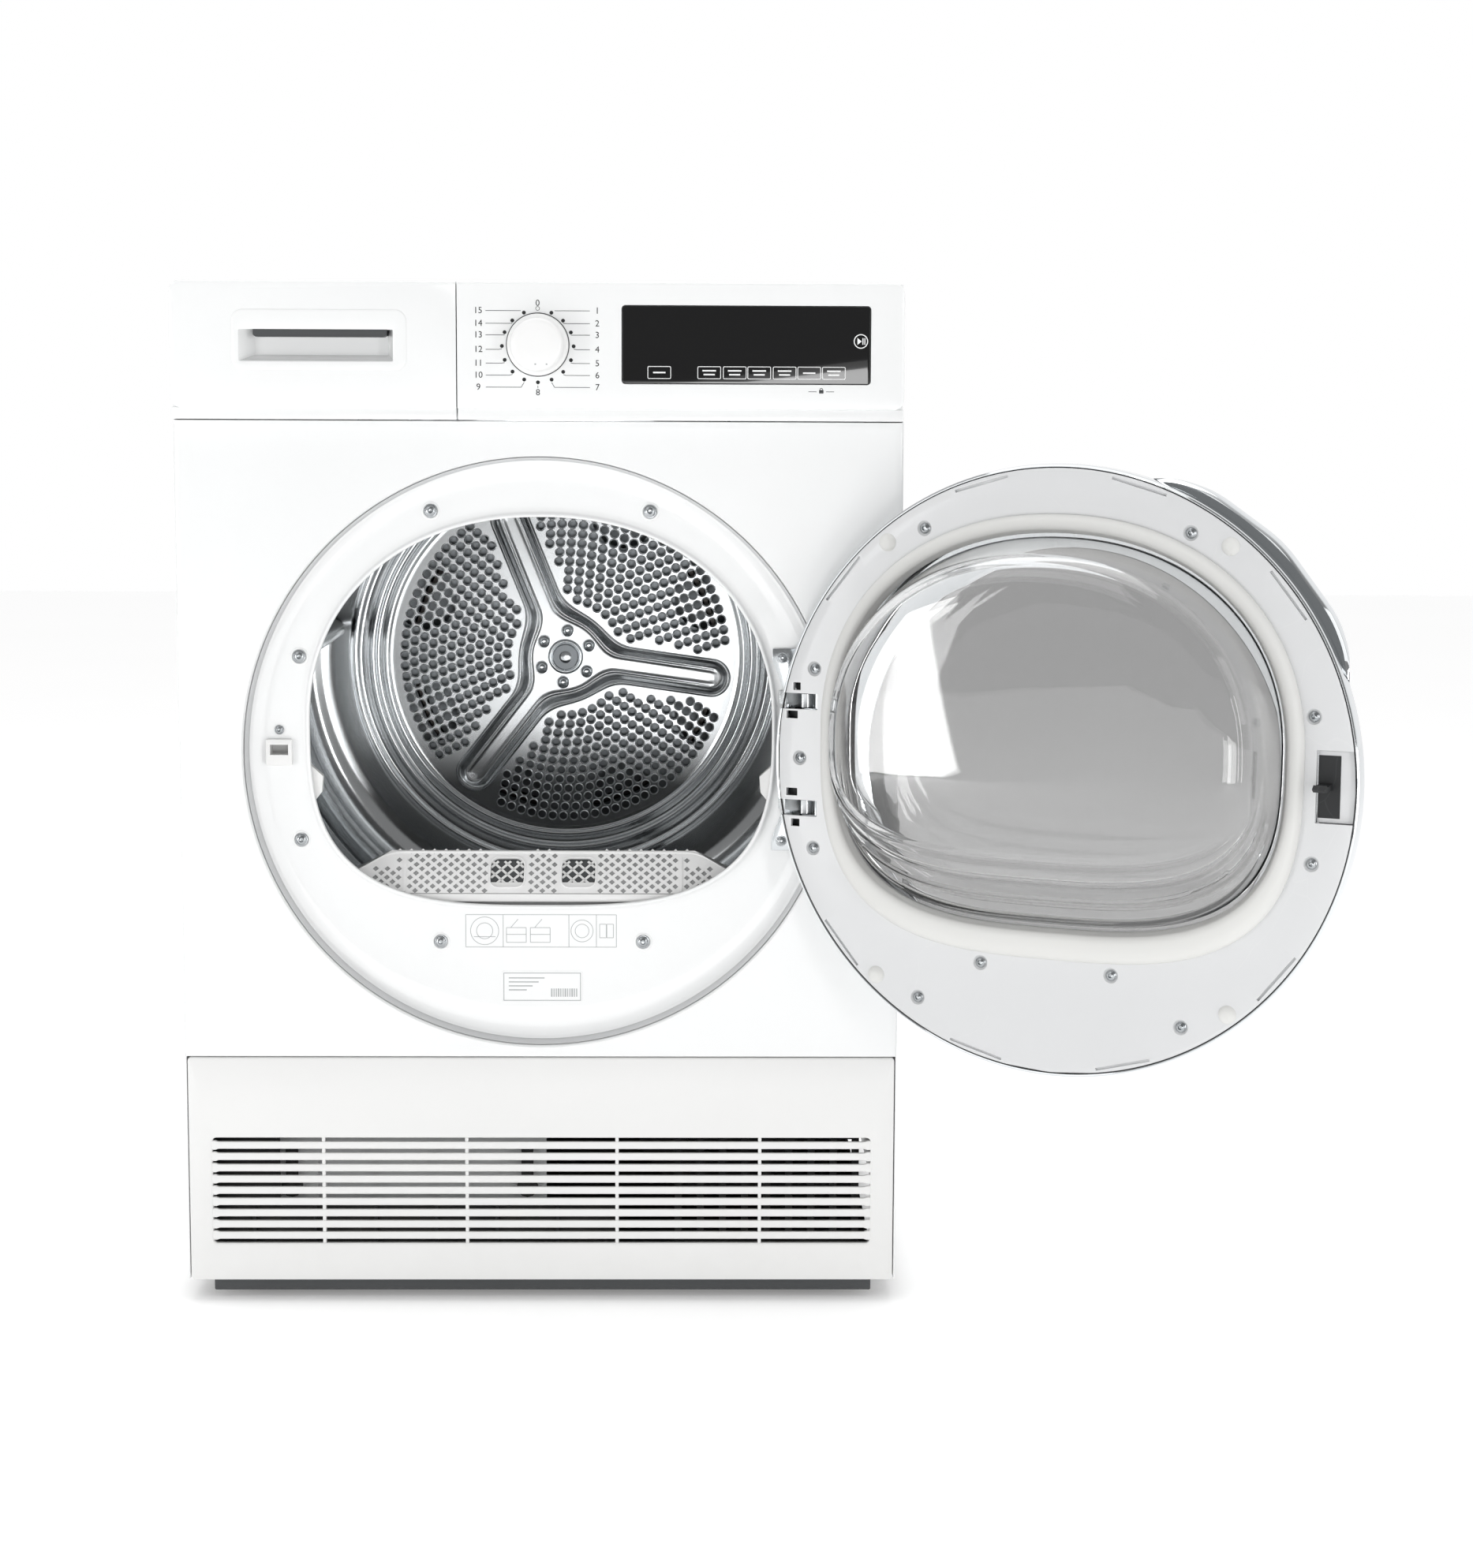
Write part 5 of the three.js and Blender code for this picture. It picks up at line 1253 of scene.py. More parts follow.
    def rear(self) -> None:
        """Finishes the back: panel, dished cover, gland and their screws."""
        self.settle(softened("rear_panel", "rear_panel_skin", 0.35), "cabinet", Look.ENAMEL, "white_enamel",
            "rear_panel")
        self.settle(softened("rear_cover", "rear_cover_skin", 0.5, 3), "cabinet", Look.ZINC, "zinc",
            "rear_cover")
        self.settle(softened("cord_gland", "cord_gland_ring", 0.4), "cabinet", Look.RUBBER, "black_rubber",
            "cord_gland")
        around = [radians(a) for a in (62, 98, 134, 170, 206, 28, 352)]
        spots = [(205.5 * cos(a), 491 + 205.5 * sin(a)) for a in around]
        spots += [(88, 76), (212, 76), (225, 158), (-116, 306), (-40, 190)]
        places = [((x, 276.5, z), (0, 1, 0)) for x, z in spots]
        places += [((x, 275.0, z), (0, 1, 0)) for x in (-288, 288) for z in (60, 240, 420, 600, 780)]
        places += [((x, 275.0, 810), (0, 1, 0)) for x in (-150, 0, 150)]
        made = self.shop.on_points("rear_screws", screw_shape(3.6, 4.6), places, self.materials[Look.SCREW])
        self.settle(made, "cabinet", Look.SCREW, "steel")
        ribs = Draft()
        for r in (120.0, 160.0):
            ribs.lathe([(r - 3, 288.2), (r + 3, 288.2), (r + 2, 288.8), (r, 288.95), (r - 2, 288.8)], 0,
                491, FINE_ROUND)
        self.settle(ribs.piece("rear_cover_beads", 60), "cabinet", Look.ZINC, "zinc")
        plate = Draft().prism(rounded(-265, 640, -205, 680, 3), 275.0, 275.35, 0.1, 1)
        self.settle(plate.piece("rear_plate"), "cabinet", Look.GREY_PRINT, "grey_plastic")

    def insides(self) -> None:
        """Dresses the CAD pieces that stay, from the base tray to the heater."""
        self.dress(Look.DARK, "base_pan", "warm_air_fan", "cooling_fan", "warm_air_housing",
            "cooling_housing", "condensate_pump", "condenser_lever_left", "condenser_lever_right")
        self.dress(Look.RUBBER, "drive_belt")
        self.dress(Look.ZINC, "tank_shelf", "motor", "idler_arm", "drum_spider")
        self.dress(Look.ZINC, "rear_bulkhead")
        self.dress(Look.SCREW, "drum_bearing", "motor_shaft", "idler_wheel")
        self.dress(Look.FELT, "front_drum_seal", "rear_drum_seal")
        self.dress(Look.COPPER, "heating_element")
        self.dress(Look.BOARD, "control_board")
        self.dress(Look.FINS, "condenser")
        self.dress(Look.DOOR_GREY, "condenser_cover", "front_roller_left", "front_roller_right")
        self.dress(Look.PLASTIC, "front_bulkhead")


@dataclass
class Inking:
    """Thin printed lines on a front face."""

    y: float
    width: float = 0.5
    rise: float = 0.12
    draft: Draft = field(default_factory=Draft)

    def bar(self, x0: float, z0: float, x1: float, z1: float, r: float = 0.1) -> None:
        """Prints a filled bar."""
        self.draft.prism(rounded(x0, z0, x1, z1, r, 2), self.y - self.rise, self.y + 0.05)

    def dot(self, x: float, z: float, r: float) -> None:
        """Prints a filled dot."""
        self.draft.prism(circle(r, x, z, SMALL_ROUND), self.y - self.rise, self.y + 0.05)

    def shape(self, outline: Sequence[Flat]) -> None:
        """Prints a filled outline, given counterclockwise."""
        self.draft.prism(outline, self.y - self.rise, self.y + 0.05)

    def line(self, start: Flat, end: Flat, width: Optional[float] = None) -> None:
        """Prints a straight line.

        Args:
            start: where it starts.
            end: where it ends.
            width: its width, as the pen's if left out.
        """
        way = Vector(end) - Vector(start)
        side = Vector((-way.y, way.x)).normalized() * (width or self.width) / 2
        a, b = Vector(start), Vector(end)
        self.shape([tuple(a - side), tuple(b - side), tuple(b + side), tuple(a + side)])

    def ring(self, x: float, z: float, r: float, width: Optional[float] = None) -> None:
        """Prints a circle."""
        self.loop(circle(r, x, z, 48), circle(r - (width or self.width), x, z, 48))

    def frame(self, x0: float, z0: float, x1: float, z1: float, r: float) -> None:
        """Prints the outline of a rounded rectangle."""
        outer = rounded(x0, z0, x1, z1, r, 4)
        self.loop(outer, inset(outer, self.width))

    def loop(self, outer: Sequence[Flat], inner: Sequence[Flat]) -> None:
        """Prints the band between two outlines."""
        top, low = self.y - self.rise, self.y + 0.05
        self.draft.skin([at_depth(outer, low), at_depth(outer, top), at_depth(inner, top),
            at_depth(inner, low)], closed=True)


@dataclass
class Drum(SubAssembly):
    """Stainless drum with its beaded wall, pressed and punched back, lifters and hub."""

    z: float = 491.0
    inner: float = 279.6
    outer: float = 281.4
    mouth: float = 262.0
    y0: float = -226.0
    back: float = 234.0
    sheet_r: float = 170.0
    hole: float = 3.7
    pitch: float = 10.6
    arm_half: float = 17.0
    arm_reach: float = 146.0
    hub: float = 44.0
    press: float = 5.0
    arm_turns: tuple = (112.0, 232.0, 352.0)
    lifter_turns: tuple = (52.0, 172.0, 292.0)

    def build(self) -> None:
        """Makes every piece of the drum."""
        self.shell()
        self.punched_back()
        self.pressed_star()
        self.hub_pieces()
        self.lifters()

    def shell(self) -> None:
        """Turns the wall with its rolled beads, the rounded rear corner and the stepped rim."""
        inside = [(r, self.back + y) for r, y in ((self.sheet_r - 1, 0), (173, 0), (175.5, -1.6),
            (178.5, -1.6), (181, 0.6), (186, 1.2), (188.5, -2.4), (192, -2.4), (195, 1.4), (203, 2.0),
            (206, -0.6), (210, -0.6), (213, 1.6), (232, 1.2))]
        for k in range(1, 8):
            a = radians(90 * k / 8)
            inside.append((232 + 46 * sin(a), self.back + 1.2 - 46 * (1 - cos(a))))
        inside = arc_profile(inside, 2.5, 3)
        wall = []
        for k in range(101):
            y = 184 - 4 * k
            bead = sum(exp(-((y - spot) / 9) ** 2) for spot in (150, 112, 20, -20, -120, -160))
            wall.append((self.inner - 0.4 - 3.2 * min(1.0, bead), y))
        front = [(self.inner - 0.5, self.y0 + 4), (self.inner - 3, self.y0 + 1.6),
            (self.mouth + 2, self.y0 + 1.4), (self.mouth, self.y0 + 0.7), (self.mouth + 2, self.y0 + 0.05),
            (self.outer - 1, self.y0 + 0.05), (self.outer, self.y0 + 1)]
        outside = [(self.outer, 190.0), (self.outer, 235.5), (self.sheet_r - 1, self.back + 3.6)]
        profile = inside + wall + front + outside
        made = Draft().lathe(profile, 0, self.z, 144).piece("drum_wall", 40)
        self.settle(made, "drum", Look.DRUM_STEEL, "steel", "drum_shell")

    def distance(self, x: float, z: float, reach: Optional[float] = None) -> float:
        """Measures how far a point lies outside the pressed star.

        Args:
            x: the point across.
            z: the point upwards, from the drum's middle.
            reach: length of the arms, as built if left out.

        Returns:
            The distance, negative inside.
        """
        found = hypot(x, z) - self.hub
        for turn in self.arm_turns:
            a = radians(turn)
            along = x * cos(a) + z * sin(a)
            across = -x * sin(a) + z * cos(a)
            past = max(0.0, along - (reach or self.arm_reach)) if along > 0 else along
            arm = hypot(across, past) - self.arm_half
            soft = 22.0
            t = max(0.0, min(1.0, 0.5 + 0.5 * (arm - found) / soft))
            found = arm + (found - arm) * t - soft * t * (1 - t)
        return found

    def star_outline(self, offset: float, count: int = 480) -> list[Flat]:
        """Finds the star's outline with its points evenly spread.

        Args:
            offset: how far outside the pressed edge.
            count: how many points.

        Returns:
            The outline from the drum's middle, counterclockwise.
        """
        dense = []
        for k in range(2880):
            a = 2 * pi * k / 2880
            low, high = 5.0, 200.0
            for _ in range(22):
                r = (low + high) / 2
                if self.distance(r * cos(a), r * sin(a)) > offset:
                    high = r
                else:
                    low = r
            dense.append(Vector((low * cos(a), low * sin(a))))
        lengths = [0.0]
        for a, b in zip(dense, dense[1:] + dense[:1]):
            lengths.append(lengths[-1] + (b - a).length)
        outline, at = [], 0
        for k in range(count):
            target = lengths[-1] * k / count
            while lengths[at + 1] < target:
                at += 1
            t = (target - lengths[at]) / max(1e-9, lengths[at + 1] - lengths[at])
            spot = dense[at].lerp(dense[(at + 1) % len(dense)], t)
            outline.append((spot.x, spot.y))
        return outline

    def hole_places(self) -> list[Flat]:
        """Places the holes on arcs that run round between the arms.

        Returns:
            Their middles, from the drum's middle.
        """
        places = []
        for turn in self.arm_turns:
            middle = radians(turn + 60)
            for row in range(-12, 13):
                for column in range(2, 17):
                    r = column * self.pitch * 0.866 + 12.0
                    across = (row + 0.5 * (column % 2)) * self.pitch
                    a = middle + across / r
                    x, z = r * cos(a), r * sin(a)
                    if r < 161 and abs(across / r) < radians(62) and self.distance(x, z) > 9.0:
                        places.append((x, z))
        return places

    def punched_back(self) -> None:
        """Punches the back sheet and rolls a rim round each hole; the rims' shape is real, their lighter
        steel is painted highlight.
        """
        holes = self.hole_places()
        star = self.star_outline(1.0)
        sheet = self.shop.sheet("drum_back_sheet", [circle(self.sheet_r, 0, 0, 144), star],
            [(x, z, 0.0) for x, z in holes], self.materials[Look.PRESSED_STEEL],
            Hole_Radius=(self.hole + 0.35) * MM, Hole_Sides=12, Thickness=0.9 * MM,
            Lift=(0, (self.back + 1.2) * MM, self.z * MM), Tilt=(radians(90), 0, 0))
        self.settle(sheet, "drum", Look.PRESSED_STEEL, "steel", "drum_back")
        rim = [(self.hole + 1.25, 0.0), (self.hole + 0.95, 0.7), (self.hole + 0.5, 0.95), (self.hole, 0.45),
            (self.hole - 0.05, -1.6)]
        collar = Draft().lathe([(r, -y) for r, y in rim], 0, 0, 14, closed=False)
        collar.placed(Matrix.Rotation(radians(-90), 4, "X"))
        places = [((x, self.back + 0.28, self.z + z), (0, -1, 0)) for x, z in holes]
        made = self.shop.on_points("drum_back_rims", collar, places, self.materials[Look.ROLLED_RIM],
            turn=0.0)
        self.settle(made, "drum", Look.ROLLED_RIM, "steel")
        logger.info("%d holes in the drum's back", len(holes))

    def depth(self, d: float) -> float:
        """Gives how deep the star is pressed at a distance from its edge.

        Args:
            d: the distance, negative inside.

        Returns:
            The depth behind the sheet.
        """
        bead = -0.9 * exp(-((d - 0.2) / 1.3) ** 2)
        fall = max(0.0, min(1.0, (-d - 1.5) / 6.5))
        floor_bead = -0.8 * exp(-((d + 9.8) / 1.4) ** 2)
        return bead + floor_bead + self.press * fall * fall * (3 - 2 * fall)

    def pressed_star(self) -> None:
        """Presses the three-armed star into the middle of the back."""
        edge = self.star_outline(2.2)
        rings, steps = [], 64
        for k in range(steps + 1):
            t = 1 - k / steps
            t = t ** 1.15
            ring = []
            for x, z in edge:
                px, pz = x * t, z * t
                ring.append((px, self.back + 0.15 + self.depth(self.distance(px, pz)), self.z + pz))
            rings.append(ring)
        skin = Draft().skin(rings, caps=False).piece("drum_back_star", 60, shell=True)
        self.settle(thickened(skin, 0.8), "drum", Look.PRESSED_STEEL, "steel")

    def hub_pieces(self) -> None:
        """Makes the domed hub cap and the ring of six bolts."""
        y = self.back + self.press
        cap = [(r, y + d) for r, d in ((0.0, -6.6), (4.0, -6.4), (8.0, -5.6), (11.0, -4.2), (13.0, -2.6),
            (13.8, -1.0), (14.6, -1.8), (16.4, -1.6), (17.4, -0.2), (17.4, 1.4), (0.0, 1.4))]
        made = Draft().lathe(arc_profile(cap, 1.2, 3), 0, self.z, 72, closed=False).piece("drum_hub_cap", 45)
        self.settle(made, "drum", Look.POLISHED, "chrome")
        bolts = []
        for k in range(6):
            a = radians(25 + 60 * k)
            bolts.append(((25.7 * cos(a), y + 0.6, self.z + 25.7 * sin(a)), (0, -1, 0)))
        made = self.shop.on_points("drum_hub_bolts", screw_shape(4.8, 7.0), bolts,
            self.materials[Look.POLISHED])
        self.settle(made, "drum", Look.POLISHED, "chrome")

    def lifters(self) -> None:
        """Forms the three lifters with rounded noses."""
        for k, turn in enumerate(self.lifter_turns):
            rings = []
            for y, low, side in ((-207.6, 40, 0.42), (-205, 24, 0.62), (-198, 10, 0.82), (-186, 3, 0.95),
                    (-165, 0, 1.0), (-60, 0, 1.0), (60, 0, 1.0), (170, 0, 1.0), (205, 4, 0.95),
                    (223.5, 10, 0.9)):
                shape = arc_profile([(277.8, -22.5 * side), (266, -17.5 * side), (222 + low, -8 * side),
                    (213 + low, -3 * side), (213 + low, 3 * side), (222 + low, 8 * side),
                    (266, 17.5 * side), (277.8, 22.5 * side)], 6, 3)
                rings.append([(r, y, t) for r, t in shape])
            draft = Draft().skin(rings)
            draft.placed(Matrix.Translation((0, 0, self.z)) @ Matrix.Rotation(radians(-turn), 4, "Y"))
            made = draft.piece(f"lifter_{k + 1}_skin", 50)
            self.settle(made, "drum", Look.DRUM_STEEL, "steel", f"lifter_{k + 1}")


@dataclass
class LintFilter(SubAssembly):
    """Filter head in the opening: sloping lattice, two finger wells with dark windows."""

    top: float = 364.6
    low: float = 331.0
    front: float = -251.2
    back: float = -222.4
    half: float = 157.0
    flat_half: float = 128.0
    wells: tuple = (-30.0, 30.0)
    well_half: float = 14.0
    lattice: float = 9.7
    bar_pitch: float = 10.3

    def build(self) -> None:
        """Makes the lattice, the wells and the frame."""
        self.dress(Look.FILTER_GREY, "lint_filter")
        rise, run = self.top - self.low, self.back - self.front
        slope = hypot(rise, run)
        outline = [(-self.half, 2.0), (self.half, 2.0), (self.half, slope * 0.55),
            (self.half - 10, slope * 0.7), (self.flat_half, slope), (-self.flat_half, slope),
            (10 - self.half, slope * 0.7), (-self.half, slope * 0.55)]
        gaps = [rounded(x - self.well_half, 8.0, x + self.well_half, 37.0, 7.0, 4) for x in self.wells]
        holes = []
        for row in range(10):
            for k in range(-17, 18):
                x = (k + 0.5 * (row % 2)) * self.lattice
                v = 4.5 + 4.3 * row
                if any(abs(x - w) < self.well_half + 4.2 and v > 4 for w in self.wells):
                    continue
                limit = self.flat_half if v > slope * 0.6 else self.half - 8
                if abs(x) > limit - 6 or abs(abs(x) - 116) < 3.5:
                    continue
                holes.append((x, v, 0.0))
        tilt = atan2(rise, run)
        made = self.shop.sheet("filter_lattice", [outline, *gaps], holes, self.materials[Look.PLASTIC],
            Hole_Radius=2.7 * MM, Hole_Sides=4, Thickness=0.9 * MM,
            Lift=(0, (self.front - 0.2) * MM, (self.low + 0.9) * MM), Tilt=(tilt, 0, 0))
        self.settle(made, "filter", Look.KNOB_WHITE, "white_plastic")
        self.lip(slope, tilt)
        self.windows(tilt)

    def on_slope(self, draft: Draft, tilt: float) -> Draft:
        """Lays a draft drawn flat, facing +Z, on the filter's slope."""
        lift = Matrix.Translation((0, self.front - 0.2, self.low + 0.9))
        return draft.placed(lift @ Matrix.Rotation(tilt, 4, "X"))

    def lip(self, slope: float, tilt: float) -> None:
        """Rolls the rounded lip along the top and the hooded rims of the wells.

        Args:
            slope: length of the slope.
            tilt: its angle.
        """
        path = [(-self.half, slope * 0.55), (10 - self.half, slope * 0.7), (-self.flat_half, slope),
            (self.flat_half, slope), (self.half - 10, slope * 0.7), (self.half, slope * 0.55)]
        path = arc_profile(path, 9, 4)
        draft = Draft()
        rings = []
        for k, (x, v) in enumerate(path):
            before, after = Vector(path[max(0, k - 1)]), Vector(path[min(len(path) - 1, k + 1)])
            way = (after - before).normalized()
            ring = []
            for j in range(10):
                a = 2 * pi * j / 10
                off = 1.5 * cos(a) - 1.6
                ring.append((x - way.y * off * -1, v + way.x * off, 0.5 + 1.1 * sin(a)))
            rings.append(ring)
        draft.skin(rings)
        for x in self.wells:
            outer = rounded(x - self.well_half - 1.6, 6.6, x + self.well_half + 1.6, 38.4, 8.4, 5)
            inner = rounded(x - self.well_half + 0.2, 8.2, x + self.well_half - 0.2, 36.8, 6.8, 5)
            draft.skin(at_height(outer, 0.2) + at_height(inset(outer, 0.5), 1.7)
                + at_height(inset(inner, -0.4), 1.7) + at_height(inner, -1.5), closed=True)
        for x in (-116.0, 116.0):
            bar = [(x + a, b) for a, b in rounded(-1.1, 3, 1.1, slope * 0.86, 1.0, 3)]
            draft.skin(at_height(bar, 0.2, 1.9))
        made = self.on_slope(draft, tilt).block((-148, -251.9, 326.9), (148, -251.0, 333.4), 0.3)
        made = made.piece("filter_rims", 50)
        self.settle(made, "filter", Look.KNOB_WHITE, "white_plastic")

    def windows(self, tilt: float) -> None:
        """Fits the dark screen windows and their white diagonal bars in the wells.

        Args:
            tilt: angle of the slope.
        """
        panes, bars = Draft(), Draft()
        for x in self.wells:
            panes.skin(at_height(rounded(x - 13.6, 8.4, x + 13.6, 36.6, 6.6, 4), -2.6, -1.4))
            for way in (-1, 1):
                for k in range(-4, 5):
                    middle = Vector((x + self.bar_pitch * k, 21.5))
                    reach = Vector((way * 0.707, 0.707))
                    low, high = -30.0, 30.0
                    for axis, least, most in ((0, x - 13.6, x + 13.6), (1, 12.6, 34.4)):
                        a, b = ((edge - middle[axis]) / reach[axis] for edge in (least, most))
                        low, high = max(low, min(a, b)), min(high, max(a, b))
                    if high - low < 3:
                        continue
                    side = Vector((-reach.y, reach.x)) * 0.95
                    ends = [middle + reach * low - side, middle + reach * high - side,
                        middle + reach * high + side, middle + reach * low + side]
                    bars.skin(at_height(ends, -1.8, -0.7))
            bars.skin(at_height(rounded(x - 13.8, 8.2, x + 13.8, 13.0, 0.6, 2), -1.8, 0.3))
        self.settle(self.on_slope(panes, tilt).piece("filter_screen_windows"), "filter", Look.GREY_PRINT,
            "dark_plastic")
        self.settle(self.on_slope(bars, tilt).piece("filter_window_bars"), "filter", Look.PLASTIC,
            "white_plastic")


@dataclass
class Console(SubAssembly):
    """Fascia with display, knob and marks, and the tank drawer's front."""

    y: float = -290.0
    low: float = 737.0
    high: float = 839.0
    strip: float = 728.0
    strip_depth: float = 4.5
    left: float = -296.5
    right: float = 296.5
    seam: float = -65.6
    knob_z: float = 788.5
    display: tuple = (68.0, 757.8, 268.5, 820.0)
    grip: tuple = (-240.5, 774.7, -116.7, 799.9)
    dots: int = 16

    def build(self) -> None:
        """Makes every piece of the console."""
        self.fascia()
        self.drawer()
        self.knob()
        self.window()
        self.scale()

    def shell_outline(self, x0: float, x1: float, round_left: bool, by: float = 0.0) -> list[Flat]:
        """Gives a console half's outline, round at the outer end and square at the seam.

        Args:
            x0: left edge.
            x1: right edge.
            round_left: whether the left end is the outer one.
            by: how far the edges are moved in, hardly at the seam.

        Returns:
            The outline, counterclockwise.
        """
        outer, square = 9.0 - by, 0.5
        low, high = self.low + by, self.high - by
        x0 += by if round_left else by * 0.12
        x1 -= by * 0.12 if round_left else by
        points = []
        for x, z, start, left in ((x1, high, 0, False), (x0, high, 90, True), (x0, low, 180, True),
                (x1, low, 270, False)):
            r = outer if left == round_left else square
            cx = x + (r if left else -r)
            cz = z + (-r if start in (0, 90) else r)
            for k in range(9):
                a = radians(start + 90 * k / 8)
                points.append((cx + r * cos(a), cz + r * sin(a)))
        return points

    def body(self, name: str, x0: float, x1: float, round_left: bool, back: float) -> Object:
        """Makes one half of the console with its shadow strip.

        Args:
            name: the piece's name.
            x0: left edge.
            x1: right edge.
            round_left: whether the left end is the outer one.
            back: its back depth.

        Returns:
            The piece.
        """
        rings = [at_depth(self.shell_outline(x0, x1, round_left, by), self.y + y) for by,
            y in ((2.9, 0.0), (1.9, 0.12), (1.0, 0.5), (0.35, 1.2), (0.0, 2.3))]
        rings.append(at_depth(self.shell_outline(x0, x1, round_left), back))
        return Draft().skin(rings).piece(name, 50)

    def strip_below(self, name: str, x0: float, x1: float, back: float) -> Object:
        """Makes the set-back strip under one half of the console.

        Args:
            name: the piece's name.
            x0: left edge.
            x1: right edge.
            back: its back depth.

        Returns:
            The piece.
        """
        low = self.y + self.strip_depth
        draft = Draft().block((x0 + 0.2, low, self.strip), (x1 - 0.2, back, self.low + 0.4), 0.8)
        draft.block((x0 + 0.6, low + 2.4, self.low - 4), (x1 - 0.6, back - 4, self.low + 3.0), 0.4)
        return draft.piece(name, 50)

    def fascia(self) -> None:
        """Makes the right-hand fascia with the display's recess."""
        made = self.body("console_fascia_shell", self.seam + 0.35, self.right, False, -258.3)
        strip = self.strip_below("console_strip_right", self.seam + 0.35, self.right, -262.0)
        self.settle(strip, "cabinet", Look.CONSOLE_WHITE, "white_plastic")
        x0, z0, x1, z1 = self.display
        carved(made, Draft().prism(rounded(x0 - 0.5, z0 - 0.5, x1 + 0.5, z1 + 0.5, 3.2, 5), self.y - 5,
            -281.0))
        self.settle(made, "cabinet", Look.CONSOLE_WHITE, "white_plastic", "console_fascia")

    def drawer(self) -> None:
        """Makes the tank drawer's front with its raised rim, finger recess and slot, the slot darkened with
        painted shade.
        """
        made = self.body("tank_front_shell", self.left, self.seam - 0.35, True, -264.3)
        strip = self.strip_below("console_strip_left", self.left, self.seam - 0.35, -266.0)
        self.settle(strip, "tank_drawer", Look.CONSOLE_WHITE, "white_plastic")
        x0, z0, x1, z1 = self.grip
        mouth = [(x0, z0), (x1, z0), (x1, z1), (x0, z1)]
        floor = [(x0 + 11, z0 + 5), (x1 - 5, z0 + 5), (x1 - 5, z1 - 0.2), (x0 + 11, z1 - 0.2)]
        scoop = Draft().skin([at_depth(mouth, self.y - 1.5), at_depth(mouth, self.y + 0.2),
            at_depth(floor, self.y + 14)])
        slot = Draft().skin([at_depth([(x0 + 11, z1 - 5.0), (x1 - 5, z1 - 5.0), (x1 - 5, z1 + 0.4),
            (x0 + 11, z1 + 0.4)], y) for y in (self.y - 1.5, self.y + 16)])
        carved(made, scoop)
        carved(made, slot)
        self.settle(made, "tank_drawer", Look.CONSOLE_WHITE, "white_plastic", "tank_front")
        outer = rounded(x0 - 6, 767.7, x1 + 11, 815.9, 9, 8)
        inner = rounded(x0 - 0.1, z0 - 0.1, x1 + 0.1, z1 + 0.1, 1.2, 8)
        rim = Draft().skin(stepped(outer, self.y, ((0, 0.3), (0, -0.2), (0.5, -0.62), (1.5, -0.75)))
            + stepped(inner, self.y, ((-1.0, -0.75), (-0.3, -0.6), (0, -0.1), (0, 0.3))), closed=True)
        self.settle(rim.piece("tank_grip_rim", 60), "tank_drawer", Look.CONSOLE_WHITE, "white_plastic")
        # A grey prism filling the finger slot: painted shade inside it.
        shade = Draft().prism([(x0 + 11.2, z1 - 4.4), (x0 + 13.4, z1 - 6.0), (x1 - 7.4, z1 - 6.0),
            (x1 - 5.2, z1 - 4.4), (x1 - 5.2, z1 + 0.2), (x0 + 11.2, z1 + 0.2)], self.y + 0.9, self.y + 15.5)
        self.settle(shade.piece("tank_grip_shade"), "tank_drawer", Look.GREY_PRINT, "grey_plastic")
        self.settle(softened("water_tank", "water_tank_skin", 0.6), "tank_drawer", Look.FILTER_GREY,
            "grey_plastic", "water_tank")
        self.settle(softened("tank_lid", "tank_lid_skin", 0.5), "tank_drawer", Look.PLASTIC,
            "white_plastic", "tank_lid")

    def knob(self) -> None:
        """Turns the programme knob: softly crowned face, long side and flared foot, with a ring of painted
        shadow round it.
        """
        y = self.y - 1.0
        profile = [(r, y + d) for r, d in ((0.0, -19.9), (10, -19.85), (17.6, -19.5), (19.6, -18.9),
            (20.7, -17.6), (21.0, -16.0), (21.9, -7.5), (22.6, -5.2), (23.8, -3.8), (24.6, -2.8),
            (24.8, -1.6), (24.8, -0.1), (21.0, 0.2), (0.0, 0.2))]
        draft = Draft().lathe(arc_profile(profile, 1.4, 4), 0, self.knob_z, 128, closed=False)
        self.settle(draft.piece("program_knob_turned", 60), "knob", Look.KNOB_WHITE, "white_plastic",
            "program_knob")
        pointer = Inking(y - 19.72, 0.8, 0.16)
        for x in (-1.0, 8.0):
            pointer.bar(x - 0.7, self.knob_z - 16.4, x + 0.7, self.knob_z - 15.2, 0.3)
        # A thin grey ring on the fascia round the knob's foot: painted shadow.
        painted_shade_piece = Draft().lathe([(24.9, self.y - 0.35), (25.6, self.y - 0.3), (25.6, self.y + 0.1),
            (24.9, self.y + 0.1)], 0, self.knob_z, 96)
        self.settle(pointer.draft.piece("knob_pointer"), "knob", Look.PALE_PRINT, "grey_plastic")
        self.settle(painted_shade_piece.piece("knob_shadow_ring"), "cabinet", Look.GREY_PRINT, "grey_plastic")

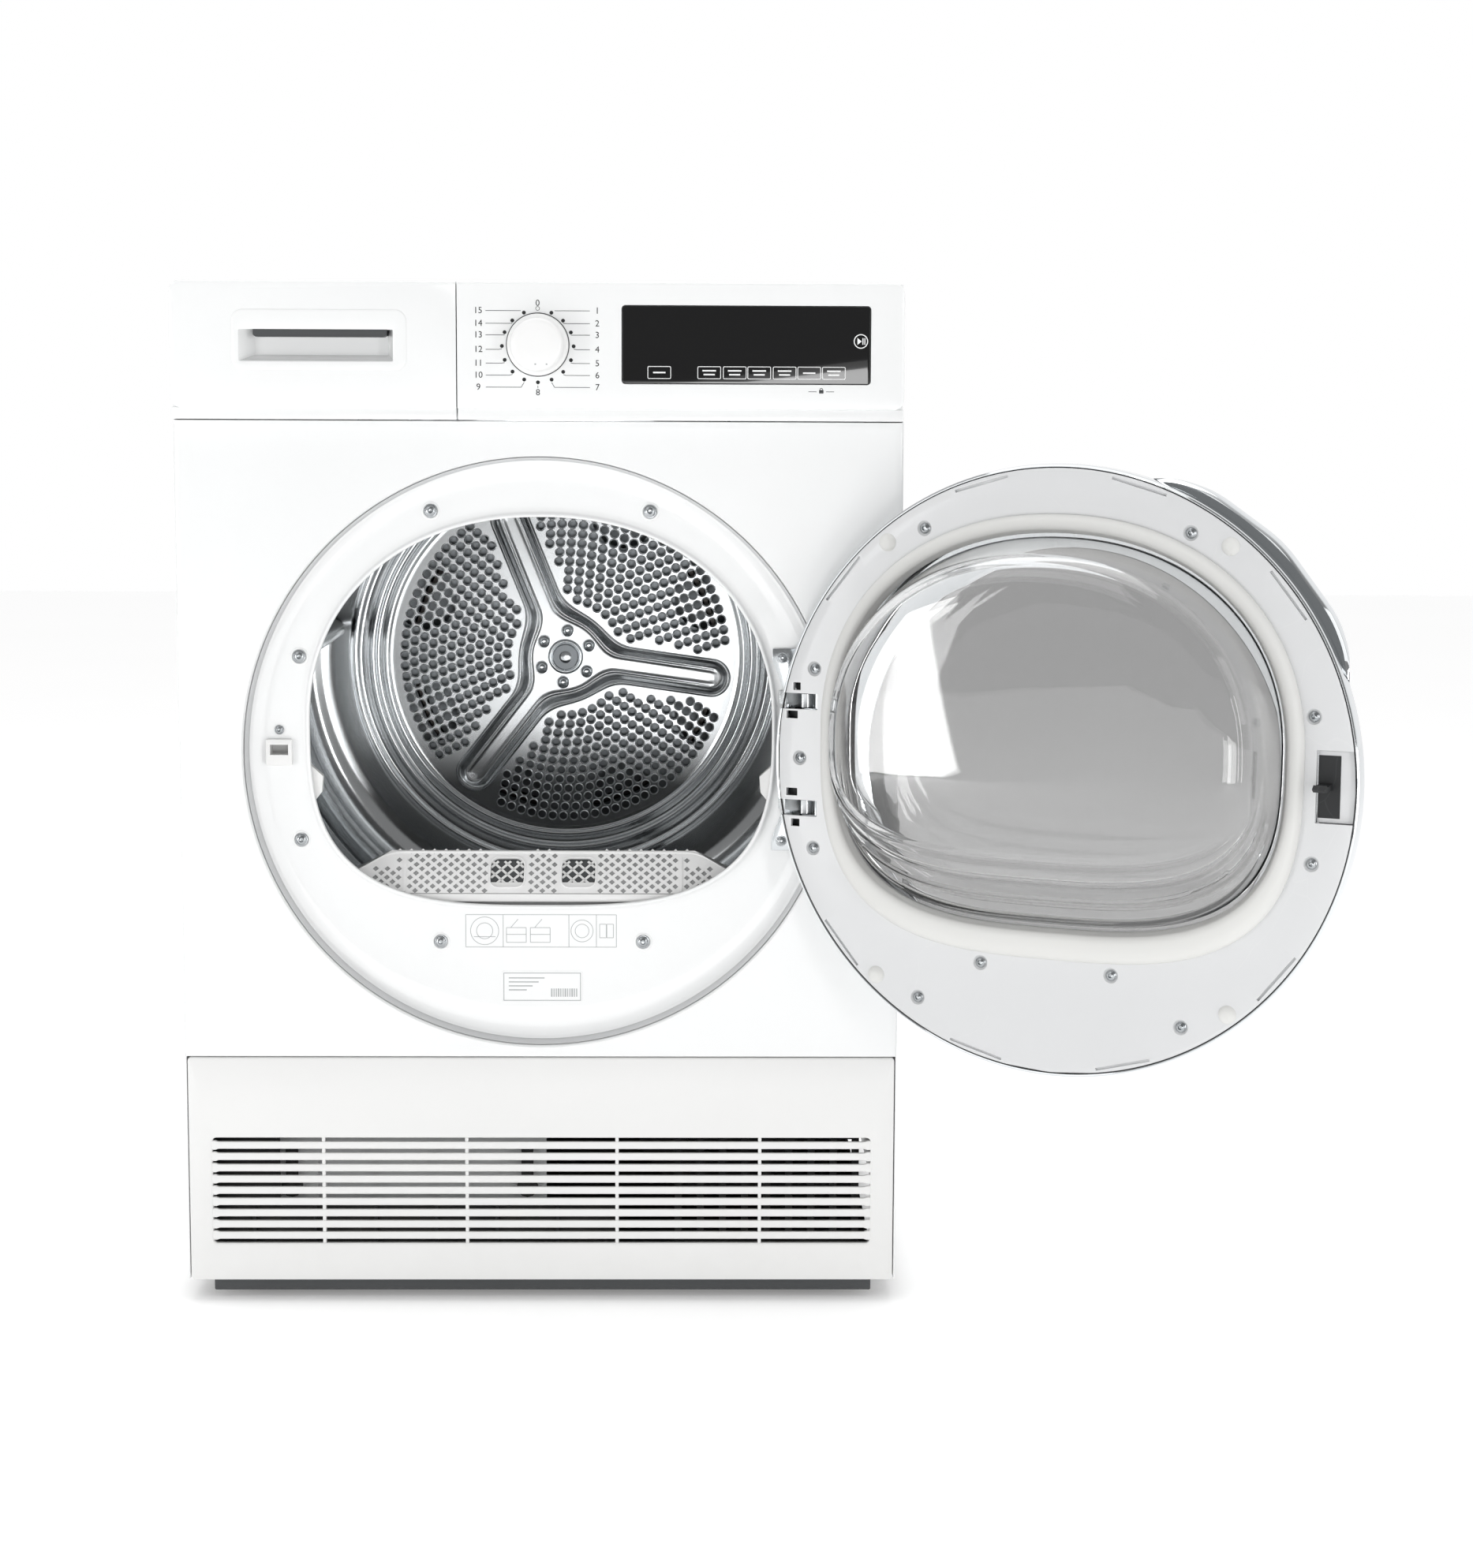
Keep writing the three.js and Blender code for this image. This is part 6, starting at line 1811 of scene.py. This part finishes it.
    def window(self) -> None:
        """Fits the black display and prints its touch keys with plain marks."""
        x0, z0, x1, z1 = self.display
        pane = Draft().prism(rounded(x0, z0, x1, z1, 2.8, 6), self.y - 0.5, -281.4, 0.5, 3)
        self.settle(pane.piece("display_pane", 50), "cabinet", Look.DISPLAY, "tinted_glass",
            "display_window")
        ink = Inking(self.y - 0.48, 0.55, 0.1)
        for k, x in enumerate((88.5, 128.8, 149.4, 169.2, 189.7, 209.6, 229.5)):
            ink.frame(x, 761.6, x + 19.0, 771.8, 1.2)
            if k == 0 or k == 5:
                ink.bar(x + 4.5, 766.1, x + 14.5, 767.3)
            else:
                ink.bar(x + 4.0, 767.7, x + 15.0, 768.9)
                ink.bar(x + 5.0, 764.6, x + 14.0, 765.8)
        ink.ring(260.7, 792.3, 5.8, 0.75)
        ink.shape([(257.9, 789.6), (261.3, 792.3), (257.9, 795.0)])
        for x in (261.9, 263.5):
            ink.bar(x, 789.7, x + 0.8, 794.9)
        self.settle(ink.draft.piece("display_marks"), "cabinet", Look.WHITE_PRINT, "white_plastic")
        lock = Inking(self.y, 0.45)
        lock.bar(227.2, 750.4, 230.8, 753.2, 0.3)
        lock.loop(circle(1.4, 229, 753.4, 20), circle(0.9, 229, 753.4, 20))
        for x0, x1 in ((218.6, 225.2), (232.8, 239.4)):
            lock.line((x0, 751.8), (x1, 751.8))
        self.settle(lock.draft.piece("lock_mark"), "cabinet", Look.GREY_PRINT, "grey_plastic")

    def scale(self) -> None:
        """Prints the ring of programme dots, their leader lines and plain numerals."""
        dots, lines = Inking(self.y, 0.4), Inking(self.y, 0.45)
        numbers: list[tuple[str, float, float]] = []
        rows = (815.6, 805.4, 796.2, 784.6, 773.6, 764.0, 754.4)
        for k in range(self.dots):
            a = radians(90 - 22.5 * k)
            x, z = 28.9 * cos(a), self.knob_z - 1.2 + 28.9 * sin(a)
            if k == 0:
                dots.ring(x, z + 1.2, 1.7, 0.35)
                numbers.append(("0", 0.0, 821.6))
                continue
            dots.dot(x, z, 1.55)
            if k == 8:
                lines.line((x, z - 2.6), (x, z - 4.6))
                numbers.append(("8", 0.0, 750.2))
                continue
            side = 1 if k < 8 else -1
            row = rows[k - 1] if k < 8 else rows[15 - k]
            end = side * 42.0
            if abs(z - row) > 2.0:
                knee = x + side * 2.4
                lines.line((x, z + (2.2 if row > z else -2.2)), (knee, row))
                lines.line((knee, row), (end, row))
            else:
                lines.line((x + side * 2.6, row), (end, row))
            numbers.append((str(k), side * 48.0, row))
        self.settle(dots.draft.piece("programme_dots"), "cabinet", Look.BLACK_PRINT, "dark_plastic")
        self.settle(lines.draft.piece("programme_leaders"), "cabinet", Look.GREY_PRINT, "grey_plastic")
        self.numerals(numbers)

    def numerals(self, numbers: Sequence[tuple[str, float, float]]) -> None:
        """Prints the dial's numerals as one thin mesh.

        Args:
            numbers: each numeral and its middle.
        """
        whole = bmesh.new()
        for text, x, z in numbers:
            curve = bpy.data.curves.new("numeral", "FONT")
            curve.body, curve.size, curve.extrude = text, 7.2 * MM, 0.05 * MM
            curve.align_x, curve.align_y, curve.resolution_u = "CENTER", "CENTER", 3
            sign = linked("numeral", curve)
            bpy.context.view_layer.update()
            mesh = bpy.data.meshes.new_from_object(sign.evaluated_get(bpy.context.evaluated_depsgraph_get()))
            mesh.transform(Matrix.Translation((x * MM, (self.y - 0.05) * MM, z * MM))
                @ Matrix.Rotation(radians(90), 4, "X"))
            whole.from_mesh(mesh)
            bpy.data.objects.remove(sign)
            bpy.data.meshes.remove(mesh)
        mesh = bpy.data.meshes.new("programme_numerals")
        whole.to_mesh(mesh)
        whole.free()
        made = linked("programme_numerals", mesh)
        clean(mesh)
        self.settle(made, "cabinet", Look.BLACK_PRINT, "dark_plastic")


@dataclass
class KickPlate(SubAssembly):
    """Kick plate with its field of louvre slats, and the dark intake behind them."""

    front: float = -275.0
    half: float = 295.4
    low: float = 7.2
    high: float = 198.4
    field_half: float = 276.0
    rows: int = 9
    pitch: float = 9.7
    top_slat: float = 123.15

    def build(self) -> None:
        """Makes the plate, the slats, the ribs and the intake."""
        low_field = self.top_slat - (self.rows - 1) * self.pitch - 6.6
        high_field = self.top_slat + 6.6
        outer = rounded(-self.half, self.low, self.half, self.high, 3, 5)
        inner = rounded(-self.field_half, low_field, self.field_half, high_field, 3.5, 5)
        rings = stepped(outer, self.front, ((0, 11.6), (0, 1.6), (0.5, 0.5), (1.6, 0)))
        rings += stepped(inner, self.front, ((-1.6, 0), (-0.7, 0.3), (-0.1, 1.2), (0, 2.5), (0, 7.0)))
        plate = thickened(Draft().skin(rings, caps=False).piece("kick_plate_skin", 60, shell=True), 2.2)
        self.settle(plate, "kick_flap", Look.PLASTIC, "white_plastic", "kick_plate")
        self.slats()
        self.ribs(low_field, high_field)
        self.intake()

    def slats(self) -> None:
        """Repeats the scooped slat down the field."""
        profile = arc_profile([(0.4, 2.9), (0.0, 1.2), (0.0, -1.6), (1.2, -3.2), (4.2, -3.4), (5.6, -2.2),
            (5.6, 1.6), (2.6, 3.4), (0.4, 2.9)], 0.8, 2)[:-1]
        rings = []
        for x in (-self.field_half - 0.6, -self.field_half + 2.5, -self.field_half + 5, self.field_half - 5,
                self.field_half - 2.5, self.field_half + 0.6):
            grow = 1.28 if abs(x) > self.field_half - 3 else 1.0
            rings.append([(x, self.front + 0.45 + y, self.top_slat - (self.rows - 1) * self.pitch
                + h * grow) for y, h in profile])
        made = Draft().skin(rings).piece("kick_slats", 50)
        self.shop.run(made, self.shop.rows, Count=self.rows, Step=(0.0, 0.0, self.pitch * MM),
            Material=self.materials[Look.PLASTIC])
        self.settle(made, "kick_flap", Look.PLASTIC, "white_plastic")

    def ribs(self, low: float, high: float) -> None:
        """Stands the upright ribs behind the slats.

        Args:
            low: lower edge of the field.
            high: upper edge of the field.
        """
        ribs = Draft()
        for x in (-183, -63, 63, 183):
            ribs.block((x - 1.4, self.front + 1.6, low - 0.5), (x + 1.4, self.front + 8.5, high + 0.5), 0.4)
        self.settle(ribs.piece("kick_ribs"), "kick_flap", Look.PLASTIC, "white_plastic")

    def intake(self) -> None:
        """Fits the dark lower intake with its fins left of the air grille."""
        pane = Draft().block((-246, -256, 13), (64, -252.5, 66), 0.6)
        self.settle(pane.piece("lower_intake"), "cabinet", Look.DARK, "dark_plastic")
        fin = Draft().block((-245, -259.5, 13), (-242.6, -255.5, 66), 0.4).piece("lower_intake_fins")
        self.shop.run(fin, self.shop.rows, Count=7, Step=(0.0512, 0.0, 0.0),
            Material=self.materials[Look.GREY_PRINT])
        self.settle(fin, "cabinet", Look.GREY_PRINT, "grey_plastic")
        baffle = Draft().block((-294, -255, 10), (-222, -252.4, 194), 0.6)
        self.settle(baffle.piece("base_baffle"), "cabinet", Look.DARK, "dark_plastic")
        # A dark strip in the gap under the kick plate: painted shade under the machine.
        painted_shade_piece = Draft().block((-278, -262, -5.4), (278, -255, 5.0), 1.2)
        self.settle(painted_shade_piece.piece("base_skirt"), "cabinet", Look.GREY_PRINT, "dark_plastic")


@dataclass
class Door(SubAssembly):
    """The round door, drawn closed and then swung open about its hinge."""

    inner_y: float = -270.0
    middle: float = 453.5
    radius: float = 241.0
    ring_width: float = 2.5
    hinge: tuple = (220.0, -282.5)
    hinge_z: float = 456.5
    swing: float = 153.2
    grip_reach: float = 253.6
    latch_z: float = 456.0
    plate_screws: tuple = ((113, 190.7), (-107, 192), (-207, 55.7), (-208, -57.1), (-108, -193.4),
        (-50, -157.4), (60, -156.3), (114, -189.6), (208.4, -73.5), (221, 0.5), (208.2, 74.2))
    bumpers: tuple = ((144.7, 178.7), (-138.9, 182.6), (-145.2, -179.8), (151.0, -174.1))
    notches: tuple = (74, 106, 39, 141.5, -39.5, -141, -74.5, -105)
    notch_in: float = 5.0
    square_holes: tuple = ((223.8, 59.3, 3.3), (228.0, 35.9, 5.0), (228.0, -27.9, 5.0), (224.6, -53.3, 3.8))

    def build(self) -> None:
        """Makes every piece of the door."""
        self.inner_plate()
        self.rims()
        self.glass()
        self.gasket()
        self.handle()
        self.fittings()
        self.hinge_pieces()

    def face(self, t: float) -> float:
        """Gives the depth a distance outwards from the door's inner face."""
        return self.inner_y - t

    def depths(self, profile: Iterable[Flat]) -> list[Flat]:
        """Gives a profile of (radius, distance outwards) its depths."""
        return [(r, self.face(t)) for r, t in profile]

    def swung(self, made: Object) -> Object:
        """Swings a piece drawn closed to where it stands open."""
        hinge = Vector((self.hinge[0] * MM, self.hinge[1] * MM, 0))
        turn = Matrix.Rotation(radians(self.swing), 4, "Z")
        made.data.transform(Matrix.Translation(hinge) @ turn @ Matrix.Translation(-hinge))
        return made

    def hang(self, made: Object, look: Look, slot: str, *replaced: str) -> Object:
        """Swings a piece open and settles it on the door."""
        return self.settle(self.swung(made), "door", look, slot, *replaced)

    def ear_slots(self) -> list[Draft]:
        """Gives the slots that the hinge ears pass through."""
        return [Draft().block((205.5, -340, self.hinge_z + s * 44 - 6.6),
            (256, -262, self.hinge_z + s * 44 + 6.6)) for s in (-1, 1)]

    def inner_plate(self) -> None:
        """Moulds the inner plate: rounded rim, screw pockets, latch pocket and vent notches."""
        y = self.inner_y
        hole = OPENING.ring(-5.0)
        outer = []
        for x, z in hole:
            way = Vector((x, z - self.middle)).normalized() * (self.radius - 0.5)
            outer.append((way.x, self.middle + way.y))
        rings = [at_depth(blend(outer, hole, t), y - out) for t,
            out in ((0, 3.3), (0, 1.3), (0.012, 0.4), (0.035, 0), (0.3, 0), (0.6, 0), (0.9, 0),
            (0.985, 0.1), (1.0, 1.0), (1.0, 3.3))]
        plate = Draft().skin(rings, closed=True).piece("door_plate", 40)
        cuts = [Draft().block((-240, y - 8, self.latch_z - 28), (-210, y + 5, self.latch_z + 28), 0.5)]
        cuts += [Draft().block((239.3, y - 8, self.hinge_z - 36), (250, y + 5, self.hinge_z + 36))]
        for degrees in self.notches:
            a = radians(degrees)
            x, z = ((self.radius - self.notch_in) * c for c in (cos(a), sin(a)))
            tilt = 90 - degrees
            slot = Draft().block((-23, y - 2.6, -1.1), (23, y + 3, 1.1), 0.2)
            turn = Matrix.Rotation(radians(tilt), 4, "Y")
            cuts.append(slot.placed(Matrix.Translation((x, 0, self.middle + z)) @ turn))
        for x, z, half in self.square_holes:
            cuts.append(Draft().block((x - half, y - 8, self.middle + z - 3.2),
                (x + half, y + 3, self.middle + z + 3.2), 0.4))
        for x, z in self.plate_screws:
            cuts.append(Draft().lathe([(0, y - 1.7), (4.6, y - 1.7), (6.6, y + 0.4), (6.6, y + 3),
                (0, y + 3)], x, self.middle + z, 28, closed=False))
        carved(plate, *cuts, *self.ear_slots())
        self.hang(plate, Look.DOOR_GREY, "grey_plastic", "door_inner_plate")
        self.painted_shade_backing()

    def painted_shade_backing(self) -> None:
        """Puts a dark plate behind the square holes near the hinge: painted shade inside the door seen
        through them.
        """
        # Dark plates seen through the holes: painted shade.
        shade_plates = Draft()
        for x, z, half in self.square_holes:
            shade_plates.block((x - half - 1, self.face(8.6), self.middle + z - 4.2),
                (x + half + 1, self.face(7.6), self.middle + z + 4.2), 0.3)
        self.hang(shade_plates.piece("door_hole_backs"), Look.DARK, "dark_plastic")

    def rims(self) -> None:
        """Turns the chrome outer ring, its thin bright edge, a dark ring of painted shadow in the gap at the
        plate's edge, and the tinted window.
        """
        r = self.radius + self.ring_width
        outside = [(r - 0.5, 1.2), (r, 2.6), (r, 16), (r - 2.2, 18.7), (225, 21), (212, 23.8), (200, 28),
            (190, 32.2), (181, 35.6), (176.4, 38), (175, 38.2), (174.6, 35)]
        inside = [(196, 26), (223, 18.8), (r - 3.2, 16), (r - 3.2, 1.6), (r - 1.6, 0.9)]
        profile = arc_profile(self.depths(outside), 2.2, 3) + self.depths(inside)
        ring = Draft().lathe(profile, 0, self.middle)
        made = ring.piece("door_ring_turned", 44)
        carved(made, *self.ear_slots())
        self.hang(made, Look.CHROME, "chrome", "door_outer_ring")
        # A thin dark ring in the gap between the plate and the chrome ring: painted shadow.
        edge = ((self.radius - 0.9, 0.9), (self.radius + 0.1, 1.1), (self.radius + 0.1, 2.8),
            (self.radius - 0.9, 2.6))
        painted_gap_shadow = Draft().lathe(self.depths(edge), 0, self.middle)
        self.hang(painted_gap_shadow.piece("door_edge_gap"), Look.DARK, "dark_plastic")
        dome = self.depths(((0, 43.9), (60, 43.3), (120, 41.6), (170, 38.8), (174.4, 37.8), (174.4, 35.2),
            (90, 39), (0, 41)))
        pane = Draft().lathe(arc_profile(dome, 3, 3), 0, self.middle, closed=False)
        self.hang(pane.piece("door_window_pane", 50), Look.WINDOW_GLASS, "tinted_glass", "door_window")

    def glass(self) -> None:
        """Blows the glass bowl: rounded brow, straight sides and stepped ledges below."""
        def skin(thin: float) -> list[list[Point]]:
            """Gives the bowl's rings, moved in by the wall."""
            rings = []
            for k in range(25):
                t = k / 24
                side = -8.5 - 12 * t - 10 * max(0, t - 0.72) ** 2 * 12 - 20 * max(0, t - 0.93) / 0.07
                y = self.inner_y + 1.0 + t ** 0.9 * 60.6 - thin * 0.85
                step = 9.0 * (min(1, max(0, (t - 0.16) / 0.04)) + min(1, max(0, (t - 0.42) / 0.04))
                    + min(1, max(0, (t - 0.68) / 0.04)))
                under = side - 22 * t - step - thin
                rings.append(at_depth(OPENING.ring(side - thin, side - thin - 4 * t, under), y))
            return rings
        flange, back = self.face(3.6), self.face(6.0)
        whole = (skin(0)[::-1] + [at_depth(OPENING.ring(-8.3), flange),
            at_depth(OPENING.ring(-1.0), flange), at_depth(OPENING.ring(-1.0), back),
            at_depth(OPENING.ring(-12.3), back)] + skin(3.6))
        cup = Draft().skin(whole).piece("door_bowl", 44)
        self.hang(cup, Look.BOWL_GLASS, "clear_glass", "glass_bowl")

    def gasket(self) -> None:
        """Moulds the seal: a soft bead with a thin sealing lip."""
        y = self.inner_y
        section = [(9.3, 20, 0.1), (9.4, 20, 2.4), (8.6, 18.5, 5.0), (7.0, 14.5, 7.6), (4.6, 9.5, 8.9),
            (1.2, 3.0, 9.3), (-1.6, -1.6, 8.6), (-3.2, -3.2, 6.4), (-3.6, -3.6, 4.2), (-5.4, -5.4, 2.6),
            (-5.5, -5.5, 0.1)]
        rings = [at_depth(OPENING.ring(side, side, down), y + rise) for side, down, rise in section]
        self.hang(Draft().skin(rings, closed=True).piece("door_seal_bead", 60), Look.SEAL, "seal_rubber",
            "door_gasket")

    def handle(self) -> None:
        """Forms the grip: a faceted lobe that stands out past the rim."""
        rings = []
        corners = [(105.5, self.radius + 0.5), (111, self.radius + 9.0), (118, self.grip_reach),
            (133, self.grip_reach + 1.2), (149, self.grip_reach), (156, self.radius + 9.5),
            (162, self.radius + 0.5)]
        path = arc_profile([(r * cos(radians(a)), r * sin(radians(a))) for a, r in corners], 16, 5)
        for k, (x, z) in enumerate(path):
            t = k / (len(path) - 1)
            reach, a = hypot(x, z), atan2(z, x)
            lift = 23.5 + 10.0 * min(1.0, 5.0 * t * (1 - t))
            section = [(reach - 3, 14.5), (reach - 0.6, 16.5), (reach, lift - 9), (reach - 2.6, lift - 2.5),
                (reach - 9, lift), (232, lift - 0.4), (226.5, lift - 5), (224, 22.6), (232, 20.9),
                (self.radius + 0.2, 15.5)]
            section = arc_profile(section + [section[0]], 1.4, 2)[:-1]
            rings.append([(r * cos(a), self.face(d), self.middle + r * sin(a)) for r, d in section])
        self.hang(Draft().skin(rings).piece("door_grip", 40), Look.CHROME, "chrome", "door_handle")

    def fittings(self) -> None:
        """Adds the plate's screws, the round bumpers and the latch pocket with its hook."""
        y = self.inner_y
        screws = [((x, y - 1.6, self.middle + z), (0, 1, 0)) for x, z in self.plate_screws]
        made = self.shop.on_points("door_screws", screw_shape(3.7, 4.4), screws, self.materials[Look.SCREW])
        self.hang(made, Look.SCREW, "steel")
        dome = [(0.0, 3.4), (3.0, 3.1), (5.4, 2.0), (6.6, 0.8), (7.2, 0.2), (7.2, -0.4), (0.0, -0.4)]
        pads = Draft()
        for x, z in self.bumpers:
            pads.lathe([(r, y + h) for r, h in arc_profile(dome, 0.6, 2)], x, self.middle + z, 32,
                closed=False)
        self.hang(pads.piece("door_bumpers", 60), Look.SEAL, "seal_rubber")
        tray = Draft().block((-239.2, y - 7.5, self.latch_z - 27.6), (-210.4, y - 3.8, self.latch_z + 27.6),
            0.5)
        self.hang(tray.piece("latch_tray"), Look.DOOR_GREY, "grey_plastic")
        self.dress(Look.DARK, "latch_hook")

    def hinge_pieces(self) -> None:
        """Polishes the hinge and screws its plates down."""
        plates, straps = Draft(), Draft()
        for side in (-1, 1):
            outline = [(191.8, 84.5), (191.8, 75), (200.5, 51.5), (204, 40), (204, 0), (214, 0), (214, 84.5)]
            outline = [(x, self.hinge_z + side * z) for x, z in outline]
            plates.prism(outline[::side], -259.6, -257.4, 0.4)
            arm = arc_profile([(197.4, -257.6), (214, -257.6), (225.6, -276.5), (226.8, -282.5),
                (224.6, -287.6), (220, -289.2), (214.8, -287.2), (211.6, -280), (206.4, -268),
                (202.6, -260.4), (197.4, -260.2), (197.4, -257.6)], 1.2, 3)[:-1]
            middle = self.hinge_z + side * 44
            straps.skin([[(x + (0.3 if x < 215 else -0.3) * edge, y, middle + h) for x, y in arm] for h,
                edge in ((-5.5, 1), (-5.0, 0), (5.0, 0), (5.5, 1))])
        self.settle(plates.piece("hinge_plates", 40), "cabinet", Look.POLISHED, "steel", "hinge_bracket")
        self.settle(straps.piece("hinge_straps", 40), "cabinet", Look.PRESSED_STEEL, "steel")
        self.settle(softened("hinge_leaf", "hinge_leaf_skin", 0.4), "door", Look.SCREW, "zinc", "hinge_leaf")
        places = [((199.8, -259.6, self.hinge_z + s * 76.5), (0, -1, 0)) for s in (-1, 1)]
        places += [((205, -259.6, self.hinge_z + s * 25), (0, -1, 0)) for s in (-1, 1)]
        made = self.shop.on_points("hinge_screws", screw_shape(3.3, 4.6), places, self.materials[Look.SCREW])
        self.settle(made, "cabinet", Look.SCREW, "steel")


# ---- Studio ----------------------------------------------------------------------------------


@dataclass
class Studio:
    """Pale floor, soft light and the camera."""

    stand: tuple = (0.12312, -2.74916, 0.74717)
    yaw: float = 0.9017
    pitch: float = -7.309
    roll: float = -0.2545
    lens: float = 69.23
    dim: float = 0.26

    def build(self) -> None:
        """Sets the whole studio up."""
        self.floor()
        self.world()
        self.lamp("key", (-1.7, -2.4, 2.7), (0, 0, 0.45), (1.7, 1.7), 10)
        self.lamp("front", (0.25, -2.9, 0.2), (0, 0, 0.5), (0.9, 0.36), 6)
        self.lamp("fill", (2.5, -2.0, 1.6), (0, 0, 0.5), (1.6, 1.6), 8)
        self.lamp("top", (0.0, 0.1, 3.2), (0, 0, 0.4), (2.2, 2.2), 24)
        self.lamp("left_strip", (-1.72, -1.72, 0.5), (0, -0.2, 0.5), (0.34, 1.0), 9)
        self.lamp("right_strip", (1.5, -2.1, 0.6), (0, -0.2, 0.5), (0.25, 1.0), 6)
        bpy.context.scene.view_settings.view_transform = "Standard"
        self.camera()

    def floor(self) -> None:
        """Lays the floor with a faint change of tone."""
        draft = Draft().skin([[(-9000, -9000, -11.4), (9000, -9000, -11.4), (9000, 9000, -11.4),
            (-9000, 9000, -11.4)]], caps=False)
        draft.faces = [(0, 1, 2, 3)]
        made = draft.piece("studio_floor")
        material = bpy.data.materials.new("floor_paper")
        material.use_nodes = True
        tree = Tree(material.node_tree)
        shader = next(n for n in tree.tree.nodes if n.type == "BSDF_PRINCIPLED")
        noise = tree.node("ShaderNodeTexNoise",
            {"Vector": tree.node("ShaderNodeTexCoord").outputs["Object"], "Scale": 1.2})
        tree.feed(shader.inputs["Base Color"],
            tree.mix(noise.outputs[0], linear("fafafa"), linear("fdfdfd")))
        shader.inputs["Roughness"].default_value = 0.9
        shader.inputs["Emission Color"].default_value = (1, 1, 1, 1)
        shader.inputs["Emission Strength"].default_value = 0.2
        made.data.materials.append(material)

    def world(self) -> None:
        """Lights the room evenly, with the dim open front that gives metal its dark bands."""
        world = bpy.data.worlds.new("studio_room")
        world.use_nodes = True
        tree = Tree(world.node_tree)
        back = next(n for n in tree.tree.nodes if n.type == "BACKGROUND")
        way = tree.node("ShaderNodeSeparateXYZ",
            {0: tree.node("ShaderNodeTexCoord").outputs["Generated"]}).outputs
        front = tree.node("ShaderNodeMapRange", {0: way[1], 1: -0.05, 2: -0.6, 3: 0.0, 4: 1.0})
        tree.feed(back.inputs[0], tree.mix(front.outputs[0], (1.0, 1.0, 1.0, 1),
            (self.dim, self.dim, self.dim, 1)))
        back.inputs[1].default_value = 1.0
        bpy.context.scene.world = world

    def lamp(self, name: str, spot: Point, aim: Point, size: Flat, power: float) -> None:
        """Hangs one soft lamp.

        Args:
            name: its name.
            spot: where it hangs, in metres.
            aim: what it points at.
            size: its width and height.
            power: its strength in watts.
        """
        light = bpy.data.lights.new(name, "AREA")
        light.shape, light.energy = "RECTANGLE", power
        light.size, light.size_y = size
        made = linked(name, light)
        made.location = spot
        made.rotation_euler = (Vector(aim) - Vector(spot)).to_track_quat("-Z", "Y").to_euler()

    def camera(self) -> None:
        """Stands the camera in front, a little above the middle."""
        y, p, r = (radians(a) for a in (self.yaw, self.pitch, self.roll))
        turn = Matrix(((cos(y), sin(y), 0), (-sin(y), cos(y), 0), (0, 0, 1)))
        tilt = Matrix(((1, 0, 0), (0, cos(p), -sin(p)), (0, sin(p), cos(p))))
        bank = Matrix(((cos(r), 0, sin(r)), (0, 1, 0), (-sin(r), 0, cos(r))))
        axes = turn @ tilt @ bank
        right, forward, up = (axes.col[k] for k in range(3))
        lens = bpy.data.cameras.new("studio_camera")
        lens.lens, lens.sensor_width, lens.sensor_fit = self.lens, 36.0, "AUTO"
        lens.clip_start, lens.clip_end = 0.05, 60.0
        made = linked("studio_camera", lens)
        place = Matrix((right, up, -forward)).transposed().to_4x4()
        place.translation = self.stand
        made.matrix_world = place
        bpy.context.scene.camera = made


def main() -> None:
    """Builds the machine, then the studio."""
    logging.basicConfig(level=logging.INFO, format="%(name)s: %(message)s")
    effects = Effects()
    materials = {look: look.value.build(effects) for look in Look}
    shop = NodeShop()
    for part in (Cabinet, Drum, LintFilter, Console, KickPlate, Door):
        logger.info("building %s", part.__name__)
        part(materials, shop).build()
    Studio().build()


if __name__ == "__main__":
    main()
